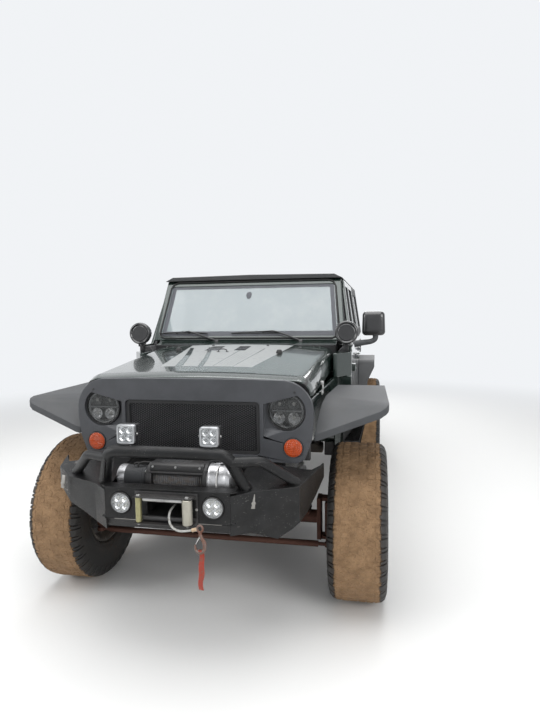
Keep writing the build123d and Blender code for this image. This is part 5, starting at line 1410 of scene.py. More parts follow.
@dataclass
class Wheel:
    """One tyre with its lugs, and the fittings of its rim."""

    name: str
    centre: tuple[float, float, float]
    out: tuple[float, float, float]
    caked: float = 1.0
    pitches: int = 40
    tread_radius: float = 438.8

    @property
    def body(self) -> str:
        """The moving body that carries the wheel."""
        return body_of(f"tyre_{self.name}")

    @property
    def frame(self) -> Matrix:
        """The frame at the wheel's centre, with its Z axis to the outer side."""
        return basis(self.centre, self.out)

    def carcass(self) -> Form:
        """The tyre without its lugs, with rings on its side walls and mud that fills the tread unevenly."""
        rings = []
        for point in smooth_path([(w, r, 0.0) for w, r in zip(TYRE_HALF[::2], TYRE_HALF[1::2])], 3):
            rings.append((point.x + (1.2 if 258 < point.y < 264 or 352 < point.y < 360 else 0.0), point.y))
        section = rings + [(-w, r) for w, r in reversed(rings[:-1])]
        form = Form().lathe([*(v for pair in section for v in pair), *TYRE_INSIDE], steps=144, ring=True)
        for vertex in form.mesh.verts:
            radius = math.hypot(vertex.co.x, vertex.co.y) / MM
            if radius > 430:
                vertex.co.xy *= 1.0 + min(2.2 * noise.noise(vertex.co * 34.0) - 0.4, 1.4) / radius
        return form

    def lugs(self) -> Form:
        """The lugs of one pitch of the tread, at the top of the tyre's +X side."""
        form = Form()
        pitch = math.tau / self.pitches
        step = pitch * self.tread_radius
        for sign in SIDES:
            for shape, turn, share in ((LONG_LUG, 0.25, 36 / 68.9), (SHORT_LUG, 0.75, 14 / 68.9)):
                wide = share * step
                spun = Matrix.Rotation(((turn if sign > 0 else turn + 0.5) % 1.0) * pitch, 4, "Z")
                at = spun @ basis((0.0, -wide / 2, 0.0), (0.0, 1.0, 0.0), (0.0, 0.0, float(sign)))
                # the outline's X runs along the axle and its Y out from it
                up = -1.0 if at.to_3x3().col[1].x < 0 else 1.0
                form.glinting_prism([(w, r * up) for w, r in zip(shape[::2], shape[1::2])], wide, at, 2.2, 1)
        for sign in SIDES:
            at = Matrix.Rotation(pitch / 2 if sign < 0 else 0.0, 4, "Z") @ basis((424, 0, 0), (1, 0, 0), (0, 1, 0))
            up = sign if at.to_3x3().col[1].z > 0 else -sign
            for number, block in enumerate(TREAD_BLOCKS):
                flat = [(along * step, w * up) for along, w in zip(block[::2], block[1::2])]
                form.glinting_prism(flat, self.tread_radius - 424 - 0.6 * number, at, 1.8, 1)
        return form

    def muddy(self, mesh: bpy.types.Mesh) -> None:
        """Writes how much mud each place of the tyre holds.

        Args:
            mesh: the tyre's mesh, at the origin.
        """
        values = []
        for vertex in mesh.vertices:
            radius, across = math.hypot(vertex.co.x, vertex.co.y) / MM, abs(vertex.co.z) / MM
            tread = held_in((126 - across) / 18) * held_in((radius - 415) / 12)
            wall = 0.20 + 0.12 * held_in((360 - radius) / 80)
            patch = noise.noise(vertex.co * 5.0 + Vector(self.centre) * MM) * 0.10
            values.append(min(1.2, (wall + (1.10 - wall) * tread + patch) * self.caked))
        mesh.attributes.new("mud", "FLOAT", "POINT").data.foreach_set("value", values)

    def build(self) -> None:
        """Makes the tyre and its rim's fittings."""
        for part, form, stands_for in (("carcass", self.carcass(), [f"tyre_{self.name}"]), ("tread", self.lugs(), [])):
            mesh = form.done(f"{self.name}_{part}")
            if part == "tread":
                model = stand("pitch", mesh)
                mesh = RING.run(model, {"Count": self.pitches, "Finish": TYRE_RUBBER.material()})
                bpy.data.objects.remove(model)
            self.muddy(mesh)
            mesh.transform(rescaled(self.frame, MM))
            settle(mesh, f"{self.name}_tyre_{part}", TYRE_RUBBER, stands_for, self.body, 34.0)
        self.fittings()

    def fittings(self) -> None:
        """The rim's lug nuts, centre cap, rings and valve."""
        at, name, rim = self.frame, self.name, {"slot": "rim", "body": self.body}
        out = Vector(self.out)
        nuts = [Spot(at @ polar(63.5, angle, 30.5), out) for angle in turns(5)]
        scattered(f"{name}_lug_nuts", bolt(10.5, 20), nuts, ZINC, **rim)
        studs = [Spot(at @ polar(214, angle, 123.5), out) for angle in turns(24)]
        scattered(f"{name}_ring_bolts", bolt(4.8, 4), studs, ZINC, **rim)
        cap = Form().lathe((40, 0, 40, 39, 56, 37, 61, 30, 63, 0), at, 40)
        cap.lathe((50, 41, 54, 41, 54, 44, 50, 44), at, 40, True).piece(f"{name}_centre_cap", BLACK, **rim)
        stem = at @ Vector((196, 0, 100))
        tip = stem + out * 18 - (stem - Vector(self.centre)).normalized() * 4
        Form().pipe([stem, tip], 4.2, 12).piece(f"{name}_valve", SEAL, **rim)


WHEELS = (
    Wheel("front_left", (WHEEL_X, FRONT_Y, AXLE_Z), (1.0, 0.0, 0.0)),
    Wheel("front_right", (-WHEEL_X, FRONT_Y, AXLE_Z), (-1.0, 0.0, 0.0)),
    Wheel("rear_left", (WHEEL_X, REAR_Y, AXLE_Z), (1.0, 0.0, 0.0), 0.95),
    Wheel("rear_right", (-WHEEL_X, REAR_Y, AXLE_Z), (-1.0, 0.0, 0.0), 0.95),
    Wheel("spare", (20.0, 2314.0, 1150.0), (0.0, 1.0, 0.0), 0.30),
)


# Front end


@dataclass
class Grille:
    """The perforated sheet, headlamps and turn signals in the grille shell."""

    half: float = 364.0
    low: float = 919.0
    high: float = 1191.0
    pitch: float = 12.0
    sheet_y: float = -2008.0
    lamp_x: float = 500.0
    lamp_z: float = 1147.0
    signal_x: float = 535.0
    signal_z: float = 964.0
    back_y: float = -1991.0

    def build(self) -> None:
        """Makes every piece of the grille."""
        self.sheet()
        for hand in Hand:
            self.headlamp(hand)
            self.signal(hand)
        spots = [Spot((x, -2023.2, 1246), (0.0, -1.0, 0.12), 0.0003 * x) for x in (-545, 545)]
        pin = Form().lathe((0, 6.5, 1.8, 5.8, 2.6, 3), steps=20)
        scattered("grille_push_pins", pin, spots, BLACK, "grille")

    def sheet(self) -> None:
        """The sheet of staggered hexagonal holes, its edge strip and the fins behind it."""
        outer, inner = circle(self.pitch / math.sqrt(3.0), 6), circle(self.pitch * 0.41, 6)
        tile = Form().skin(stacked((outer, 0), (outer, 1.6), (inner, 1.6), (inner, 0)), loop=True)
        spots = []
        column_step = self.pitch * math.sqrt(3.0) / 2
        for column in range(-round(self.half / column_step) + 1, round(self.half / column_step)):
            shift = self.pitch / 2 if column % 2 else 0.0
            for row in range(int((self.high - self.low) / self.pitch) - 1):
                height = self.low + self.pitch * (row + 0.9) + shift
                if height < self.high - self.pitch * 0.5:
                    spots.append(Spot((column * column_step, self.sheet_y, height)))
        scattered("grille_sheet", tile, spots, SHEET, "mesh")
        tall = (self.high - self.low) / 2
        big, small = rounded(self.half, tall, 24), rounded(self.half - 18, tall - 18, 12)
        at = basis((0, self.sheet_y, self.low + tall), AHEAD)
        edge = Form().skin(stacked((big, -2), (big, 4), (small, 3), (small, -2)), at, loop=True)
        edge.piece("grille_edge_strip", BLACK, "mesh", ["grille_mesh"])
        core = Form().box(-340, -1996, 936, 340, -1991.5, 1172)
        for z in (940.5 + 8.8 * number for number in range(26)):
            core.box(-338, -2001.5, z, 338, -1995, z + 4.2)
        core.piece("radiator_core", CORE, "mesh")

    def headlamp(self, hand: Hand) -> None:
        """One round lamp: bowl, cross, reflectors, projector lenses, ring and smoked dome.

        Args:
            hand: its side.
        """
        name = hand.named("headlamp")
        at = basis((hand.value * self.lamp_x, self.back_y, self.lamp_z), AHEAD)
        bowl = Form().lathe((0.5, 91.5, 15, 91.5, 15, 88, 5, 80, 4, 0), at)
        bowl.piece(f"{name}_bowl", BLACK, "lamp", hand.first("headlamps"))
        cross = Form().slab(86, 3, 4, 13.5, 1, at).lathe((4, 77, 13.5, 79, 13.5, 86, 4, 87), at, ring=True)
        cross.piece(f"{name}_bridge", BRIGHT, "lamp")
        eyes = Form()
        for row, label, finish in ((1, "upper", DARK_CHROME), (-1, "lower", CHROME)):
            dishes = Form()
            for x in SIDES:
                spot = shifted(at, x * 37, row * 36, 4.2)
                dishes.lathe((0, 30, 8.5, 30, 8.5, 28, 3.5, 18.6, 1.2, 9), spot, 24).slab(27, 1.2, 1, 6.5, 0, spot)
                eyes.ball((x * 37, row * 36, 6.5), 10, 0.55, at)
            dishes.piece(f"{name}_{label}_dishes", finish, "lamp")
        eyes.piece(f"{name}_eyes", WARM_WHITE, "lamp")
        ring = Form().lathe((0, 91.8, 17.5, 91.8, 21.5, 93.5, 21.5, 96.5, 18, 98.2, 0, 98.2), at, 56, True)
        ring.piece(f"{name}_ring", BLACK, "lamp")
        dome = Form().lathe((22.5, 0, 21.8, 45, 19.5, 75, 15.5, 91.2, 17.5, 91.2, 21.5, 75, 23.8, 45, 24.5, 0), at)
        dome.piece(f"{name}_dome", SMOKED, "lamp")

    def signal(self, hand: Hand) -> None:
        """One turn signal: a stepped amber dome and a black ring.

        Args:
            hand: its side.
        """
        at = basis((hand.value * self.signal_x, self.back_y, self.signal_z), AHEAD)
        profile = [20, 46.2, 34.5, 46.2, 36.8, 42]
        for radius in (4.2 * step for step in range(9, 0, -1)):
            top = 39.5 - 3.0 * (radius / 46) ** 2
            profile += [top - 0.9, radius, top, radius - 1.4]
        lens = Form().lathe((*profile, 39.8, 0), at)
        lens.piece(hand.named("signal_lens"), AMBER, "amber", hand.first("turn_signals"))
        ring = Form().lathe((0, 46.4, 35, 46.4, 36.5, 48, 35, 50, 32, 50.6, 0, 50.6), at, ring=True)
        ring.piece(hand.named("signal_ring"), BLACK, "amber")


@dataclass
class Lamps:
    """The square lamps on the hoop, the fog lamps in the bumper and the covered lamps by the windshield."""

    cube: tuple[float, float, float] = (202.0, -2283.0, 1088.0)
    fog: tuple[float, float, float] = (223.0, -2343.0, 772.0)
    pod: tuple[float, float, float] = (750.0, -901.0, 1497.0)

    def build(self) -> None:
        """Makes the three pairs."""
        pairs = ((self.cube, self.square_lamp), (self.fog, self.fog_lamp), (self.pod, self.covered_lamp))
        for hand in Hand:
            for (x, y, z), make in pairs:
                make(hand, basis((hand.value * x, y, z), AHEAD))

    def optics(self, name: str, at: Matrix, spacing: float, radius: float, base: float) -> None:
        """Four bright dishes with their chips.

        Args:
            name: the lamp's name.
            at: its frame.
            spacing: half the dishes' distance.
            radius: a dish's radius.
            base: the height of their backs.
        """
        dishes, chips = Form(), Form()
        for x in SIDES:
            for y in SIDES:
                spot = shifted(at, x * spacing, y * spacing, base)
                dishes.lathe((0, radius, 11, radius, 11, radius - 1.2, 4.5, radius * 0.6, 1.5, radius * 0.3), spot, 24)
                chips.slab(2.8, 2.8, 1.2, 3.8, 0.6, spot)
        dishes.piece(f"{name}_dishes", CHROME, "lamp")
        chips.piece(f"{name}_chips", LED, "lamp")

    def square_lamp(self, hand: Hand, at: Matrix) -> None:
        """One square lamp on its foot.

        Args:
            hand: its side.
            at: its frame.
        """
        name = hand.named("cube")
        x = at.translation.x
        case = Form().slab(43.5, 43.5, 20, 58, 7, at, 3)
        for y in (-38.5 + 11 * number for number in range(8)):
            case.box(-41, y - 1.6, 0.5, 41, y + 1.6, 22, 0.7, at, 1)
        case.piece(f"{name}_case", BLACK, "lamp", hand.first("driving_lamps"))
        big, middle, small = rounded(45.5, 45.5, 13), rounded(43, 43, 12), rounded(36, 36, 8)
        rim = Form().skin(stacked((big, 50), (big, 66.5), (middle, 71.5), (small, 70), (small, 50)), at, loop=True)
        for spot in (shifted(at, sx * 38.5, sy * 38.5) for sx in SIDES for sy in SIDES):
            rim.lathe((70, 3.2, 72.2, 2.8), spot, 12)
        rim.piece(f"{name}_bezel", BRIGHT, "lamp")
        plate = Form().slab(36.2, 36.2, 50, 54.5, 0, at).slab(1.2, 35.5, 54, 64, 0, at).slab(35.5, 1.2, 54, 64, 0, at)
        plate.piece(f"{name}_plate", DARK_CHROME, "lamp")
        self.optics(name, at, 17.8, 16.4, 53.5)
        Form().slab(35.9, 35.9, 66.2, 68, 0.8, at, 1).piece(f"{name}_glass", CLEAR, "lamp")
        foot = Form().box(x - 20, -2365, 1039.2, x + 20, -2333, 1044.5, 1.5)
        for wall in (x + 47, x - 47):
            foot.box(wall - 1.8, -2346, 1040, wall + 1.8, -2322, 1098, 1)
        foot.box(x - 48.5, -2346, 1038.5, x + 48.5, -2322, 1042, 1).piece(f"{name}_foot", BLACK, "lamp")
        screws = [Spot((x + sign * 48.6, -2334, 1088), (sign, 0, 0)) for sign in SIDES]
        scattered(f"{name}_screws", bolt(5.5, 5), screws, ZINC, "lamp")
        wire = [(x, -2285, 1062), (x + 6, -2272, 1048), (x + 12, -2283, 1036), (x + 10, -2310, 1022)]
        Form().pipe(smooth_path(wire, 5), 2.8, 10).piece(f"{name}_wire", SEAL, "lamp")

    def fog_lamp(self, hand: Hand, at: Matrix) -> None:
        """One round fog lamp in the bumper's face.

        Args:
            hand: its side.
            at: its frame.
        """
        name = hand.named("fog")
        case = Form().lathe((0, 44, 30, 51.2, 43.5, 51.2, 45.5, 49.5, 45.5, 46.2, 38, 45, 30, 44, 28.5, 0), at, 40)
        case.piece(f"{name}_case", BLACK, "lamp")
        rim = Form().lathe((29, 45.2, 40, 45.6, 44.8, 46.6, 45.2, 44, 40.5, 42.5, 29, 42.5), at, 40, True)
        rim.piece(f"{name}_rim", BRIGHT, "lamp")
        self.optics(name, at, 17, 16, 28.8)
        fill = Form().lathe((28.4, 43, 32.5, 42.8), at, 40)
        for px, py in ((30, 0), (0, 30), (-30, 0), (0, -30)):
            fill.ball((px, py, 33.5), 6.5, 0.5, at)
        fill.piece(f"{name}_reflector", FOG_BOWL, "lamp")
        Form().lathe((40.5, 0, 40, 43.5, 41.2, 43.8, 43.2, 30, 44, 0), at, 40).piece(f"{name}_glass", CLEAR, "lamp")

    def covered_lamp(self, hand: Hand, at: Matrix) -> None:
        """One covered round lamp on its arm by the windshield.

        Args:
            hand: its side.
            at: its frame.
        """
        name = hand.named("pod")
        x = at.translation.x
        case = Form().lathe((0, 40, 12, 52, 50, 72.5, 56.5, 77, 60, 77), at, 56)
        case.piece(f"{name}_case", BLACK, "lamp")
        dome = (
            58.5, 78.5, 64, 79.7, 80, 79.7, 88, 78, 92.5, 73.5, 93.5, 69, 91.5, 65, 88, 62.5, 86.8, 59, 89, 55.5,
            90.2, 52, 89.3, 48.5, 90.3, 30, 90.8, 0,
        )
        cover = Form().lathe(dome, at, 64)
        cover.piece(f"{name}_cover", POD_COVER, "lamp")
        fins = [Spot(at @ polar(56, a, 26), at.to_3x3() @ polar(1, a, -0.35)) for a in turns(18)]
        fin = Form().box(-1.4, -22, -6, 1.4, 22, 8.5, 0.6, steps=1)
        scattered(f"{name}_fins", fin, fins, BLACK, "lamp")
        arm = Form().box(x - 16, -958, 1366, x + 16, -943, 1412, 3)
        for wall in (x + 22, x - 22):
            arm.box(wall - 3, -960, 1402, wall + 3, -936, 1424, 1.5)
        arm.box(x - 25, -962, 1400, x + 25, -934, 1408, 2).box(x - 10, -956, 1404, x + 10, -938, 1420, 3)
        arm.piece(f"{name}_arm", BLACK, "lamp")
        screws = [Spot((x + sign * 25, -948, 1414), (sign, 0, 0)) for sign in SIDES]
        scattered(f"{name}_screws", bolt(6.5, 6), screws, ZINC, "lamp")


@dataclass
class Recovery:
    """The winch in the bumper's well, its fairlead, the rope, the hook and its pull strap. The rope is in metres."""

    axis_y: float = -2223.0
    axis_z: float = 850.0
    hook_x: float = 187.0
    hook_y: float = -2460.0
    route: tuple[tuple[float, float, float], ...] = (
        (0.030, -2.343, 0.764), (0.030, -2.391, 0.763), (0.031, -2.427, 0.750), (0.038, -2.445, 0.722),
        (0.055, -2.455, 0.700), (0.084, -2.460, 0.689), (0.118, -2.461, 0.690), (0.150, -2.460, 0.697),
    )
    rope_radius: float = 0.005
    rope_length: float = 0.24

    def build(self) -> None:
        """Makes every piece of the recovery gear, and the rope once its hook stands."""
        self.motor()
        self.drum()
        self.gears()
        self.cover()
        self.fairlead()
        self.rope(self.hook())

    @property
    def axle(self) -> Matrix:
        """The winch's axis, whose Z runs to the vehicle's left."""
        return basis((0.0, self.axis_y, self.axis_z), LEFT, AHEAD)

    def rope(self, carried: list[bpy.types.Object]) -> None:
        """The braided rope from the drum round the fairlead's rollers to the hook.

        Args:
            carried: what hangs on the rope; it is not used.
        """
        curve = bpy.data.curves.new("route", "CURVE")
        curve.dimensions, curve.resolution_u = "3D", 16
        spline = curve.splines.new("NURBS")
        spline.points.add(len(self.route) - 1)
        for point, place in zip(spline.points, self.route):
            point.co = (*place, 1.0)
        spline.order_u, spline.use_endpoint_u = 3, True
        guide = stand("route", curve)
        bpy.context.view_layer.update()
        mesh = bpy.data.meshes.new_from_object(guide.evaluated_get(bpy.context.evaluated_depsgraph_get()))
        path = [vertex.co.copy() for vertex in mesh.vertices]
        bpy.data.objects.remove(guide)
        form = Form(1.0).pipe(path, self.rope_radius * 0.86, 12)
        runs = [0.0]
        for before, after in zip(path, path[1:]):
            runs.append(runs[-1] + (after - before).length)
        side = (path[1] - path[0]).orthogonal().normalized()
        frames = []
        for index, point in enumerate(path):
            ahead = (path[min(index + 1, len(path) - 1)] - path[max(index - 1, 0)]).normalized()
            side = (side - ahead * side.dot(ahead)).normalized()
            frames.append((point, side.copy(), ahead.cross(side)))
        for hand in SIDES:
            for strand in range(6):
                line = []
                for run, (point, across, other) in zip(runs, frames):
                    angle = hand * (run / 0.030 * math.tau) + strand * math.tau / 6
                    over = self.rope_radius * (0.80 + 0.06 * math.sin(angle * 3.0 * hand))
                    line.append(point + across * (over * math.cos(angle)) + other * (over * math.sin(angle)))
                form.pipe(line, self.rope_radius * 0.20, 5)
        rope = form.piece("winch_rope_braid", ROPE, "rope", ["winch_rope"])

    def motor(self) -> None:
        """The motor's can with its end cap, ribs and cable posts."""
        at = self.axle
        can = Form().lathe((-262, 53.5, -150, 53.5, -141, 56), at)
        for z in (-176, -158):
            can.lathe((z, 53, z, 55.2, z + 6, 55.2, z + 6, 53), at, ring=True)
        can.piece("winch_motor_can", GRAINED, "winch", ["winch"])
        ends = Form().lathe((-300, 46, -296, 52, -288, 54.8, -258, 54.8), at)
        for turn in turns(26):
            ends.box(-1.6, -55.6, -290, 1.6, -53, -262, 0, at @ Matrix.Rotation(turn, 4, "Z"))
        ends.piece("winch_motor_cap", CAST, "winch")
        post = Form()
        for turn, along in ((0.9, -250), (1.25, -225)):
            out = at.to_3x3() @ polar(1, turn)
            foot = at @ polar(55.5, turn, along) - out * 2
            post.lathe((0, 7.5, 6, 7.5, 6, 4.5, 18, 4.5), basis(foot, out), 12)
        post.piece("winch_motor_posts", YELLOW_ZINC, "winch")
        bolts = [Spot(at @ polar(38, turn + math.pi / 4, -299.5), -LEFT) for turn in turns(4)]
        scattered("winch_motor_screws", bolt(4.2, 4), bolts, ZINC, "winch")

    def drum(self) -> None:
        """The two stands, the wound rope on the drum and the tie bars."""
        at, y = self.axle, self.axis_y
        stands = Form()
        for start, end, radius in ((-140, -110, 75.5), (146, 168, 85.5)):
            stands.lathe((start, radius - 4, start + 4, radius, end - 4, radius, end, radius - 4), at, 64)
            stands.box(start + 4, y - 70, 704.5, end - 4, y + 70, 800, 2)
        stands.piece("winch_stands", BLACK, "winch")
        wind, rounds, parts = [], 24, 24
        for step in range(rounds * parts + 1):
            radius = 44.5 + 1.2 * math.sin(step * 0.031) + 0.7 * math.sin(step * 0.173)
            wind.append(at @ polar(radius, math.tau * step / parts, -105 + 246 * step / (rounds * parts)))
        wound = Form().pipe(wind, 5.4, 7).lathe((-111, 42.5, 147, 42.5), at, 40)
        wound.piece("winch_rope_turns", DRUM_ROPE, "winch")
        bars = Form()
        for bar_y in (y - 58, y + 58):
            bars.pipe([(-125, bar_y, 890), (157, bar_y, 890)], 7.5, 16)
        bars.piece("winch_tie_bars", BLACK, "winch")
        ends = [Spot((-139.8, y + shift, 890), (-1.0, 0.0, 0.0)) for shift in (-50, 50)]
        scattered("winch_bar_bolts", bolt(7.5, 6), ends, ZINC, "winch")

    def gears(self) -> None:
        """The gear housing with its flange, ribs, plain plate and clutch lever."""
        at, y, z = self.axle, self.axis_y, self.axis_z
        case = Form().lathe(
            (167, 78, 176, 79, 180, 76.5, 252, 76.5, 256, 79, 268, 79.5, 276, 77, 281, 68, 283.8, 48), at, 64
        )
        case.piece("winch_gear_case", CAST, "winch")
        plate = Form()
        for turn in (-0.96 + 0.062 * step for step in range(16)):
            spot = at @ polar(76.8, turn, 216)
            plate.box(-2.6, -24, -2, 2.6, 24, 2.2, 0, basis(spot, spot - Vector((spot.x, y, z)), LEFT))
        plate.piece("winch_plain_plate", LABEL, "winch")
        rib = Form().slab(1.6, 28, 0, 3.5, 0.8, steps=1)
        spots = []
        for turn in turns(24):
            out = at.to_3x3() @ polar(1, turn)
            # the rib's Y runs along the winch's axis
            wanted = basis((0, 0, 0), out, LEFT.cross(out))
            roll = (basis((0, 0, 0), out).inverted() @ wanted).to_euler().z
            if not -1.15 < (turn + math.pi) % math.tau - math.pi < 0.15:
                spots.append(Spot(at @ polar(75.8, turn, 216), out, roll))
        scattered("winch_gear_ribs", rib, spots, CAST, "winch")
        heads = [Spot(at @ polar(62, turn, 281.5), LEFT) for turn in turns(8)]
        scattered("winch_gear_screws", bolt(3.8, 2.2), heads, BLACK, "winch")
        lever = Form().pipe([(235, y - 10, z + 70), (235, y - 12, z + 80.5)], 7)
        lever.box(218, y - 20, 928, 252, y - 6, 932.5, 2).piece("winch_clutch_lever", BLACK, "winch")

    def cover(self) -> None:
        """The plain cover over the drum with its front sheet, screws and the motor's cables."""
        y = self.axis_y
        outline = ((-59.5, -11.5), (-59.5, 8), (-52, 20), (-38, 27.5), (38, 27.5), (51.5, 12), (51.5, 0), (-50, 0))
        at = basis((-119.5, y, 906.2), LEFT, (0.0, 1.0, 0.0))
        up = 1.0 if at.to_3x3().col[1].z > 0 else -1.0
        Form().glinting_prism([(px, py * up) for px, py in outline], 269, at, 3).piece("winch_cover", BLACK, "winch")
        fins = Form()
        for x in (-70 + 22 * number for number in range(7)):
            fins.box(x, y - 30, 932.8, x + 12, y + 30, 934.5, 0.8)
        fins.piece("winch_cover_fins", GRAINED, "winch")
        screws = [Spot((x, y - 57.5, 919), (0.0, -0.90, 0.40)) for x in (-105, 10, 130)]
        scattered("winch_cover_screws", bolt(4.2, 3), screws, ZINC, "winch")
        cables = Form()
        for x, drop in ((-198, 0), (-218, 6)):
            route = ((x, y - 22, 903 + drop), (x + 8, y - 16, 918), (x + 34, y - 8, 924 - drop), (x + 84, y - 4, 918))
            cables.pipe(smooth_path(route, 5), 4.8, 10)
        cables.piece("winch_cables", SEAL, "winch")

    def fairlead(self) -> None:
        """The fairlead's plate round its opening, rollers and pins."""
        plate = Form().box(-150, -2389, 690, 154, -2383.2, 720.5, 2).box(-150, -2389, 806.5, 154, -2383.2, 835, 2)
        plate.box(-150, -2389, 720.5, -134.5, -2383.2, 806.5, 1).box(143, -2389, 720.5, 154, -2383.2, 806.5, 1)
        for low, high in ((698.5, 703), (821.5, 826)):
            plate.box(-136, -2440, low, 143, -2384, high, 1.5)
        plate.piece("fairlead_plate", BLACK, "steel", ["fairlead"])
        thin = Form().lathe((704.5, 12, 706.5, 14, 818.5, 14, 820.5, 12), shifted(HERE, -116, -2423), 28)
        thin.piece("fairlead_thin_roller", YELLOW_ZINC, "steel")
        thick = Form().lathe((704.5, 20, 707.5, 23, 817.5, 23, 820.5, 20), shifted(HERE, 116, -2423), 32)
        thick.piece("fairlead_thick_roller", DIRTY_ZINC, "steel")
        for name, z, finish in (("lower", 717.5, BLACK), ("upper", 807.5, ZINC)):
            level = Form().pipe([(-98, -2407, z), (89, -2407, z)], 12.8, 24)
            level.piece(f"fairlead_{name}_roller", finish, "steel")
        heads = [Spot((x, -2423, z), (0, 0, up), 0.3) for x in (-116, 116) for z, up in ((825.8, 1), (698.8, -1))]
        scattered("fairlead_pins", bolt(8.5, 6.5), heads, ZINC, "steel")
        mounts = [Spot((x, -2388.8, 762), roll=0.4) for x in (-142.2, 148.5)]
        scattered("fairlead_bolts", bolt(4.8, 5), mounts, ZINC, "steel")

    def hanging(self, *places: tuple[float, float]) -> list[tuple[float, float, float]]:
        """Places in the plane in which the hook hangs, from their X and Z."""
        return [(x, self.hook_y, z) for x, z in places]

    def hook(self) -> list[bpy.types.Object]:
        """The sleeve, clevis, rusty hook with its latch, and the red strap, which hang on the rope."""
        middle_x, y = self.hook_x, self.hook_y
        path = smooth_path(self.hanging((150, 697), (160, 700), (172, 704)), 4)
        sleeve = Form().pipe(path, lambda share: 8.8 - 1.5 * share, 16)
        hung = [sleeve.piece("rope_sleeve", SLEEVE, "rusty_steel", ["tow_hook"])]
        eye = self.hanging(*((186 + 12.5 * math.cos(a), 706 + 15 * math.sin(a)) for a in turns(20, 21)))
        iron = Form().pipe(eye, 4.8, 12)
        shank = self.hanging(
            (187, 694), (187, 680), (194, 662), (204, 644), (206, 622), (198, 604), (184, 597), (170, 603), (163, 618),
            (162, 632),
        )
        iron.pipe(
            smooth_path(shank, 5),
            lambda share: 6.2 + 2.5 * math.sin(math.pi * min(1.0, share * 1.1)) - 20.0 * max(0.0, share - 0.85), 14,
        )
        iron.lathe((-8.6, 5.2, 8.6, 5.2), basis((middle_x, y, 690), AHEAD), 14)
        hung.append(iron.piece("hook_iron", HOOK_RUST, "rusty_steel"))
        latch = Form().pipe(self.hanging((188.5, 676), (176, 655), (165.5, 636)), lambda share: 3.6 - share, 8)
        hung.append(latch.piece("hook_latch", ZINC, "rusty_steel"))
        rows = []
        for share in (step / 24 for step in range(25)):
            twist = 0.35 * math.sin(share * 4.0 + 0.5)
            aside, back = 4 * math.sin(share * 5.0) + 2 * math.sin(share * 13.0), 3 * math.sin(share * 7.0 + 1.0)
            middle = Vector((middle_x + aside, y + back, 606 - 182 * share))
            side = polar(11.8 - math.sin(share * 9.0), twist * 0.6)
            out = polar(1.6, twist + math.pi / 2)
            rows.append([middle - side - out, middle + side - out, middle + side + out, middle - side + out])
        strap = Form().skin(rows).box(176.5, -2464.5, 520, 197.5, -2455.5, 548, 1.5)
        strap.piece("hook_pull_strap", STRAP, "rusty_steel")
        ring = [(middle_x + 11 * math.cos(a), y + 6.2 * math.sin(a), 607) for a in turns(14, 15)]
        hung.append(Form().pipe(ring, 2.6, 8).piece("hook_strap_loop", STRAP, "rusty_steel"))
        return hung


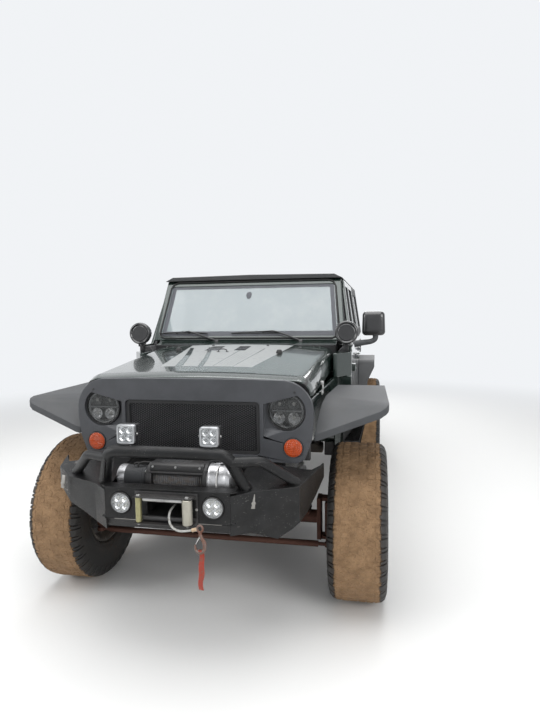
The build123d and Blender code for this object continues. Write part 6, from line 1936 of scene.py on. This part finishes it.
@dataclass
class FrontFittings:
    """What is fixed to the bumper, hood, cowl and windshield."""

    stops: tuple[tuple[float, float], ...] = ((-385.0, -1160.0), (335.0, -1260.0))
    loop: tuple[float, float] = (-47.0, -1245.0)
    latch_y: float = -1703.0
    wiper_arms: tuple[tuple[float, float, float], ...] = ((412.0, 80.0, 235.0), (-222.0, -494.0, -421.0))

    def build(self) -> None:
        """Makes the fittings."""
        self.bumper()
        self.hood()
        self.latches()
        self.wipers()
        self.shield()
        self.inner_mirror()
        self.mirror()

    def bumper(self) -> None:
        """Weld beads, the scraped seam and the small bent tabs on the bumper."""
        welds = Form()
        for side in SIDES:
            place = Vector((side * 352, -2288, 847))
            welds.pipe([place + polar(27.5, a) for a in turns(40, 41)], 3.2, 6)
        welds.wave(0.9, 140.0).piece("bumper_welds", COATED, "bumper")
        tabs = Form()
        for place, lean in (((388, -2312, 752), 0.10), ((-615, -2235, 770), -0.35)):
            at = basis(place, (lean, -1.0, 0.15))
            tabs.box(-12.5, 0, -3, 12.5, 66, 3, 1.5, at).box(-15, 20, -5, 15, 30, 5, 1.5, at)
        tabs.piece("bumper_bent_tabs", SCRAPED, "bumper")
        seam = Form().pipe([(-258, -2381.5, 694.5), (20, -2382.2, 693.8), (262, -2381.5, 694.5)], 1.8, 8)
        seam.wave(0.4, 70.0).piece("bumper_scraped_seam", SCRAPED, "bumper")

    def hood(self) -> None:
        """The two rubber bumpers, the footman loop, washer nozzles and hinge bolts on the hood's body."""
        stops = Form()
        for x, y in self.stops:
            stops.lathe((0, 21, 10, 19.5, 21, 15, 23.5, 11), shifted(HERE, x, y, hood_z(x, y) - 1), 24)
        stops.piece("hood_rubber_stops", SEAL, "paint", body="hood")
        x, y = self.loop
        top = hood_z(x, y)
        bow = [(x + across, y, top + rise) for across, rise in ((-28, 0), (-25, 13), (0, 19), (25, 13), (28, 0))]
        loop = Form().pipe(smooth_path(bow, 4), 3.6, 8)
        for foot in (x + 31, x - 31):
            loop.box(foot - 8, y - 8, top - 1, foot + 8, y + 8, top + 3, 1)
        loop.piece("hood_footman_loop", BLACK, "paint", body="hood")
        nozzle = Form()
        for x in (-200, 200):
            nozzle.ball((x, -955, hood_z(x, -955)), 11, 0.6)
        nozzle.piece("hood_washer_nozzles", BLACK, "paint", body="hood")
        spots = [Spot((side * x, -925, hood_z(x, -925) - 0.5), UP, 0.4) for side in SIDES for x in (520, 565)]
        scattered("hood_hinge_bolts", bolt(7, 6), spots, PAINT, "paint", "hood")

    def latches(self) -> None:
        """The two side latches: a bracket on the fender, a strap and its catch on the hood's edge."""
        y = self.latch_y
        form = Form().box(647.5, y - 20, 1186.5, 656, y + 20, 1210, 2).box(650.5, y - 13, 1198, 660, y + 13, 1248, 3)
        form.box(642, y - 17, 1240, 660.5, y + 17, 1262, 4)
        form.pipe([(656, y - 19.5, 1198), (656, y + 19.5, 1198)], 4.5, 12)
        form.mirrored().piece("hood_latch_sets", ZINC, "steel", ["hood_latches"])

    def wipers(self) -> None:
        """Arms with pivots and caps, and blades with their frames."""
        arms, blades, rubber = Form(), Form(), Form()
        for pivot, middle, bend_x in self.wiper_arms:
            root = Vector((pivot, -800, 1424))
            arms.lathe((-4, 15, 10, 15, 14, 10.5), basis(root, (0, -0.6, 0.8)), 20)
            mid, bend = shield_point(middle, 54, 20), shield_point(bend_x, 50, 26)
            bow = [root + Vector((0, -4, 8)), bend, (bend + mid) / 2 + Vector((0, -4, 4)), mid]
            arms.pipe(smooth_path(bow), lambda share: 6.8 - 3.0 * share, 10)
            arms.slab(10, 6, -4, 5, 2, basis(mid, ON_SHIELD))
            blade = [shield_point(middle + across, rise, out) for across, rise, out in
                     ((-193, 46, 14), (-100, 51, 17.5), (0, 53, 19), (100, 51, 17.5), (193, 46, 14))]
            blades.pipe(smooth_path(blade, 5), lambda share: 2.8 + 1.4 * math.sin(math.pi * share), 8)
            rubber.pipe([shield_point(middle + across, 46, 7.5) for across in (-195, 195)], 3, 8)
            for offset in (-150, -50, 50, 150):
                blades.slab(6.5, 3, -6, 3, 1, basis(shield_point(middle + offset, 48.5, 14.5), ON_SHIELD))
        arms.piece("wiper_arms", BLACK, "trim", ["wipers"])
        blades.piece("wiper_blade_frames", BLACK, "trim")
        rubber.piece("wiper_rubbers", SEAL, "trim")

    def shield(self) -> None:
        """The windshield's seal, its dark printed border and the sensor cover."""
        corners = [shield_point(x, rise, 4) for x, rise in ((-688, 10), (688, 10), (646, 492), (-646, 492))]
        path = []
        for index, corner in enumerate(corners):
            back, on = ((other - corner).normalized() for other in (corners[index - 1], corners[(index + 1) % 4]))
            path += [corner + back * 50, corner + back * 15 + on * 15, corner + on * 50]
        Form().pipe([*path, path[0]], 6.5, 8).piece("shield_seal", SEAL, "trim")
        outer = ((-672, 30), (672, 30), (636, 472), (-636, 472))
        inner = ((-640, 70), (640, 70), (608, 436), (-608, 436))
        rows = [[shield_point(x, rise, out) for x, rise in ring]
                for ring, out in ((outer, -5.2), (outer, -4), (inner, -4), (inner, -5.2))]
        Form().skin(rows, loop=True).piece("shield_printed_border", PRINTED, "trim")
        rows = [[shield_point(-12 + x * half, rise, out) for x, out in ((-1, -5), (-0.6, -2.2), (0.6, -2.2), (1, -5))]
                for rise, half in ((402, 11), (394, 19), (376, 22), (356, 17), (344, 8))]
        Form().skin(rows).piece("shield_sensor_pad", PRINTED, "trim")

    def inner_mirror(self) -> None:
        """The inner mirror on its stalk, and the sun visors."""
        stalk = Form().pipe([shield_point(10, 455, -12), shield_point(8, 415, -45)], 7, 10)
        stalk.box(-28, -18, -4, 28, 45, 12, 6, basis(shield_point(10, 440, -14), (0, 0.89, -0.46)))
        stalk.piece("inner_mirror_stalk", BLACK, "trim")
        at = basis(shield_point(6, 388, -60), (0.0, -1.0, 0.10))
        outline = rounded(118, 31, 26, 6)
        rows = stacked(*((outline, z, size) for size, z in ((0.82, 20), (0.96, 13), (1.0, 4), (1.0, -4), (0.95, -10))))
        Form().skin(rows, at).piece("inner_mirror_shell", BLACK, "trim")
        glass = Form().glinting_prism(rounded(108, 25, 21, 6), 3.5, shifted(at, 0, 0, -12.5), 0.8, 1)
        glass.piece("inner_mirror_glass", MIRROR, "trim")
        visors = Form()
        for side in SIDES:
            visors.slab(190, 70, -8, 8, 6, basis(shield_point(side * 335, 405, -85), (0.0, 0.55, -0.83)), 3)
        visors.piece("sun_visors", INNER, "dash")

    def mirror(self) -> None:
        """The left door mirror: a rounded shell, its glass and the arm to the door."""
        at, door = basis((931.5, -638, 1548), AHEAD), body_of("door_mirror")
        rows = []
        for z, size in ((-38.5, 0.93), (-37, 0.965), (-30, 0.985), (2, 1.0), (16, 0.985), (28, 0.93), (35.5, 0.83),
                        (39.5, 0.66), (39.8, 0.3)):
            rows.append([Vector((p.x * size * (0.965 - 0.00038 * p.y), p.y * size, z)) for p in rounded(85, 89, 30, 6)])
        Form().skin(rows, at).piece("door_mirror_shell", POD_COVER, "trim", ["door_mirror"], door)
        glass = Form().glinting_prism(rounded(77, 80, 24, 6), 2.2, shifted(at, 0, 0, -39.8), 0.6, 1)
        glass.piece("door_mirror_glass", MIRROR, "trim", body=door)
        bow = [(x, -640, z) for x, z in ((790, 1395), (850, 1406), (915, 1416), (943, 1436), (945, 1475))]
        arm = Form().pipe(smooth_path(bow, 5), lambda share: 26 - 7 * math.sin(math.pi * share * 0.8), 14)
        arm.piece("door_mirror_arm", GRAINED, "trim", body=door)


@dataclass(frozen=True)
class Door:
    """One door's handle, hinge bolts, inner card, pull handle and seal, from where it starts and ends."""

    node: str
    side: int
    front: float
    rear: float
    foot: float

    def build(self) -> None:
        """Makes the door's fittings on its body."""
        body = body_of(self.node)
        self.handle(body)
        spots = [Spot((self.side * 808.8, self.front + 55, z + dz), (self.side, 0, 0), z * MM)
                 for z in (883, 1250) for dz in (-16, 16)]
        scattered(f"{self.node}_hinge_bolts", bolt(6.8, 5), spots, PAINT, "paint", body)
        self.card(body)
        x = self.side * 780
        strip = Form().box(x - 3.5, self.front + 50, 1388.5, x + 3.5, self.rear - 50, 1396.5, 2)
        strip.piece(f"{self.node}_belt_strip", SEAL, "paint", body=body)

    def handle(self, body: str) -> None:
        """The outer handle with its lock, on a shallow plate.

        Args:
            body: the door's moving body.
        """
        side, x, y, z = self.side, self.side * 785, self.rear - 105, 1262
        grip = Form().slab(60, 20, 0, 6, 3.5, basis((x - side, y, z), (side, 0, 0)), 3)
        bow = [(x + side * out, y + along, z) for out, along in ((0, -48), (18, -34), (21, 0), (18, 30), (0, 40))]
        grip.pipe(smooth_path(bow, 5), 8.5, 10).piece(f"{self.node}_handle", SATIN, "paint", body=body)
        lock = Form().lathe((0, 11, 11, 10.5, 13.5, 8, 12.5, 0), basis((x + side * 4, y + 52, z), (side, 0, 0)), 24)
        lock.piece(f"{self.node}_lock", ZINC, "paint", body=body)

    def card(self, body: str) -> None:
        """The inner card with an arm rest, a pull and a speaker ring.

        Args:
            body: the door's moving body.
        """
        middle, half = (self.front + self.foot) / 2 + 20, (self.foot - self.front) / 2 - 70
        at = basis((self.side * 719.5, middle, 1020), (-self.side, 0, 0))
        card = Form().glinting_prism(rounded(half, 265, 60), 10, at, 3).box(-half * 0.62, 35, 6, half * 0.50, 85, 48, 12, at, 3)
        card.piece(f"{self.node}_card", INNER, "dash", body=body)
        ring = Form().lathe((8, 52, 16, 55, 18, 66, 14, 72, 8, 73), shifted(at, 0, -150), 36, True)
        ring.piece(f"{self.node}_speaker_ring", BLACK, "dash", body=body)
        pull = ((0.55, 8), (0.52, 28), (0.3, 34), (0.08, 28), (0.05, 8))
        bow = [at @ Vector((half * share, 140, out)) for share, out in pull]
        Form().pipe(smooth_path(bow, 5), 7.5, 10).piece(f"{self.node}_pull", GRIP, "dash", body=body)


DOORS = (
    Door("front_door_left", 1, -905.0, 5.0, 5.0), Door("front_door_right", -1, -905.0, 5.0, 5.0),
    Door("rear_door_left", 1, 39.0, 824.0, 709.0), Door("rear_door_right", -1, 39.0, 824.0, 709.0),
)


@dataclass(frozen=True)
class Cushion:
    """A crowned cushion with sewn channels across it. Its frame's Z is its soft side."""

    name: str
    at: Matrix
    half: tuple[float, float, float]
    puff: float
    channels: int
    stands_for: tuple[str, ...] = ()
    along: int = 30
    across: int = 22
    thick: int = 3

    def build(self) -> None:
        """Makes the cushion and its seams."""
        rows = []
        for v in (-1.0 + 2.0 * i / self.along for i in range(self.along + 1)):
            wide = [-1.0 + 2.0 * j / self.across for j in range(self.across + 1)]
            deep = [1.0 - 2.0 * j / self.thick for j in range(1, self.thick)]
            row = [(u, 1.0) for u in wide] + [(1.0, face) for face in deep]
            row += [(-u, -1.0) for u in wide] + [(-1.0, -face) for face in deep]
            rows.append([self.puffed(u, v, face) for u, face in row])
        made = Form().skin(rows, self.at).piece(self.name, SEAT_CLOTH, "seat", self.stands_for, angle=60.0)
        seams = Form()
        for v in (-1.0 + 2.0 * number / (self.channels + 1) for number in range(1, self.channels + 1)):
            line = [self.puffed(-0.62 + 1.24 * k / 12, v) for k in range(13)]
            seams.pipe([self.at @ (place + UP * 0.8) for place in line], 1.6, 5)
        for u in (-0.64, 0.64):
            line = [self.puffed(u, -0.92 + 1.84 * k / 20) for k in range(21)]
            seams.pipe([self.at @ (place + UP * 1.2) for place in line], 2.6, 6)
        seams.piece(f"{self.name}_seams", SEAT_EDGE, "seat")

    def puffed(self, u: float, v: float, face: float = 1.0) -> Vector:
        """A place on the cushion's skin.

        Args:
            u: the share across, from -1 to 1.
            v: the share along, from -1 to 1.
            face: 1 on the soft side and -1 on the back.

        Returns:
            The place in the cushion's frame.
        """
        u_, v_ = abs(u), abs(v)
        pull, draw = 1.0 - 0.035 * (1.0 - u_ ** 4) * v_ ** 6, 1.0 - 0.035 * (1.0 - v_ ** 4) * u_ ** 6
        corner = 1.0 - 0.05 * (u_ * v_) ** 5
        z = self.half[2] * face * (1.0 - 0.62 * max(u_, v_) ** 9)
        if face > 0:
            side = held_in((u_ - 0.58) / 0.16)
            seam = abs(math.sin((v + 1.0) / 2.0 * (self.channels + 1) * math.pi)) ** 0.35
            crown = (1.0 - u_ ** 3.2) * (1.0 - v_ ** 4)
            z += self.puff * crown * face * (0.72 + 0.28 * seam * (1.0 - side))
            z += (16 * side * (1.0 - u_ ** 10) - 10 * math.exp(-((u_ - 0.64) / 0.03) ** 2)) * (1.0 - v_ ** 8)
        return Vector((self.half[0] * u * draw * corner, self.half[1] * v * pull * corner, z))


@dataclass
class Cabin:
    """Seats, dash fittings, the steering wheel's details and the roll bar's padding."""

    seat_x: float = 370.0
    wheel_centre: tuple[float, float, float] = (370.0, -193.0, 1300.0)
    column_rise: float = math.radians(24.0)

    def build(self) -> None:
        """Makes everything inside the cab."""
        for hand in Hand:
            self.front_seat(hand)
        self.rear_seat()
        self.dash()
        self.controls()
        self.wheel()
        self.padding()

    def front_seat(self, hand: Hand) -> None:
        """One front seat: seat cushion, back, head rest with posts, shell and rails.

        Args:
            hand: its side.
        """
        x = hand.value * self.seat_x
        back = (0.0, -1.0, 0.19)
        for name, place, out, half, puff, channels in (
            ("seat_cushion", (115, 1030), (0.0, 0.055, 1.0), (235.0, 205.0, 38.0), 22.0, 4),
            ("seat_back", (392, 1345), back, (225.0, 235.0, 36.0), 24.0, 5),
            ("head_rest", (452, 1625), back, (125.0, 36.0, 22.0), 12.0, 0),
        ):
            stands_for = hand.first("front_seats") if name == "seat_cushion" else ()
            Cushion(hand.named(name), basis((x, *place), out, LEFT), half, puff, channels, stands_for).build()
        shell = Form().box(x - 225, 385, 1060, x + 225, 430, 1560, 18, steps=3)
        shell.box(x - 210, -60, 962, x + 210, 380, 996, 12).piece(hand.named("seat_shell"), SEAT_EDGE, "seat")
        metal = Form()
        for post in (x - 55, x + 55):
            metal.pipe([(post, 425, 1520), (post, 447, 1610)], 6, 10)
        for rail in (x - 165, x + 165):
            metal.box(rail - 16, -20, 760.5, rail + 16, 375, 785, 3)
            for y in (20, 330):
                metal.box(rail - 12, y - 20, 785, rail + 12, y + 20, 965, 3)
        metal.piece(hand.named("seat_frame"), BLACK, "seat")

    def rear_seat(self) -> None:
        """The rear bench with its cushion, back and plinth."""
        for number, x, stands_for in ((1, -262, ("rear_seat",)), (2, 262, ())):
            at, back = basis((x, 935, 975), (0.0, 0.09, 1.0), LEFT), basis((x, 1180, 1265), (0.0, -1.0, 0.18), LEFT)
            Cushion(f"rear_cushion_{number}", at, (250.0, 182.0, 45.0), 20.0, 4, stands_for).build()
            Cushion(f"rear_back_{number}", back, (250.0, 222.0, 40.0), 20.0, 5).build()
        plinth = Form().box(-475, 822, 760.5, 475, 1252, 905, 10).box(-510, 775, 902, 510, 1110, 932, 12)
        plinth.box(-510, 1215, 925, 510, 1282, 1470, 14).piece("rear_seat_plinth", SEAT_EDGE, "seat")

    def dash(self) -> None:
        """Vents, the instrument hood, the dials and the radio."""
        vents, fins = Form(), Form()
        for x in (-585, -155, 155, 600):
            at = basis((x, -439.5, 1352), (0.0, 1.0, 0.0))
            vents.lathe((-6, 30, 4, 31, 6, 37, 2, 41, -6, 41), at, 32, True)
            for y in (8 * step for step in range(-3, 4)):
                half = math.sqrt(30 ** 2 - y ** 2)
                fins.box(-half, y - 1, -4, half, y + 1, 1, 0, at)
        vents.piece("dash_vent_rings", BRIGHT, "dash")
        fins.piece("dash_vent_fins", BLACK, "dash")
        arch = [(155 * math.cos(a), 60 * math.sin(a)) for a in turns(28, 15)]
        rows = [[(370 + px * size, y, 1402 + pz * size) for px, pz in arch] for y, size in
                ((-560, 0.55), (-500, 0.88), (-440, 1.0), (-425, 1.0), (-440, 0.93), (-500, 0.86))]
        hood = Form().skin(rows, ring=False, caps=False).piece("instrument_hood", INNER, "dash")
        hood.modifiers.new("wall", "SOLIDIFY").thickness = 5 * MM
        flatten(hood)
        dials = Form()
        for x in (310, 430):
            dials.lathe((0, 44, 6, 44, 6, 40, 3, 38, 3, 0), basis((x, -451.5, 1402), (0.0, 1.0, 0.25)), 32)
        dials.piece("instrument_dials", BLACK, "dash")
        radio = Form().box(-95, -456, 1200, 95, -443, 1300, 4).box(-70, -444, 1222, 70, -440.5, 1290, 2)
        radio.piece("dash_radio", BLACK, "dash")

    def controls(self) -> None:
        """Knobs, the grab handle, levers and the console's lid."""
        knobs = [Spot((x, -446.5, 1150), (0.0, 1.0, 0.0)) for x in (-65, 0, 65)]
        knobs += [Spot((x, -443, 1211), (0.0, 1.0, 0.0), 0.0, 0.5) for x in (-80, 80)]
        scattered("dash_knobs", Form().lathe((0, 18, 12, 17, 16, 13), steps=20), knobs, BLACK, "dash")
        bow = ((-500, -452, 1310), (-490, -425, 1312), (-400, -418, 1314), (-310, -425, 1312), (-300, -452, 1310))
        Form().pipe(smooth_path(bow, 5), 10, 12).piece("dash_grab_handle", GRIP, "dash")
        levers = Form().pipe([(30, -300, 1005), (32, -285, 1090)], 7, 10).ball((32, -283, 1105), 24, 0.9)
        levers.pipe([(-45, -250, 1005), (-45, -240, 1070)], 6, 10).ball((-45, -239, 1080), 19, 0.9)
        levers.piece("console_levers", GRIP, "dash")
        trays = Form().box(-85, -150, 1008, 85, 200, 1018, 4).box(-95, 220, 1006, 95, 460, 1030, 10, steps=3)
        trays.piece("console_lid", INNER, "dash")

    def wheel(self) -> None:
        """Spoke trims and the blank hub cover on the steering wheel."""
        out = Vector((0.0, math.cos(self.column_rise), math.sin(self.column_rise)))
        at, body = basis(self.wheel_centre, out, LEFT), body_of("steering_wheel")
        hub = Form().lathe((4, 58, 14, 56, 20, 48, 23, 30, 24, 0), at, 40)
        hub.piece("steering_hub_cover", INNER, "dash", body=body)
        trim = Form()
        for turn in (0.0, math.pi, -math.pi / 2):
            trim.box(62, -11, 4.5, 160, 11, 8.5, 1.5, at @ Matrix.Rotation(turn, 4, "Z"))
        trim.piece("steering_spoke_trims", BRIGHT, "dash", body=body)

    def padding(self) -> None:
        """Cloth padding on the roll bar."""
        pads = Form().pipe([(-450, 577, 1830), (0, 577, 1830.5), (450, 577, 1830)], 40, 20)
        for x in (580, -580):
            for start, end in ((-400, 500), (660, 1500)):
                pads.pipe([(x, start, 1820), (x, end, 1820)], 39, 20)
        made = pads.wave(1.5, 30.0).piece("roll_bar_pads", SEAT_EDGE, "seat")


@dataclass(frozen=True)
class Corner:
    """The spring and shock of one end's two corners, and how far the shock's foot is shifted to the rear."""

    y: float
    seat: float
    top: float
    shift: float
    spring_x: float = 516.0
    shock_x: float = 530.0
    inner_x: float = 430.0
    coil: float = 54.5
    rounds: float = 6.0
    steps: int = 132


@dataclass
class Underside:
    """Coil springs, shock absorbers and the frame's bolts."""

    corners: tuple[Corner, ...] = (Corner(FRONT_Y, 50.0, 690.0, 110.0), Corner(REAR_Y, 54.0, 700.0, -130.0))

    def build(self) -> None:
        """Makes the running gear's details."""
        self.springs()
        self.shocks()
        spots = [Spot((side * 430.2, y, 640), (side, 0.0, 0.0), y * MM)
                 for side in SIDES for y in (-1200, -700, -100, 500, 1000, 1700)]
        scattered("frame_bolts", bolt(8.5, 7), spots, SHADE_DARKENED_RUST, "frame")

    def springs(self) -> None:
        """Four coil springs with their seats."""
        coils, seats = Form(), Form()
        for end in self.corners:
            low = AXLE_Z + end.seat
            for x in (end.spring_x, -end.spring_x):
                path = []
                for share in (step / end.steps for step in range(end.steps + 1)):
                    z = low + 7.5 + (end.top - low - 15) * share
                    path.append(Vector((x, end.y, 0)) + polar(end.coil, end.rounds * math.tau * share, z))
                coils.pipe(path, 7, 9)
                for z in (low, end.top - 4):
                    seats.lathe((0, 60, 4, 60), shifted(HERE, x, end.y, z), 32)
                near, far = sorted((math.copysign(end.inner_x, x), math.copysign(578, x)))
                seats.box(near, end.y - 60, end.top, far, end.y + 60, end.top + 12, 2)
        coils.piece("coil_springs", SPRING_PAINT, "frame", ["springs_and_shocks"])
        seats.piece("spring_seats", CHASSIS, "frame")

    def shocks(self) -> None:
        """Four shock absorbers: body, rod, dust cover and eyes with brackets."""
        tubes, rods, brackets = Form(), Form(), Form()
        for end in self.corners:
            for side in SIDES:
                x = side * end.shock_x
                foot = Vector((x, end.y + end.shift, AXLE_Z - 40))
                head = Vector((x - side * 30, end.y + end.shift * 1.25, end.top + 16))
                at, length = basis(foot, head - foot), (head - foot).length
                tubes.lathe((12, 20, 18, 23.5, length * 0.52, 23.5, length * 0.53, 20), at, 28)
                tubes.lathe((length * 0.6, 25.5, length - 10, 25.5, length - 4, 18), at, 28)
                rods.pipe([at @ Vector((0, 0, length * 0.50)), at @ Vector((0, 0, length * 0.66))], 8.5)
                for eye in (foot, head):
                    rods.lathe((-20, 14, 20, 14), basis(eye, (0, 1, 0)), 16)
                low, high = sorted((side * end.inner_x, x - side * 4))
                brackets.box(low, head.y - 22, end.top - 30, high, head.y + 22, end.top - 6, 2)
                low, high = sorted((end.y + end.shift * 0.37, foot.y))
                brackets.box(x - 22, low, AXLE_Z - 38, x + 22, high, AXLE_Z - 14, 2)
        tubes.piece("shock_tubes", SHOCK_PAINT, "frame")
        rods.piece("shock_rods", ZINC, "frame")
        brackets.piece("shock_brackets", CHASSIS, "frame")


@dataclass
class Rear:
    """Tail lamps, the tailgate's fittings, the bumper's bolts, the top's seam and the fuel filler."""

    lamp_x: float = 685.0
    lamp_z: float = 1105.0
    filler: tuple[float, float, float] = (784.0, 1585.0, 1235.0)

    def build(self) -> None:
        """Makes the fittings at the tail."""
        self.lamps()
        self.gate()
        self.bumper()
        self.top()

    def lamps(self) -> None:
        """Two tail lamps with their cases, lenses and reversing windows."""
        case, lens, window, guard = Form(), Form(), Form(), Form()
        outline = rounded(54, 89, 14)
        for side in SIDES:
            at = basis((side * self.lamp_x, TAIL_Y, self.lamp_z), (0.0, 1.0, 0.0))
            case.slab(59.5, 94.5, 0, 26, 6, at, 3)
            lens.skin(stacked((outline, 25.5), (outline, 36, 0.985), (outline, 42.5, 0.95), (outline, 46.5, 0.86)), at)
            window.box(-40, -62, 44, 40, -30, 47.5, 1.5, at)
            guard.box(-54.5, -14, 45, 54.5, -9.5, 47.5, 1, at).box(-54.5, 18, 45, 54.5, 21.5, 47.5, 1, at)
        case.piece("tail_lamp_cases", BLACK, "red", ["tail_lights"])
        lens.piece("tail_lamp_lenses", RED, "red")
        window.piece("tail_lamp_windows", WARM_WHITE, "red")
        guard.piece("tail_lamp_ribs", RED, "red")

    def gate(self) -> None:
        """The tailgate's handle, hinge bolts, the spare's carrier bolts, the blank plate and ribs."""
        body, y, back = body_of("tailgate"), TAIL_Y, (0.0, 1.0, 0.0)
        handle = Form().box(395, y + 8, 1205, 505, y + 20, 1255, 5, steps=3)
        handle.box(410, y + 18, 1216, 490, y + 32, 1236, 5, steps=3)
        handle.piece("tailgate_handle", BLACK, "paint", body=body)
        spots = [Spot((-560 + x, y + 25.5, z), back, x * 0.02) for z in (930, 1270) for x in (30, 70, 105)]
        scattered("tailgate_hinge_bolts", bolt(8.5, 7), spots, PAINT, "paint", body)
        carrier = [Spot((20 + x, y + 39.5, 1150 + z), back, x * MM) for x in (-155, 155) for z in (-105, 105)]
        scattered("spare_carrier_bolts", bolt(10, 9), carrier, ZINC, "paint", body)
        plate = Form().box(425, y + 9.5, 875, 545, y + 13.5, 955, 1.5)
        plate.piece("blank_plate", SATIN, "paint", body=body)
        grooves = Form()
        for z in (800 + 120 * number for number in range(4)):
            grooves.box(-500, y + 8.5, z, -200, y + 12.5, z + 10, 2)
        grooves.piece("tailgate_ribs", PAINT, "paint", body=body)

    def bumper(self) -> None:
        """Bolts and reflectors on the rear bumper."""
        places = [(side * x, x * 0.007) for side in SIDES for x in (300, 360, 460, 620)]
        spots = [Spot((x, 2196.5, 648), (0.0, 1.0, 0.0), roll) for x, roll in places]
        scattered("rear_bumper_bolts", bolt(9.5, 8), spots, ZINC, "bumper")
        reflect = Form()
        for x in (550, -550):
            reflect.box(x - 45, 2196, 660, x + 45, 2200, 678, 1.5)
        reflect.piece("rear_reflectors", RED, "bumper")

    def top(self) -> None:
        """The seam of the hard top's panels and the fuel filler with its screws."""
        seams = Form()
        for side in SIDES:
            seams.pipe([(side * 634, -10, 1920.2), (side * 80, -10, 1927.1)], 2.8, 12)
        seams.piece("top_panel_seam", SEAL, "hardtop")
        x, y, z = self.filler
        lid = Form().lathe((0, 78, 6, 76, 9, 70, 5.5, 64, 5.5, 58, 10, 52, 11, 0), basis(self.filler, LEFT), 40)
        lid.piece("fuel_filler_lid", BLACK, "paint")
        screws = [Spot((x + 6.5, y + 70.5 * math.cos(a), z + 70.5 * math.sin(a)), LEFT, a) for a in turns(8)]
        scattered("fuel_filler_screws", bolt(3.2, 3), screws, ZINC, "paint")


# Studio


@dataclass
class Studio:
    """The pale floor, the lamps and the camera."""

    eye: tuple[float, float, float] = (0.921, -4.564, 1.652)
    yaw: float = 11.089
    pitch: float = 5.406
    roll: float = -0.79
    lens: float = 26.14

    def build(self) -> None:
        """Sets the scene."""
        self.floor()
        self.world()
        self.lamps()
        self.camera()

    def floor(self) -> None:
        """A wide floor that shows shadows on a pale ground."""
        form = Form()
        bmesh.ops.create_grid(form.mesh, x_segments=1, y_segments=1, size=60.0)
        mesh = form.done("floor")
        shader = Shader("floor_surface")
        cloud = shader.noise(0.8, 2.0)
        shader.set(base_color=shader.blend(cloud * 0.2, (0.8, 0.8, 0.79), (0.77, 0.77, 0.765)), roughness=0.9)
        across, along, _ = shader.axes()
        away = (across * across + along * along).power(0.5).step(3.4, 8.5)
        strength = shader.shown_pale(SHOWN, LIGHT)
        pale = shader.node("ShaderNodeEmission", inputs={"Color": PALE_SKY, "Strength": strength})
        mixed = shader.node("ShaderNodeMixShader", inputs={0: away, 1: shader.surface.outputs[0], 2: pale.outputs[0]})
        shader.feed(shader.tree.nodes["Material Output"].inputs["Surface"], mixed.outputs[0])
        mesh.materials.append(shader.material)
        floor = stand("floor", mesh)
        floor.location.z = -0.0005

    def world(self) -> None:
        """A pale world that lights softly and looks nearly white."""
        world = bpy.data.worlds.new("world")
        bpy.context.scene.world = world
        shader = Shader("world", world)
        background = shader.tree.nodes["Background"]
        shader.feed(background.inputs[0], PALE_SKY)
        shader.feed(background.inputs[1], shader.shown_pale(SHOWN, LIGHT))

    def lamps(self) -> None:
        """Large soft lamps: overhead, to the front left and to the front right."""
        for name, place, size, power in (
            ("overhead", (0.0, -1.2, 5.2), (4.5, 7.0), 330.0),
            ("front_left", (4.6, -5.6, 3.2), (3.0, 2.6), 170.0),
            ("front_right", (-5.2, -4.2, 3.4), (3.0, 2.6), 150.0),
            ("behind", (0.5, 6.0, 3.6), (4.0, 2.4), 120.0),
        ):
            light = bpy.data.lights.new(name, "AREA")
            light.shape, light.energy = "RECTANGLE", power
            light.size, light.size_y = size
            lamp = stand(name, light)
            lamp.location = place
            lamp.rotation_euler = (Vector((0.0, -0.4, 0.9)) - Vector(place)).to_track_quat("-Z", "Y").to_euler()

    def camera(self) -> None:
        """The camera at the photograph's place and angle."""
        data = bpy.data.cameras.new("camera")
        data.lens, data.sensor_width = self.lens, 36.0
        camera = stand("camera", data)
        yaw, roll = (Matrix.Rotation(math.radians(angle), 4, "Z") for angle in (self.yaw, self.roll))
        pitch = Matrix.Rotation(math.radians(90.0 - self.pitch), 4, "X")
        camera.matrix_world = Matrix.Translation(self.eye) @ yaw @ pitch @ roll
        bpy.context.scene.camera = camera
        bpy.context.scene.view_settings.view_transform = "Standard"


ASSEMBLIES = (
    Recovery(), Bodywork(), *WHEELS, Grille(), Lamps(), FrontFittings(), *DOORS, Cabin(), Underside(), Rear(), Studio(),
)


def main() -> None:
    """Builds every sub-assembly."""
    logging.basicConfig(level=logging.INFO, format="%(message)s")
    noise.seed_set(NOISE_SEED)
    for assembly in ASSEMBLIES:
        assembly.build()


if __name__ == "__main__":
    main()
